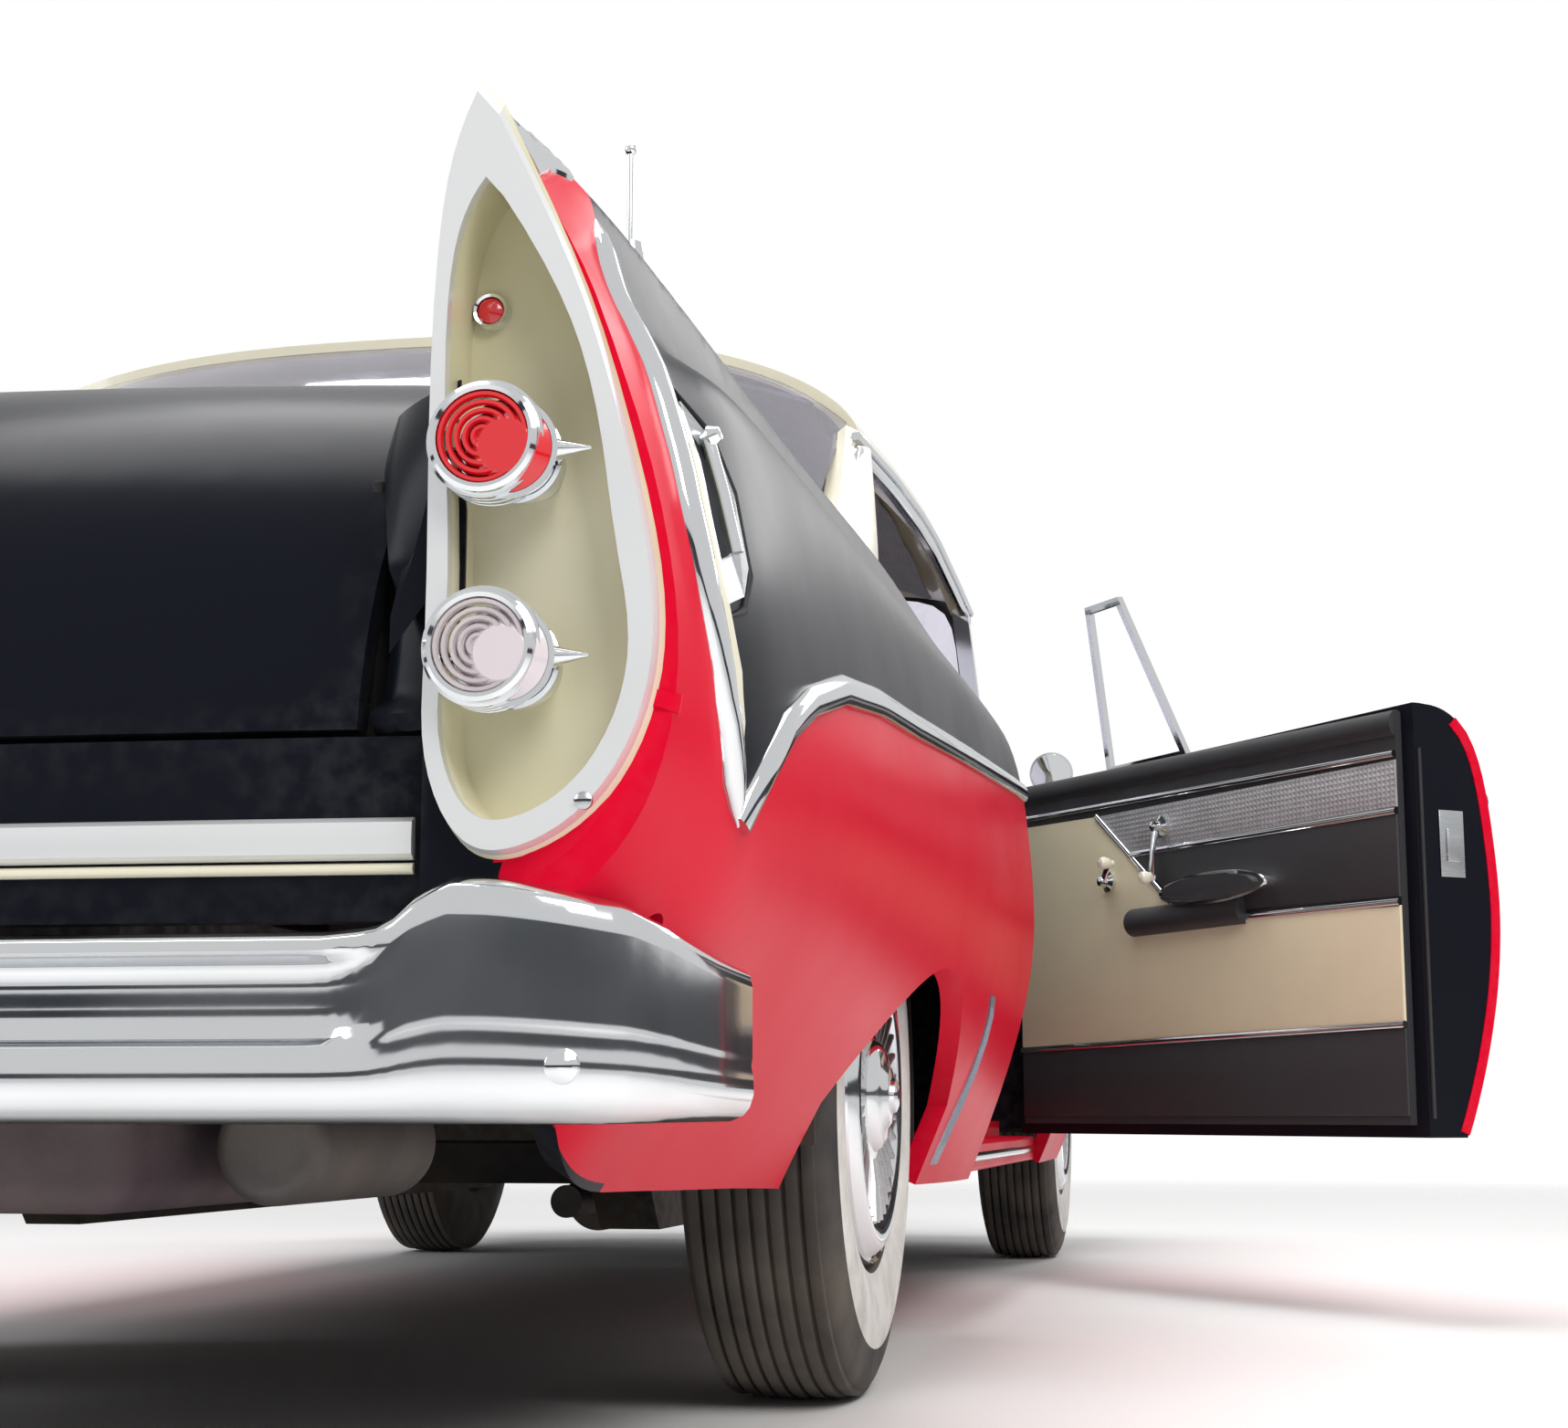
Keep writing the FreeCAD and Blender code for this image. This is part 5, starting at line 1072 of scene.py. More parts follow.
@dataclass
class TailTrim(Assembly):
    """Bright bar across the tail with a cream strip under it that is a painted reflection of the floor, and
    the bumper's bolts.
    """

    bar_height: float = 0.5265
    bar_tall: float = 0.030
    bar_start: float = 0.150
    bar_end: float = 0.706
    bolt: Pair = (0.827, 0.3667)

    def build(self) -> None:
        """Builds the tail's trim."""
        LOG.info("tail trim")
        surface = self.kit.surface("tail_panel")
        for self.side in Side:
            path, normals = [], []
            for x in spread(self.bar_start, self.bar_end, 24):
                hit, normal, _, _ = surface.ray_cast(Vector((x, -3.2, self.bar_height)), AHEAD)
                path.append(hit or Vector((x, -2.885, self.bar_height)))
                normals.append(BACK)
            # The bar's pale finish paints in its bright sheen.
            self.placed("tail_bar", *sweep(path, normals, bar_profile(self.bar_tall, 0.011, crown=0.75)), PAINTED_SHEEN_CHROME)
            # Cream strip under the bar: a painted reflection of the pale floor in the bar's lower face.
            under = [p + DOWN * 0.021 for p in path]
            self.placed("tail_bar_edge", *sweep(under, normals, bar_profile(0.008, 0.006)), CREAM)
            self._bolt()

    def _bolt(self) -> None:
        """Round bolt head on the bumper's end."""
        x, z = self.bolt
        centre = Vector((x, between(BUMPER_PLAN, x) - 0.001, z))
        head = turned([(TIP, 0.006), (0.006, 0.0055), (0.0115, 0.002), (0.0125, -0.003)], 24,
                      Vector((0.12, -1, 0)), centre)
        self.placed("bumper_bolt", *head, CHROME)
        slot = block((x - 0.009, centre.y - 0.0068, z - 0.0007), (x + 0.009, centre.y - 0.0056, z + 0.0008))
        self.placed("bumper_bolt_slot", *slot, SEAL, smooth=None)


@dataclass
class RearBumper(Assembly):
    """Rear bumper bar with its sunk middle and its tall, rounded end pods."""

    low: float = 0.3285
    thick: float = 0.0035
    groove: float = 0.017
    groove_end: Pair = (0.655, 0.045)

    def build(self) -> None:
        """Builds the bar over its whole width."""
        LOG.info("rear bumper")
        half = [row[0] for row in BUMPER_PLAN[1:]]
        stations = [half[0] * i / 8 for i in range(9)]
        for first, second in zip(half, half[1:]):
            steps = max(int((second - first) / 0.012), 3)
            stations += [first + (second - first) * i / steps for i in range(1, steps + 1)]
        grid, normals = [], []
        for side in (-1, 1):
            order = reversed(stations[1:]) if side < 0 else stations
            for x in order:
                near, far = x - 0.0015, min(x + 0.0015, half[-1])
                ahead = (between(BUMPER_PLAN, far) - between(BUMPER_PLAN, near)) / 0.003
                out = Vector((ahead, -1.0, 0.0)).normalized()
                line, ways = [], []
                for share, sunk in self._section(x):
                    top = between(BUMPER_TOP, x)
                    point = Vector((x, between(BUMPER_PLAN, x),
                                    self.low + (top - self.low) * share)) - out * sunk
                    line.append(Vector((point.x * side, point.y, point.z)))
                    ways.append(Vector((-out.x * side, -out.y, 0.0)))
                grid.append(line)
                normals.append(ways)
        made = self.kit.mesh("rear_bumper_bar", *sheet_of(grid, normals, self.thick), CHROME)
        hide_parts("rear_bumper")

    def _section(self, x: float) -> Table:
        """Upright section at a place across, as (share of the height, how far it is sunk).

        Args:
            x: The place.

        Returns:
            Rows of the section.
        """
        start, run = self.groove_end
        groove = self.groove * (1.0 - min(max((x - start) / run, 0.0), 1.0)) ** 1.5
        middle = [(share, deep * groove + 0.001) for share, deep in BUMPER_GROOVE]
        return BUMPER_FOOT + middle + BUMPER_HEAD


@dataclass
class TailCorner(Assembly):
    """Painted end walls: below the lamp bezel, and between it and the trunk lid."""

    middle: Pair = (0.810, 0.640)
    seam: float = 0.7706
    far: float = -2.868
    foot: float = 0.440
    inner: float = 0.716
    wall: Pair = (0.6035, 0.8565)

    def build(self) -> None:
        """Builds both walls on both sides."""
        LOG.info("tail corner")
        for self.side in Side:
            self._below()
            self._beside()

    def _below(self) -> None:
        """The wall between the bezel's foot and the quarter panel's end."""
        bezel = self.kit.surface("lamp_bezels")
        quarter = self.kit.surface("quarter_panel_right")
        centre = Vector((self.middle[0], -2.900, self.middle[1]))
        grid, normals = [], []
        for angle in spread(-172, -12, 60):
            way = swung(angle, OUT, UP)
            hit = bezel.ray_cast(centre + way * 0.4, -way)[0]
            if not hit:
                continue
            inner = hit - way * 0.003
            reach = min(abs((hit.z - self.foot) / way.z) if way.z < -0.05 else 1.0,
                        abs((hit.x - self.inner) / way.x) if way.x < -0.05 else 1.0)
            edge = quarter.ray_cast(hit + way * 0.002, way)[0]
            if edge and (edge - hit).length < reach:
                reach = (edge - hit).length + 0.004
            outer = hit + way * min(reach, 0.12)
            grid.append([inner.lerp(outer, share) + BACK * (0.0035 * math.sin(math.pi * share))
                         for share in spread(0, 1, 5)])
            normals.append([AHEAD] * 5)
        made = self.placed("tail_corner", *sheet_of(grid, normals, 0.003), RED)
        made.data.materials.append(self.kit.paints.material(BLACK))
        for face in made.data.polygons:
            if abs(face.center.x) < self.seam:
                face.material_index = 1

    def _beside(self) -> None:
        """The wall between the lid's edge and the bezel."""
        skin = self.kit.surface("trunk_lid")
        grid, normals = [], []
        for z in spread(*self.wall, 22):
            left, right = between(LID_EDGE, z), between(RIM_EDGE, z)
            hit = skin.ray_cast(Vector((left - 0.012, -4.0, z)), AHEAD)[0]
            near = hit.y - 0.005 if hit else self.far
            grid.append([Vector((left + (right - left) * share,
                                 near + (self.far - 0.026 - near) * share ** 0.7, z))
                         for share in spread(0, 1, 9)])
            normals.append([AHEAD] * 9)
        self.placed("tail_shoulder", *sheet_of(grid, normals, 0.003), BLACK)


@dataclass
class Wheels(Assembly):
    """Ribbed whitewall tyres and finned wheel covers."""

    track: float = 0.740
    half_width: float = 0.0925
    radius: float = 0.3585
    bead: float = 0.200
    white: Pair = (0.212, 0.300)
    steps: int = 96
    fins: int = 36
    dish: tuple = ((TIP, 0.020), (0.012, 0.0195), (0.020, 0.016), (0.022, 0.011), (0.034, 0.0095),
                   (0.040, 0.005), (0.052, 0.003), (0.062, -0.002), (0.068, -0.010), (0.100, -0.016),
                   (0.140, -0.014), (0.158, -0.006), (0.170, -0.001), (0.182, -0.003), (0.190, -0.012),
                   (0.196, -0.016), (0.200, -0.012), (0.203, -0.020))
    fin: tuple = ((0.070, -0.012, 0.0030), (0.105, -0.0075, 0.0042), (0.152, -0.0050, 0.0060))

    def build(self) -> None:
        """Builds the four wheels' looks."""
        LOG.info("wheels")
        for self.side in Side:
            for end, place in (("front", AXLE), ("rear", -AXLE)):
                self._tyre(end, place)
                self._cover(end, place)

    def _tyre(self, end: str, place: float) -> None:
        """One tyre with eight ribs and a white outer wall.

        Args:
            end: "front" or "rear".
            place: The axle's place along the car.
        """
        half, radius = self.half_width, self.radius
        outer = [(self.bead, half * 0.62), (self.bead + 0.006, half * 0.80), (self.white[0], half * 0.905),
                 (self.white[0] + 0.002, half * 0.915), (0.250, half * 0.985), (0.275, half),
                 (self.white[1], half * 0.975), (self.white[1] + 0.002, half * 0.965),
                 (0.318, half * 0.93), (0.334, half * 0.885), (0.345, half * 0.83)]
        tread = []
        edges = spread(half * 0.80, -half * 0.80, 9)
        for high, low in zip(edges, edges[1:]):
            crown = radius - 0.010 * abs((high + low) / 2 / half) ** 2.4
            lip = (high - low) * 0.14
            tread += [(crown - 0.007, high - lip * 0.6), (crown - 0.0008, high - lip),
                      (crown, high - lip * 1.8), (crown, low + lip * 1.8), (crown - 0.0008, low + lip),
                      (crown - 0.007, low + lip * 0.6)]
        inner = [(r, -x) for r, x in reversed(outer)]
        centre = Vector((self.track, place, HUB_HEIGHT))
        verts, faces = turned(outer + tread + inner, self.steps, OUT, centre)
        made = self.placed(f"tyre_detail_{end}", verts, faces, RUBBER, "wheel_" + end)
        made.data.materials.append(self.kit.paints.material(WHITE))
        low, high = self.white
        for face in made.data.polygons:
            middle = face.center
            away = math.hypot(middle.y - place, middle.z - HUB_HEIGHT)
            if low < away < high and abs(middle.x) > self.track:
                face.material_index = 1
        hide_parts(f"tyre_{end}_{self.side.word}")

    def _cover(self, end: str, place: float) -> None:
        """One wheel cover with a stepped centre and radial fins.

        Args:
            end: "front" or "rear".
            place: The axle's place along the car.
        """
        part = "wheel_" + end
        centre = Vector((self.track, place, HUB_HEIGHT))
        self.kit.paint(self.kit.nodes[f"wheel_{end}_{self.side.word}"], CHROME)
        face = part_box(f"wheel_{end}_right")[1].x - self.track
        dish = [(radius, face + lift) for radius, lift in self.dish]
        self.placed(f"wheel_cover_{end}", *turned(dish, self.steps, OUT, centre), CHROME, part)
        fins = []
        for index in range(self.fins):
            angle = math.tau * index / self.fins
            out = Vector((0, math.cos(angle), math.sin(angle)))
            across = Vector((0, -math.sin(angle), math.cos(angle)))
            points = []
            for radius, lift, wide in self.fin:
                base = centre + out * radius + OUT * (face + lift)
                points += [base - across * wide - OUT * 0.009, base - across * wide * 0.4,
                           base + across * wide * 0.4, base + across * wide - OUT * 0.009]
            loops = [[r * 4 + c, r * 4 + c + 1, r * 4 + c + 5, r * 4 + c + 4] for r in range(2)
                     for c in range(3)]
            loops += [[0, 1, 2, 3], [11, 10, 9, 8], [0, 3, 7, 4], [4, 7, 11, 8]]
            fins.append((points, loops))
        self.placed(f"wheel_fins_{end}", *joined(*fins), SATIN, part)


@dataclass
class Glazing(Assembly):
    """Window surrounds, drip rails, headliner and the side windows' bright frames."""

    rail_x: tuple = ((-1.09, 0.730), (-0.4, 0.738), (0.48, 0.728))
    rail_z: tuple = ((-1.09, 1.319), (-0.7, 1.352), (-0.15, 1.377), (0.2, 1.373), (0.48, 1.366))
    pillar: Triple = (0.735, -1.093, 1.035)
    rim_angle: float = 50.0
    rim_points: int = 160

    def build(self) -> None:
        """Builds the greenhouse's trim."""
        LOG.info("glazing")
        for name, thin in (("rear_window", 0.010), ("windscreen", 0.008)):
            self._surround(name, thin)
        for self.side in Side:
            self._side_frame()
        self._headliner()

    def _surround(self, name: str, thick: float) -> None:
        """Seal and bright moulding round a glass, along its outer face's rim.

        Args:
            name: The glass's node.
            thick: Height of the moulding.
        """
        mesh = self.kit.nodes[name].data
        shape = bmesh.new()
        shape.from_mesh(mesh)
        bmesh.ops.remove_doubles(shape, verts=shape.verts, dist=1e-5)
        rim = [e for e in shape.edges if len(e.link_faces) == 2
               and e.calc_face_angle(0.0) > math.radians(self.rim_angle)]
        links: dict[int, list] = {}
        shape.verts.index_update()
        for e in rim:
            for v, w in (e.verts, reversed(e.verts)):
                links.setdefault(v.index, []).append(w.index)
        shape.verts.ensure_lookup_table()
        loops, seen = [], set()
        for start in links:
            if start in seen:
                continue
            loop, here, before = [start], links[start][0], start
            seen.add(start)
            while here != start and here not in seen:
                loop.append(here)
                seen.add(here)
                ahead = [n for n in links[here] if n != before and (n not in seen or n == start)]
                if not ahead:
                    break
                before, here = here, ahead[0]
            loops.append([shape.verts[i].co.copy() for i in loop])
        shape.free()
        loops = [loop for loop in loops if len(loop) > 12]
        LOG.info("%s rim loops: %s", name, [len(loop) for loop in loops])
        if not loops:
            return
        sign = 1 if name == "windscreen" else -1
        loop = max(loops, key=lambda points: (sum(p.y * sign for p in points) / len(points), len(points)))
        loop = self._even(loop, self.rim_points)
        middle = Vector((0, 0.25 if sign > 0 else -1.0, 1.15))
        normals = [(p - middle).normalized() for p in loop]
        seal = [(-0.014, -0.004), (-0.014, 0.004), (0.0, 0.006), (0.014, 0.004), (0.014, -0.004)]
        self.kit.mesh(name + "_seal", *sweep(loop, normals, seal, closed=True), SEAL)
        ring = [p + n * 0.004 for p, n in zip(loop, normals)]
        way = -1 if self._outward(ring, normals) else 1
        steps = ((0.018, 0.0), (0.016, 0.6), (0.010, 0.8), (0.006, 0.5), (0.006, 0.0))
        verts, faces = sweep(ring, normals, [(way * across, thick * lift) for across, lift in steps],
                             closed=True)
        self.kit.mesh(name + "_moulding", verts, faces, CHROME)

    @staticmethod
    def _outward(loop: Points, normals: Points) -> bool:
        """Whether the sweep's minus side points away from the glass's middle.

        Args:
            loop: Points of the loop.
            normals: The glass's normal at each.

        Returns:
            True where it does.
        """
        middle = sum(loop, Vector()) / len(loop)
        score = 0.0
        for index in range(len(loop)):
            along = loop[(index + 1) % len(loop)] - loop[index - 1]
            across = along.normalized().cross(normals[index])
            score += across.dot(loop[index] - middle)
        return score < 0

    @staticmethod
    def _even(loop: Points, count: int) -> Points:
        """A closed loop's points spaced evenly and eased.

        Args:
            loop: The points.
            count: How many points to give back.

        Returns:
            The points.
        """
        lengths = [0.0]
        closed = loop + [loop[0]]
        for a, b in zip(closed, closed[1:]):
            lengths.append(lengths[-1] + (b - a).length)
        points = []
        index = 0
        for target in [lengths[-1] * i / count for i in range(count)]:
            while lengths[index + 1] < target:
                index += 1
            share = (target - lengths[index]) / max(lengths[index + 1] - lengths[index], 1e-9)
            points.append(closed[index].lerp(closed[index + 1], share))
        for _ in range(3):
            points = [(points[i - 1] + points[i] * 2 + points[(i + 1) % count]) / 4 for i in range(count)]
        return points

    def _side_frame(self) -> None:
        """Bright frame along the roof's side and down the rear pillar, and the drip rail above it."""
        x, rear, low = self.pillar
        upright = [Vector((x, rear, z)) for z in spread(low, 1.255, 6)]
        corner = [Vector((x - 0.001, rear + 0.055 * (1 - math.cos(a)), 1.262 + 0.045 * math.sin(a)))
                  for a in spread(0.15, math.pi / 2, 6)]
        along = [Vector((between(self.rail_x, y), y, between(self.rail_z, y) - 0.014))
                 for y in spread(-1.0, 0.46, 18)]
        path = upright + corner + along
        verts, faces = sweep(path, [OUT] * len(path), bar_profile(0.020, 0.010, sink=0.006, crown=0.7))
        self.placed("window_channel", verts, faces, CHROME)
        rail = [Vector((between(self.rail_x, y) + 0.004, y, between(self.rail_z, y) + 0.003))
                for y in spread(-1.07, 0.47, 30)]
        gutter = [(-0.006, -0.004), (-0.006, 0.008), (0.0, 0.011), (0.006, 0.008), (0.006, -0.004)]
        self.placed("drip_rail", *sweep(rail, [OUT] * 30, gutter), CHROME)
        plate = block((0.727, -1.118, 1.130), (0.744, -1.098, 1.215), 0.003)
        self.placed("pillar_vent", *plate, SATIN)
        slots = [block((0.7435, -1.114, z), (0.7450, -1.102, z + 0.006)) for z in spread(1.140, 1.196, 4)]
        self.placed("pillar_vent_slots", *joined(*slots), SEAL, smooth=None)

    def _headliner(self) -> None:
        """Cloth lining under the roof, with its bows."""
        surface = self.kit.surface("roof_panel")
        grid, normals = [], []
        for y in spread(-1.02, 0.42, 25):
            line = []
            for x in spread(-0.66, 0.66, 21):
                hit = surface.ray_cast(Vector((x, y, 1.1)), UP)[0]
                bow = 0.004 * math.cos((y + 1.02) / 0.29 * math.tau)
                line.append(Vector((x, y, (hit.z if hit else 1.40) - 0.016 + bow)))
            grid.append(line)
            normals.append([UP] * 21)
        self.kit.mesh("headliner", *sheet_of(grid, normals, 0.006), GREY_CLOTH)


@dataclass
class Doors(Assembly):
    """Inner faces of the doors: coloured fields, mesh band, bright strips, armrest and cranks."""

    face: float = 0.7734
    front: float = 0.646
    rear: float = -0.553
    rest: Pair = (-0.061, 0.7425)
    rest_size: Pair = (0.165, 0.029)
    handle: Pair = (-0.47, 0.815)
    button: Pair = (-0.375, 0.815)
    cranks: tuple = (("window_crank", (0.118, 0.873), (0.128, 0.777)),
                     ("vent_crank", (0.304, 0.785), (0.267, 0.817)))

    def build(self) -> None:
        """Builds both doors' inner panels and handles."""
        LOG.info("doors")
        for self.side in Side:
            self._panels()
            self._strips()
            self._armrest()
            self._cranks()
            self._outer_handle()
            self._hem()
            self._edge()

    def _panel(self, name: str, points: Table, thick: float, finish: Finish) -> None:
        """A flat inlay on the inner face, from its outline in (y, z).

        Args:
            name: The piece's name.
            points: The outline.
            thick: How far it stands inwards.
            finish: Its finish.
        """
        count = len(points)
        low = [Vector((self.face + 0.001, y, z)) for y, z in points]
        high = [Vector((self.face - thick, y, z)) for y, z in points]
        shape = bmesh.new()
        verts = [shape.verts.new(v) for v in low + high]
        shape.faces.new(verts[:count])
        shape.faces.new(verts[count:][::-1])
        for i in range(count):
            shape.faces.new([verts[i], verts[(i + 1) % count], verts[count + (i + 1) % count],
                             verts[count + i]])
        edges = [e for e in shape.edges if all(v.co.x < self.face for v in e.verts)]
        bmesh.ops.bevel(shape, geom=edges, offset=min(0.003, thick * 0.6), segments=2, profile=0.5,
                        affect="EDGES")
        shape.verts.index_update()
        result = [v.co.copy() for v in shape.verts], [[v.index for v in f.verts] for f in shape.faces]
        shape.free()
        self.placed(name, *result, finish, "door", 30)

    def _panels(self) -> None:
        """The coloured fields."""
        f, r = self.front, self.rear
        self._panel("door_mesh_band", [(r, 0.836), (0.236, 0.838), (0.342, 0.918), (r, 0.914)], 0.004,
                    SILVER_MESH)
        self._panel("door_upper_field", [(r, 0.688), (0.044, 0.702), (0.222, 0.828), (r, 0.824)], 0.005,
                    DARK_VINYL)
        self._panel("door_lower_field", [(r, 0.486), (f, 0.474), (f, 0.925), (0.358, 0.918), (0.058, 0.690),
                                         (r, 0.674)],
                    0.005, VINYL)
        self._panel("door_kick_field", [(r, 0.335), (f, 0.335), (f, 0.462), (r, 0.475)], 0.004, DARK_VINYL)

    def _strips(self) -> None:
        """Bright strips between the fields."""
        lines = {"door_strip_high": [(self.rear, 0.829), (0.230, 0.832)],
                 "door_strip_top": [(self.rear, 0.924), (self.front, 0.942)],
                 "door_strip_bend": [(self.rear, 0.680), (0.020, 0.688), (0.060, 0.698), (0.350, 0.918)],
                 "door_strip_low": [(self.rear, 0.481), (self.front, 0.468)]}
        for name, line in lines.items():
            path = []
            for (y0, z0), (y1, z1) in zip(line, line[1:]):
                path += [Vector((self.face - 0.003, y0 + (y1 - y0) * s, z0 + (z1 - z0) * s))
                         for s in (0.0, 0.25, 0.5, 0.75)]
            path.append(Vector((self.face - 0.003, *line[-1])))
            self.placed(name, *sweep(path, [INWARD] * len(path), bar_profile(0.012, 0.006)), CHROME, "door")
        roll = [Vector((self.face + 0.004, y, 0.975 + 0.012 * (y - self.rear)))
                for y in spread(self.rear, self.front, 16)]
        verts, faces = sweep(roll, [INWARD] * 16, round_profile(0.014, 14, 1.6, 1.15))
        self.placed("door_top_roll", verts, faces, DARK_VINYL, "door")

    def _armrest(self) -> None:
        """Long oval armrest with a bright edge."""
        y, z = self.rest
        for name, finish, grow, reach in (("armrest_base", CHROME, 1.0, 0.030),
                                          ("armrest_pad", DARK_VINYL, 0.86, 0.040)):
            long, high = self.rest_size[0] * grow, self.rest_size[1] * (grow if grow == 1.0 else 0.74)
            oval = [(y + long * math.cos(angle), z + high * math.sin(angle))
                    for angle in spread(0.0, math.tau, 49)[:-1]]
            self._panel(name, oval, reach, finish)

    def _cranks(self) -> None:
        """Window crank and vent crank."""
        for name, hub, knob in self.cranks:
            start = Vector((self.face - 0.006, *hub))
            end = Vector((self.face - 0.028, *knob))
            rose = turned([(0.022, -0.002), (0.021, 0.006), (0.012, 0.012), (0.009, 0.024), (TIP, 0.026)], 28,
                          INWARD, start)
            arm = sweep([start + INWARD * 0.016, (start + end) / 2 + INWARD * 0.010, end], [INWARD] * 3,
                        round_profile(0.0075, 12, 1.0, 0.6))
            self.placed(name, *joined(rose, arm), CHROME, "door")
            grip = turned([(TIP, 0.026), (0.009, 0.024), (0.0125, 0.016), (0.010, 0.004), (0.006, 0.0),
                           (0.006, -0.006)], 24,
                          INWARD, end)
            self.placed(name + "_knob", *grip, IVORY, "door")

    def _outer_handle(self) -> None:
        """Outside door handle with its push button."""
        point, normal = self.kit.skin(*self.handle)
        steps = ((-0.085, 0.002), (-0.075, 0.018), (-0.050, 0.026), (0.0, 0.028), (0.050, 0.026),
                 (0.072, 0.018), (0.082, 0.002))
        path = [point + normal * lift + AHEAD * shift for shift, lift in steps]
        verts, faces = sweep(path, [normal] * len(path), round_profile(0.0085, 12, 1.3, 0.7))
        self.placed("door_handle", verts, faces, CHROME, "door")
        button = turned([(0.012, -0.003), (0.0118, 0.010), (0.010, 0.014), (TIP, 0.015)], 24, normal,
                        self.kit.skin(*self.button)[0])
        self.placed("door_button", *button, CHROME, "door")

    def _hem(self) -> None:
        """Red outer skin folded round the door's rear and lower edges."""
        path, normals = [], []
        down = [(-0.5830, z) for z in spread(0.985, 0.306, 30)]
        for y, z in down + [(y, 0.3035) for y in spread(-0.57, 0.665, 30)]:
            point, normal = self.kit.skin(max(y, -0.5775), max(z, 0.306))
            path.append(Vector((point.x, y, z)) - normal * 0.003)
            normals.append(normal)
        fold = [(-0.0035, -0.014), (-0.0035, 0.004), (0.0030, 0.0045), (0.0030, -0.014)]
        self.placed("door_hem", *sweep(path, normals, fold), RED, "door")

    def _edge(self) -> None:
        """Latch and seal on the door's rear edge."""
        latch = block((0.830, -0.5865, 0.720), (0.880, -0.5842, 0.830), 0.001)
        claw = block((0.842, -0.5905, 0.745), (0.868, -0.586, 0.800), 0.0015)
        self.placed("door_latch", *joined(latch, claw), SATIN, "door")
        path = [Vector((0.795, -0.5850, z)) for z in spread(0.33, 0.93, 20)]
        self.placed("door_seal", *sweep(path, [BACK] * 20, round_profile(0.0035, 8)), SEAL, "door")


@dataclass
class Shell(Assembly):
    """Inner walls, pillars, wheel housings and carpet that close the body."""

    hinge_pillar: Pair = (0.690, 0.715)
    lock_pillar: Pair = (-0.622, -0.597)
    pillar_top: float = 0.945
    pillar_inner: float = 0.712
    rear_liner: Triple = (0.395, 0.615, 0.822)
    front_radius: float = 0.430
    front_outer: float = 0.800
    apron: float = 0.456
    apron_foot: float = 0.450

    def build(self) -> None:
        """Builds the inner body."""
        LOG.info("inner shell")
        for self.side in Side:
            self._pillar("hinge_pillar", *self.hinge_pillar)
            self._pillar("lock_pillar", *self.lock_pillar)
            self._liner("rear", -AXLE, *self.rear_liner)
            self._liner("front", AXLE, self.front_radius, self.apron, self.front_outer)
            self._apron(self.front_radius)
            wall = block((0.716, -1.28, 0.33), (0.726, -0.625, 0.955), 0.003)
            self.placed("rear_side_trim", *wall, VINYL)
            strip = block((0.712, -1.27, 0.800), (0.717, -0.630, 0.812), 0.002)
            self.placed("rear_side_strip", *strip, CHROME)
            kick = block((0.700, 0.560, 0.335), (0.708, 0.880, 0.90), 0.003)
            self.placed("kick_panel", *kick, DARK_VINYL)
        walls = [block((x - 0.004, -2.84, 0.50), (x + 0.004, -1.90, 0.800), 0.002) for x in (-0.655, 0.655)]
        wall = joined(block((-0.700, -1.172, 0.335), (0.700, -1.160, 0.985), 0.003), *walls)
        self.kit.mesh("luggage_walls", *wall, UNDERSEAL)
        carpet = joined(*[block((-0.69, rear, 0.3246), (0.69, front, 0.333), 0.003)
                          for rear, front in ((0.02, 0.66), (-0.98, -0.47))])
        self.kit.mesh("carpet", *carpet, CARPET)

    def _pillar(self, name: str, rear: float, front: float) -> None:
        """A closed pillar between the inner wall and the outer skin.

        Args:
            name: The piece's name.
            rear: Its rear face.
            front: Its front face.
        """
        rows = []
        for z in spread(0.31, self.pillar_top, 14):
            point = self.kit.skin((rear + front) / 2 + (0.03 if rear > 0 else -0.03), z)[0]
            inner, outer = self.pillar_inner, point.x - 0.030
            corners = ((inner, rear), (outer, rear), (outer, front), (inner, front))
            rows.append([Vector((x, y, z)) for x, y in corners])
        verts = [p for row in rows for p in row]
        faces = [[r * 4 + c, r * 4 + (c + 1) % 4, (r + 1) * 4 + (c + 1) % 4, (r + 1) * 4 + c]
                 for r in range(13) for c in range(4)]
        faces += [[0, 1, 2, 3], [55, 54, 53, 52]]
        self.placed(name, verts, faces, BLACK, smooth=30)

    def _liner(self, end: str, place: float, radius: float, inner: float, outer: float) -> None:
        """Arched wheel housing, open to the wheel.

        Args:
            end: "front" or "rear".
            place: The axle's place along the car.
            radius: Radius of the arch.
            inner: Its inner edge.
            outer: Its outer edge.
        """
        grid, normals = [], []
        for angle in spread(-8, 188, 30):
            way = swung(angle, AHEAD, UP)
            at = Vector((0, place, HUB_HEIGHT)) + way * radius
            grid.append([Vector((x, at.y, at.z)) for x in spread(inner, outer, 5)])
            normals.append([way] * 5)
        arch = sheet_of(grid, normals, 0.004)
        self.placed("wheel_housing_" + end, *arch, UNDERSEAL)

    def _apron(self, radius: float) -> None:
        """Wall between a front wheel and the engine bay, past the steered tyre's reach.

        Args:
            radius: Radius of the housing beside it.
        """
        grid, normals = [], []
        for place in spread(-0.99 * radius, 0.99 * radius, 24):
            top = HUB_HEIGHT + max(math.sqrt(radius ** 2 - place ** 2), self.apron_foot + 0.01 - HUB_HEIGHT)
            grid.append([Vector((self.apron, AXLE + place, z)) for z in spread(self.apron_foot, top, 8)])
            normals.append([OUT] * 8)
        self.placed("engine_apron", *sheet_of(grid, normals, 0.004), UNDERSEAL)


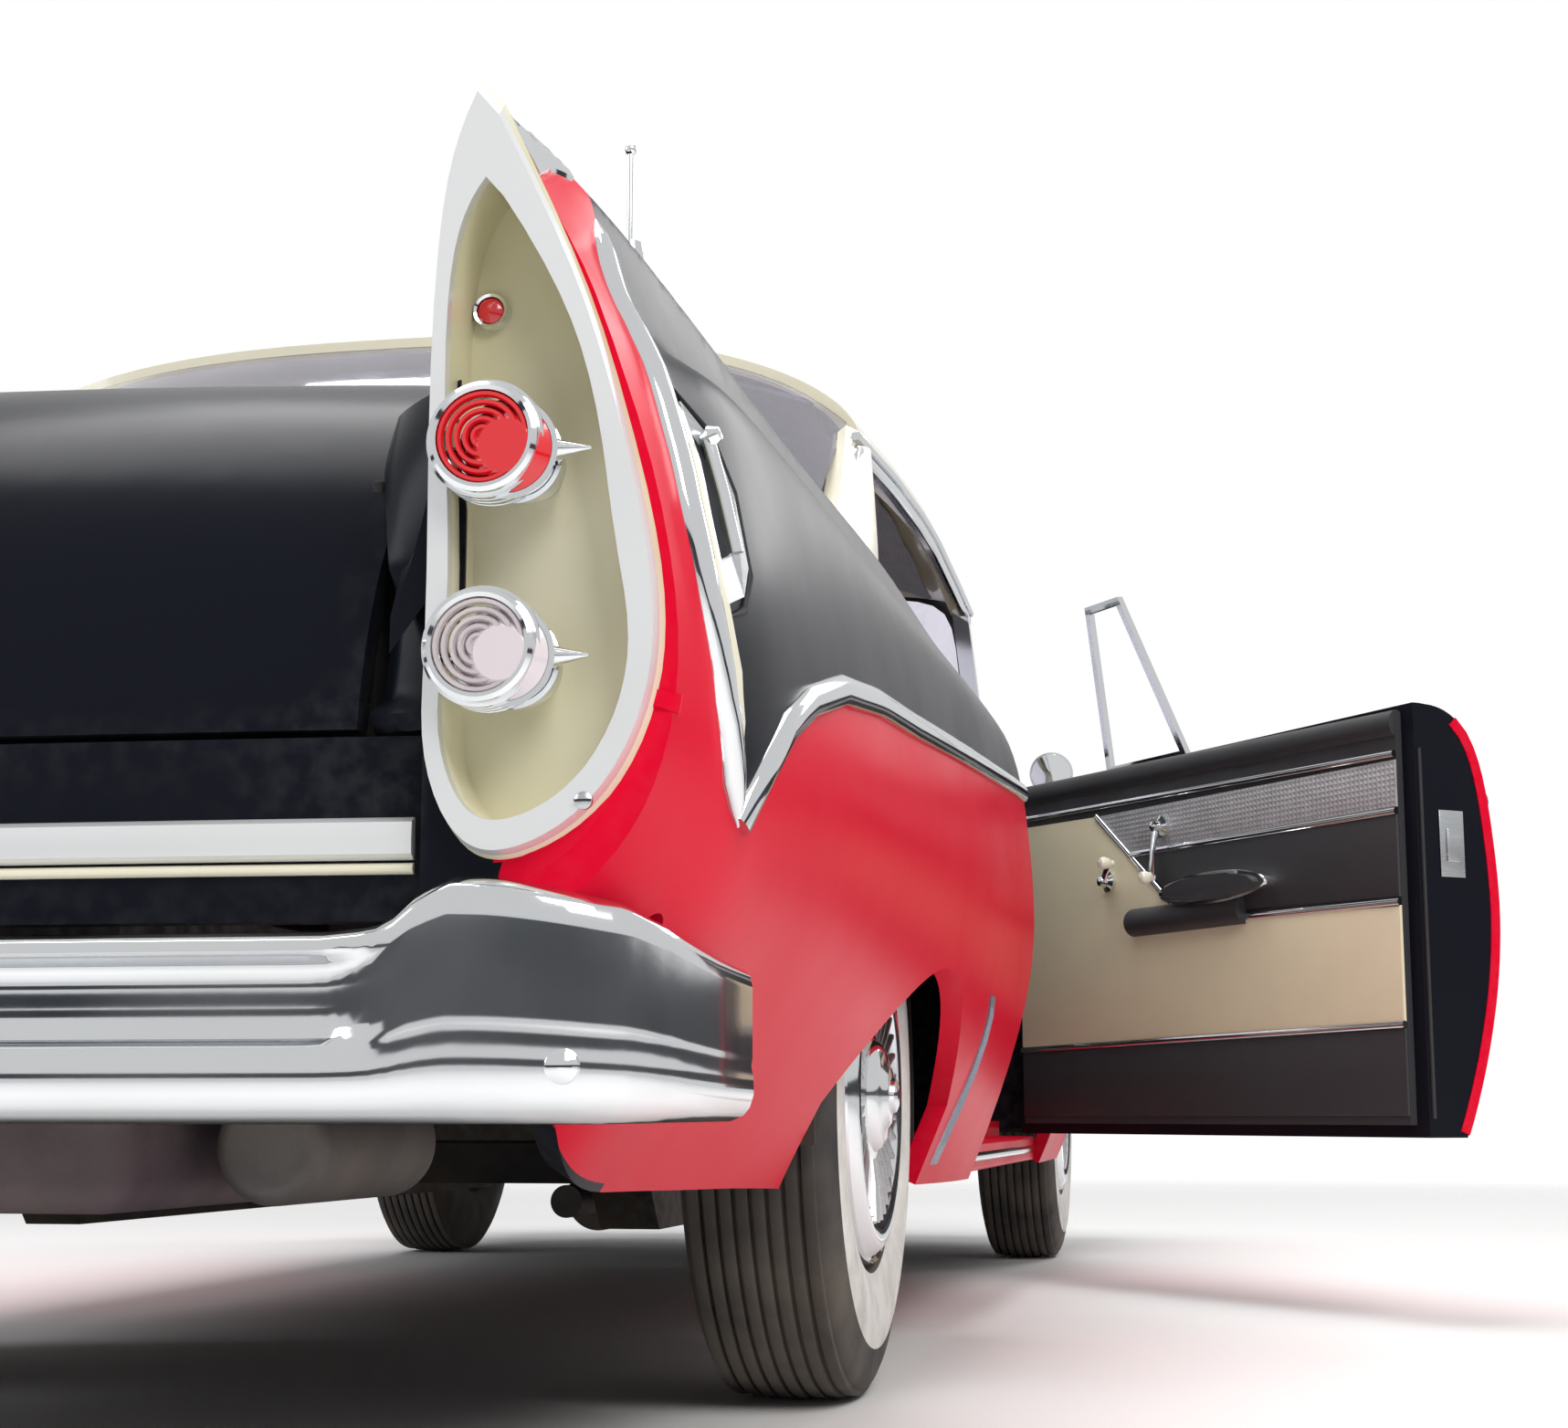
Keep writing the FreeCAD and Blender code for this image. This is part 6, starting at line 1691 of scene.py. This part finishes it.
@dataclass
class Seats(Assembly):
    """Bench seats whose cushions are blown up by cloth simulation between their sewn lines."""

    half: float = 0.650
    insert: float = 0.500
    voxel: float = 0.016
    pressure: float = 4.0
    cap: float = 0.022
    frames: int = 20

    def build(self) -> None:
        """Builds both benches, and simulates all their cushions together."""
        LOG.info("seats")
        seat = [self._cushion("front_seat_cushion", (-0.296, 0.146), (0.392, 0.500), (0.0, 0.0), "z"),
                self._cushion("front_seat_back", (-0.375, -0.305), (0.470, 0.888), (-0.088, -0.028), "y"),
                self._cushion("rear_seat_cushion", (-1.045, -0.634), (0.392, 0.500), (0.0, 0.0), "z"),
                self._cushion("rear_seat_back", (-1.095, -1.035), (0.470, 0.888), (-0.020, 0.010), "y")]
        self._simulate(seat)
        for made in seat:
            self._finish(made)
        for name, rear, front in (("front_seat", -0.300, 0.150), ("rear_seat", -1.050, -0.630)):
            low = block((-0.640, rear, 0.3255), (0.640, front, 0.398), 0.010)
            base = self.kit.mesh(name + "_base", *low, DARK_VINYL)
            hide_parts(name)
        lean = [Vector((0, -0.382, 0.42)), Vector((0, -0.470, 0.86))]
        board = sweep(lean, [Vector((0, -0.98, -0.19))] * 2,
                      [(-0.63, -0.004), (-0.63, 0.004), (0.63, 0.004), (0.63, -0.004)])
        self.kit.mesh("front_seat_board", *board, VINYL)

    def _cushion(self, name: str, y: tuple, z: tuple, lean: tuple, way: str) -> Piece:
        """One cushion before it is blown up.

        Args:
            name: The cushion's name.
            y: Its rear and front.
            z: Its foot and top.
            lean: How far the top of its rear and of its front leans.
            way: "z" where its sewn face looks up, "y" where it looks forwards.

        Returns:
            The remeshed object, with the sewn points in a vertex group.
        """
        verts, faces = block((-self.half, y[0], z[0]), (self.half, y[1], z[1]), 0.018, 3)
        for v in verts:
            share = (v.y - y[0]) / (y[1] - y[0])
            v.y += (lean[0] * (1 - share) + lean[1] * share) * (v.z - z[0]) / (z[1] - z[0])
        made = self.kit.mesh(name, verts, faces, CLOTH)
        remesh = made.modifiers.new("remesh", "REMESH")
        remesh.mode = "VOXEL"
        remesh.voxel_size = self.voxel
        self._apply(made)
        sewn = made.vertex_groups.new(name="sewn")
        lines = spread(-self.insert, self.insert, 9)
        picked = []
        for v in made.data.vertices:
            near = min(abs(v.co.x - line) for line in lines)
            face = v.normal.z if way == "z" else abs(v.normal.y)
            if near < self.voxel * 0.5 and face > 0.6:
                picked.append(v.index)
        sewn.add(picked, 1.0, "REPLACE")
        return made

    @staticmethod
    def _apply(made: Piece) -> None:
        """Makes an object's modifiers part of its mesh.

        Args:
            made: The object.
        """
        ready = made.evaluated_get(bpy.context.evaluated_depsgraph_get())
        mesh = bpy.data.meshes.new_from_object(ready)
        made.modifiers.clear()
        made.data = mesh

    def _simulate(self, pieces: list[Piece]) -> None:
        """Runs the cloth simulation on every piece at once and caps how far a point moves.

        Args:
            pieces: The cushions.
        """
        scene = bpy.context.scene
        starts = [[v.co.copy() for v in made.data.vertices] for made in pieces]
        for made in pieces:
            cloth = made.modifiers.new("cloth", "CLOTH")
            cloth.settings.use_pressure = True
            cloth.settings.uniform_pressure_force = self.pressure
            cloth.settings.effector_weights.gravity = 0.0
            cloth.settings.vertex_group_mass = "sewn"
            cloth.point_cache.frame_start = 1
            cloth.point_cache.frame_end = self.frames
        for number in range(1, self.frames + 1):
            scene.frame_set(number)
        for made, start in zip(pieces, starts):
            self._apply(made)
            for v, before in zip(made.data.vertices, start):
                step = v.co - before
                if step.length > self.cap:
                    v.co = before + step * (self.cap / step.length)
        scene.frame_set(1)

    def _finish(self, made: Piece) -> None:
        """Smooths a cushion once, covers its ends in vinyl and lays the piping on its seams.

        Args:
            made: The object.
        """
        smooth = made.modifiers.new("smooth", "SUBSURF")
        smooth.levels = 1
        self._apply(made)
        made.data.materials.clear()
        made.data.materials.append(self.kit.paints.material(CLOTH))
        made.data.materials.append(self.kit.paints.material(VINYL))
        made.data.shade_smooth()
        for face in made.data.polygons:
            if abs(face.center.x) > self.insert:
                face.material_index = 1
        tree = BVHTree.FromObject(made, bpy.context.evaluated_depsgraph_get())
        low = [min(v.co[i] for v in made.data.vertices) for i in range(3)]
        high = [max(v.co[i] for v in made.data.vertices) for i in range(3)]
        middle = Vector([(low[i] + high[i]) / 2 for i in range(3)])
        for index, x in enumerate((-self.insert, self.insert)):
            path, normals = [], []
            for angle in spread(-20, 110, 20) if "back" not in made.name else spread(-70, 100, 20):
                out = swung(angle, AHEAD, UP)
                start = Vector((x, middle.y, middle.z)) + out * 0.8
                hit, normal, _, _ = tree.ray_cast(start, -out)
                if hit:
                    path.append(hit)
                    normals.append(normal)
            if len(path) > 3:
                self.kit.mesh(f"{made.name}_piping_{index}", *sweep(path, normals, round_profile(0.0042, 8)),
                              VINYL)


@dataclass
class Cabin(Assembly):
    """Steering wheel, instruments, levers and mirror."""

    wheel: Triple = (-0.370, 0.457, 0.931)
    rake: float = 28.0
    dash_slope: float = -0.195
    dash_foot: Pair = (0.703, 0.680)
    dials: tuple = (("speed_dial", -0.370, 0.835, 0.078), ("fuel_dial", -0.535, 0.815, 0.040),
                    ("heat_dial", -0.205, 0.815, 0.040), ("clock_dial", 0.370, 0.835, 0.045))
    knobs: tuple = (-0.27, -0.13, 0.13, 0.20)
    horn_radius: float = 0.128

    def build(self) -> None:
        """Builds the cabin's fittings."""
        LOG.info("cabin")
        self._steering_wheel()
        self._instruments()
        self._levers()
        self._mirror()

    def _steering_wheel(self) -> None:
        """Horn ring and bare hub cap."""
        centre = Vector(self.wheel)
        away = swung(self.rake, BACK, UP)
        across, up = OUT, away.cross(OUT)
        up = up if up.z > 0 else -up
        cap = turned([(TIP, 0.0345), (0.012, 0.0335), (0.024, 0.029), (0.031, 0.022), (0.036, 0.0185),
                      (0.0365, 0.010)], 40,
                     away, centre)
        self.kit.mesh("horn_cap", *cap, CHROME, "steering_wheel")
        radius = self.horn_radius
        arc = [centre + away * 0.018 + across * (radius * math.cos(a)) + up * (radius * math.sin(a))
               for a in spread(math.pi, math.tau, 29)]
        ring = sweep(arc, [away] * len(arc), round_profile(0.0042, 10))
        flat = round_profile(0.006, 10, 1.6, 0.7)
        arms = [sweep([centre + away * 0.020 + across * (side * 0.030),
                       centre + away * 0.018 + across * (side * radius)],
                      [away] * 2, flat) for side in (-1, 1)]
        self.kit.mesh("horn_ring", *joined(ring, *arms), CHROME, "steering_wheel")

    def _on_dash(self, x: float, z: float) -> Vector:
        """A point on the dashboard's face."""
        y, foot = self.dash_foot
        return Vector((x, y + self.dash_slope * (z - foot), z))

    def _instruments(self) -> None:
        """Dials with bright rings, a speaker panel, knobs and a strip across the dashboard."""
        back = Vector((0, -0.98, -0.19)).normalized()
        up = Vector((0, self.dash_slope, 1)).normalized()
        for name, x, z, radius in self.dials:
            centre = self._on_dash(x, z)
            ring = turned([(radius * 1.10, -0.002), (radius * 1.08, 0.010), (radius, 0.013),
                           (radius * 0.94, 0.004)], 48,
                          back, centre)
            self.kit.mesh(name + "_ring", *ring, CHROME)
            face = turned([(TIP, 0.0035), (radius * 0.95, 0.003), (radius * 0.95, -0.001)], 48, back, centre)
            self.kit.mesh(name + "_face", *face, DARK_VINYL)
            marks = []
            line = [(-0.0012, -0.001), (-0.0012, 0.001), (0.0012, 0.001), (0.0012, -0.001)]
            for index in range(11):
                angle = math.radians(210 - 24 * index)
                out = OUT * math.cos(angle) + up * math.sin(angle)
                ends = [centre + back * 0.004 + out * (radius * share) for share in (0.74, 0.88)]
                marks.append(sweep(ends, [back] * 2, line))
            self.kit.mesh(name + "_marks", *joined(*marks), IVORY, smooth=None)
            tip = OUT * math.cos(2.6) + up * math.sin(2.6)
            needle = sweep([centre + back * 0.006 - tip * (radius * 0.1),
                            centre + back * 0.006 + tip * (radius * 0.7)], [back] * 2,
                           [(-0.0015, 0.0), (0.0, 0.0015), (0.0015, 0.0)])
            self.kit.mesh(name + "_needle", *needle, LENS)
        strip = [self._on_dash(x, 0.735) + back * 0.001 for x in spread(-0.68, 0.68, 20)]
        self.kit.mesh("dash_strip", *sweep(strip, [back] * 20, bar_profile(0.018, 0.006)), CHROME)
        slots = [sweep([self._on_dash(x, z) + back * 0.001 for x in (-0.085, 0.085)], [back] * 2,
                       bar_profile(0.006, 0.004)) for z in spread(0.775, 0.885, 9)]
        self.kit.mesh("speaker_bars", *joined(*slots), SATIN)
        knobs = [turned([(TIP, 0.024), (0.009, 0.023), (0.011, 0.018), (0.012, 0.002), (0.014, -0.002)], 24,
                        back, self._on_dash(x, 0.760)) for x in self.knobs]
        self.kit.mesh("dash_knobs", *joined(*knobs), IVORY)

    def _levers(self) -> None:
        """Gear lever and signal lever on the column."""
        for name, side, reach in (("gear_lever", 1, 0.165), ("signal_lever", -1, 0.120)):
            foot = Vector((self.wheel[0] + side * 0.020, 0.590, 0.862))
            tip = foot + Vector((side * reach, -0.035, 0.030))
            self.kit.mesh(name, *sweep([foot, (foot + tip) / 2, tip], [UP] * 3, round_profile(0.0045, 10)),
                          CHROME)
            knob = turned([(TIP, -0.012), (0.008, -0.010), (0.0115, 0.0), (0.008, 0.010), (TIP, 0.012)], 20,
                          Vector((side, 0, 0)), tip)
            self.kit.mesh(name + "_knob", *knob, IVORY)

    def _mirror(self) -> None:
        """Inside mirror on its stem."""
        self.kit.mesh("inside_mirror", *block((-0.105, 0.372, 1.352), (0.105, 0.390, 1.402), 0.008), CHROME)
        self.kit.mesh("inside_mirror_glass", *block((-0.098, 0.3705, 1.357), (0.098, 0.374, 1.397), 0.001),
                      MIRROR, smooth=None)
        stem = [Vector((0, 0.385, 1.395)), Vector((0, 0.400, 1.425)), Vector((0, 0.412, 1.456))]
        self.kit.mesh("inside_mirror_stem", *sweep(stem, [OUT] * 3, round_profile(0.005, 10)), CHROME)


@dataclass
class Nose(Assembly):
    """Headlamp lenses, parking lamps, grille surround, hood strip and wipers."""

    lamp: Triple = (0.756, 2.3445, 0.6993)
    lamp_radius: float = 0.092
    lamp_crown: float = 0.0145
    parking_lamp: Triple = (0.790, 2.3365, 0.520)
    header: float = 0.580
    wiper_reach: float = 0.026
    wiper_root: float = 0.40

    def build(self) -> None:
        """Builds the front's details."""
        LOG.info("nose")
        centre, radius, crown = Vector(self.lamp), self.lamp_radius, self.lamp_crown
        dome = [(radius * math.sin(a), crown * math.cos(a) ** 0.8) for a in spread(0.25, 1.5, 9)]
        dome = [(TIP, crown)] + dome + [(radius, -0.001)]
        for self.side in Side:
            self.placed("headlamp_lens", *turned(dome, 48, AHEAD, centre), LENS_CLEAR)
            ribs = []
            for shift in spread(-0.072, 0.072, 11):
                reach = math.sqrt(max(radius ** 2 - shift ** 2, 0.0)) * 0.93
                path = []
                for up in spread(-reach, reach, 12):
                    away = min(math.hypot(shift, up) / radius, 0.999)
                    rise = crown * math.cos(math.asin(away)) ** 0.8 + 0.0002
                    path.append(centre + Vector((shift, rise, up)))
                ribs.append(sweep(path, [AHEAD] * 12, bar_profile(0.006, 0.0012)))
            self.placed("headlamp_ribs", *joined(*ribs), LENS_CLEAR)
            place = Vector(self.parking_lamp)
            ring = turned([(0.044, -0.002), (0.043, 0.010), (0.038, 0.013), (0.035, 0.006)], 40, AHEAD, place)
            self.placed("parking_lamp_ring", *ring, CHROME)
            lens = turned([(TIP, 0.012), (0.018, 0.011), (0.030, 0.008), (0.0355, 0.002), (0.0355, -0.001)],
                          40, AHEAD, place)
            self.placed("parking_lamp_lens", *lens, LENS_CLEAR)
            self._wiper()
            self._mirror_glass()
        self._hood_strip()
        self._grille_frame()
        self._header()
        self._lid_lock()

    def _hood_strip(self) -> None:
        """Plain bright strip down the middle of the hood."""
        surface = self.kit.surface("hood")
        path, normals = [], []
        for y in spread(1.08, 2.24, 40):
            hit, normal, _, _ = surface.ray_cast(Vector((0.0, y, 1.6)), DOWN)
            if hit:
                path.append(hit)
                normals.append(normal if normal.z > 0 else -normal)
        verts, faces = sweep(path, normals, bar_profile(0.020, 0.009), taper=0.08)
        self.kit.mesh("hood_strip", verts, faces, CHROME, "hood")

    def _grille_frame(self) -> None:
        """Bright surround of the grille."""
        low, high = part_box("grille")
        corners = [(high.x - 0.02, low.z + 0.01), (high.x - 0.02, high.z - 0.01),
                   (low.x + 0.02, high.z - 0.01), (low.x + 0.02, low.z + 0.01)]
        path = []
        for (x0, z0), (x1, z1) in zip(corners, corners[1:] + corners[:1]):
            path += [Vector((x0 + (x1 - x0) * s, high.y, z0 + (z1 - z0) * s)) for s in spread(0.03, 0.97, 12)]
        surround = sweep(path, [AHEAD] * len(path), bar_profile(0.022, 0.010), closed=True)
        self.kit.mesh("grille_frame", *surround, CHROME)

    def _header(self) -> None:
        """Panel between the grille's top bar and the hood's front edge."""
        hood = self.kit.surface("hood")
        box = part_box("grille")
        grid, normals = [], []
        for x in spread(-self.header, self.header, 33):
            front = next((y for y in spread(box[1].y + 0.06, box[1].y - 0.30, 120)
                          if hood.ray_cast(Vector((x, y, 0.60)), UP)[0]), None)
            if front is None:
                continue
            edge = hood.ray_cast(Vector((x, front - 0.004, 0.60)), UP)[0]
            high = edge - Vector((0, 0.014, 0.006))
            low = Vector((x, min(box[1].y - 0.020, high.y), box[1].z - 0.012))
            if high.z > low.z + 0.002:
                grid.append([low.lerp(high, share) for share in spread(0, 1, 5)])
                normals.append([AHEAD] * 5)
        self.kit.mesh("grille_header", *sheet_of(grid, normals, 0.003), BLACK)

    def _wiper(self) -> None:
        """Arm and blade, parked along the glass's foot."""
        surface = self.kit.surface("windscreen")
        path, normals = [], []
        for x in spread(0.045, 0.385, 16):
            hit, normal, _, _ = surface.ray_cast(Vector((x, 1.6, 1.078 - 0.05 * x)), BACK)
            if hit:
                normal = normal if normal.y > 0 else -normal
                path.append(hit + normal * 0.006)
                normals.append(normal)
        if len(path) < 4:
            return
        blade = [(-0.003, -0.005), (-0.004, 0.004), (0.004, 0.004), (0.003, -0.005)]
        self.placed("wiper_blade", *sweep(path, normals, blade), SEAL)
        middle = path[len(path) // 2] + normals[len(path) // 2] * 0.008
        root = middle.y + self.wiper_reach
        hit, _, _, _ = self.kit.surface("cowl_panel").ray_cast(Vector((self.wiper_root, root, 1.5)), DOWN)
        foot = hit or Vector((self.wiper_root, root, 1.035))
        arm = sweep([foot + UP * 0.010, (foot + middle) / 2 + UP * 0.014, middle], [UP] * 3,
                    round_profile(0.004, 10, 1.5, 0.7))
        post = turned([(TIP, 0.018), (0.008, 0.016), (0.011, 0.008), (0.013, -0.006)], 24, UP, foot)
        self.placed("wiper_arm", *joined(arm, post), CHROME)

    def _mirror_glass(self) -> None:
        """Glass in the fender mirror's rear face."""
        rim = [v.co for v in self.kit.nodes["fender_mirrors"].data.vertices if v.co.x > 0 and v.co.y < 0.7275]
        low = [min(v[i] for v in rim) for i in range(3)]
        high = [max(v[i] for v in rim) for i in range(3)]
        centre = Vector(((low[0] + high[0]) / 2, low[1], (low[2] + high[2]) / 2))
        radius = min(high[0] - low[0], high[2] - low[2]) / 2 * 0.93
        glass = turned([(TIP, 0.0015), (radius * 0.97, 0.0012), (radius, -0.001)], 40, BACK, centre)
        self.placed("mirror_glass", *glass, MIRROR)

    def _lid_lock(self) -> None:
        """Bare round lock in the trunk lid."""
        hit, normal, _, _ = self.kit.surface("trunk_lid").ray_cast(Vector((0, -3.3, 0.690)), AHEAD)
        if not hit:
            return
        normal = normal if normal.y < 0 else -normal
        disc = turned([(TIP, 0.006), (0.010, 0.006), (0.016, 0.004), (0.019, -0.001)], 32, normal, hit)
        self.kit.mesh("lid_lock", *disc, CHROME, "trunk_lid")
        slot = block((-0.0012, hit.y - 0.0075, hit.z - 0.006), (0.0012, hit.y - 0.0055, hit.z + 0.006))
        self.kit.mesh("lid_lock_slot", *slot, SEAL, "trunk_lid", smooth=None)


@dataclass
class Studio:
    """Camera, floor, lights and background."""

    place: Triple = (1.2768, -4.5143, 0.3339)
    tilt: float = 99.359
    turn: float = 10.649
    lens: float = 56.07
    sensor: float = 36.0
    aim: Triple = (0, -0.6, 0.5)
    lights: tuple = (("key", (4.5, -7.0, 5.5), 4.0, 430.0, (1.0, 0.99, 0.97)),
                     ("top", (-0.5, -0.5, 6.5), 5.0, 330.0, (1.0, 1.0, 1.0)),
                     ("left", (-6.0, -4.5, 3.5), 3.0, 150.0, (0.95, 0.97, 1.0)),
                     ("front", (3.5, 6.0, 5.0), 3.0, 120.0, (1.0, 1.0, 1.0)))

    def build(self) -> None:
        """Sets the stage."""
        LOG.info("studio")
        scene = bpy.context.scene
        camera = bpy.data.objects.new("camera", bpy.data.cameras.new("camera"))
        scene.collection.objects.link(camera)
        camera.location = self.place
        camera.rotation_euler = Euler((math.radians(self.tilt), 0.0, math.radians(self.turn)))
        camera.data.lens = self.lens
        camera.data.sensor_width = self.sensor
        scene.camera = camera
        scene.view_settings.view_transform = "Standard"
        self._world(scene)
        self._floor(scene)
        for light in self.lights:
            self._light(*light)
        self._horizon(scene)

    @staticmethod
    def _world(scene: bpy.types.Scene) -> None:
        """White for the camera, mirrors and glass, and softer as a light.

        Args:
            scene: The scene.
        """
        world = bpy.data.worlds.new("studio")
        scene.world = world
        world.use_nodes = True
        t = Tree(world.node_tree)
        path = t.add("LightPath")
        seen = t.math("MAXIMUM", path.outputs["Is Camera Ray"], path.outputs["Is Transmission Ray"])
        bright = t.math("ADD", t.math("MULTIPLY", seen, 0.72), 0.28)
        bright = t.math("ADD", bright, t.math("MULTIPLY", path.outputs["Is Glossy Ray"], 0.42))
        ground = world.node_tree.nodes["Background"]
        world.node_tree.links.new(bright, ground.inputs["Strength"])
        ground.inputs["Color"].default_value = (1, 1, 1, 1)

    @staticmethod
    def _floor(scene: bpy.types.Scene) -> None:
        """Plain pale floor that keeps the shadow.

        Args:
            scene: The scene.
        """
        data = bpy.data.meshes.new("floor")
        data.from_pydata([(-60, -60, 0), (60, -60, 0), (60, 60, 0), (-60, 60, 0)], [], [[0, 1, 2, 3]])
        floor = bpy.data.objects.new("floor", data)
        scene.collection.objects.link(floor)
        material = bpy.data.materials.new("floor")
        material.use_nodes = True
        t = Tree(material.node_tree)
        shader = material.node_tree.nodes["Principled BSDF"]
        tone = t.mix(t.remap(t.noise(0.8, 4.0), 0.3, 0.7), (0.93, 0.925, 0.92, 1), (0.95, 0.95, 0.95, 1))
        material.node_tree.links.new(tone, shader.inputs["Base Color"])
        shader.inputs["Roughness"].default_value = 0.8
        where = t.add("TexCoord").outputs["Object"]
        away = t.add("VectorMath", {"operation": "LENGTH"}, i0=where).outputs["Value"]
        material.node_tree.links.new(t.remap(away, 9.0, 3.6), shader.inputs["Alpha"])
        data.materials.append(material)

    def _light(self, name: str, place: Triple, size: float, power: float, colour: Triple) -> None:
        """One soft area light, aimed at the car.

        Args:
            name: The light's name.
            place: Where it stands.
            size: Its width.
            power: Its power.
            colour: Its colour.
        """
        data = bpy.data.lights.new(name, "AREA")
        data.size = size
        data.energy = power
        data.color = colour
        made = bpy.data.objects.new(name, data)
        bpy.context.scene.collection.objects.link(made)
        made.location = place
        made.rotation_euler = (Vector(self.aim) - Vector(place)).to_track_quat("-Z", "Y").to_euler()

    @staticmethod
    def _horizon(scene: bpy.types.Scene) -> None:
        """Dark band round the studio that only mirrors see, so that chrome shows its shape.

        Args:
            scene: The scene.
        """
        verts, faces = turned([(9.0, 0.35), (9.0, 1.05)], 48, UP, Vector((0, 0, 0)))
        data = bpy.data.meshes.new("horizon")
        data.from_pydata([tuple(v) for v in verts], [], faces)
        band = bpy.data.objects.new("horizon", data)
        scene.collection.objects.link(band)
        material = bpy.data.materials.new("horizon")
        material.use_nodes = True
        shader = material.node_tree.nodes["Principled BSDF"]
        shader.inputs["Base Color"].default_value = (0.03, 0.035, 0.045, 1)
        shader.inputs["Roughness"].default_value = 0.9
        data.materials.append(material)
        for flag in ("visible_camera", "visible_diffuse", "visible_shadow", "visible_transmission"):
            setattr(band, flag, False)


def main() -> None:
    """Builds every piece and the studio."""
    logging.basicConfig(level=logging.INFO, format="%(name)s: %(message)s")
    kit = Kit(frame)
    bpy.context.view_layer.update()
    for assembly in (PaintWork(kit), SideTrim(kit), TailLamps(kit), TailTrim(kit), RearBumper(kit),
                     TailCorner(kit), Wheels(kit), Glazing(kit), Doors(kit),
                     Shell(kit), Seats(kit), Cabin(kit), Nose(kit)):
        assembly.build()
    Studio().build()
    bpy.context.view_layer.update()


if __name__ == "__main__":
    main()
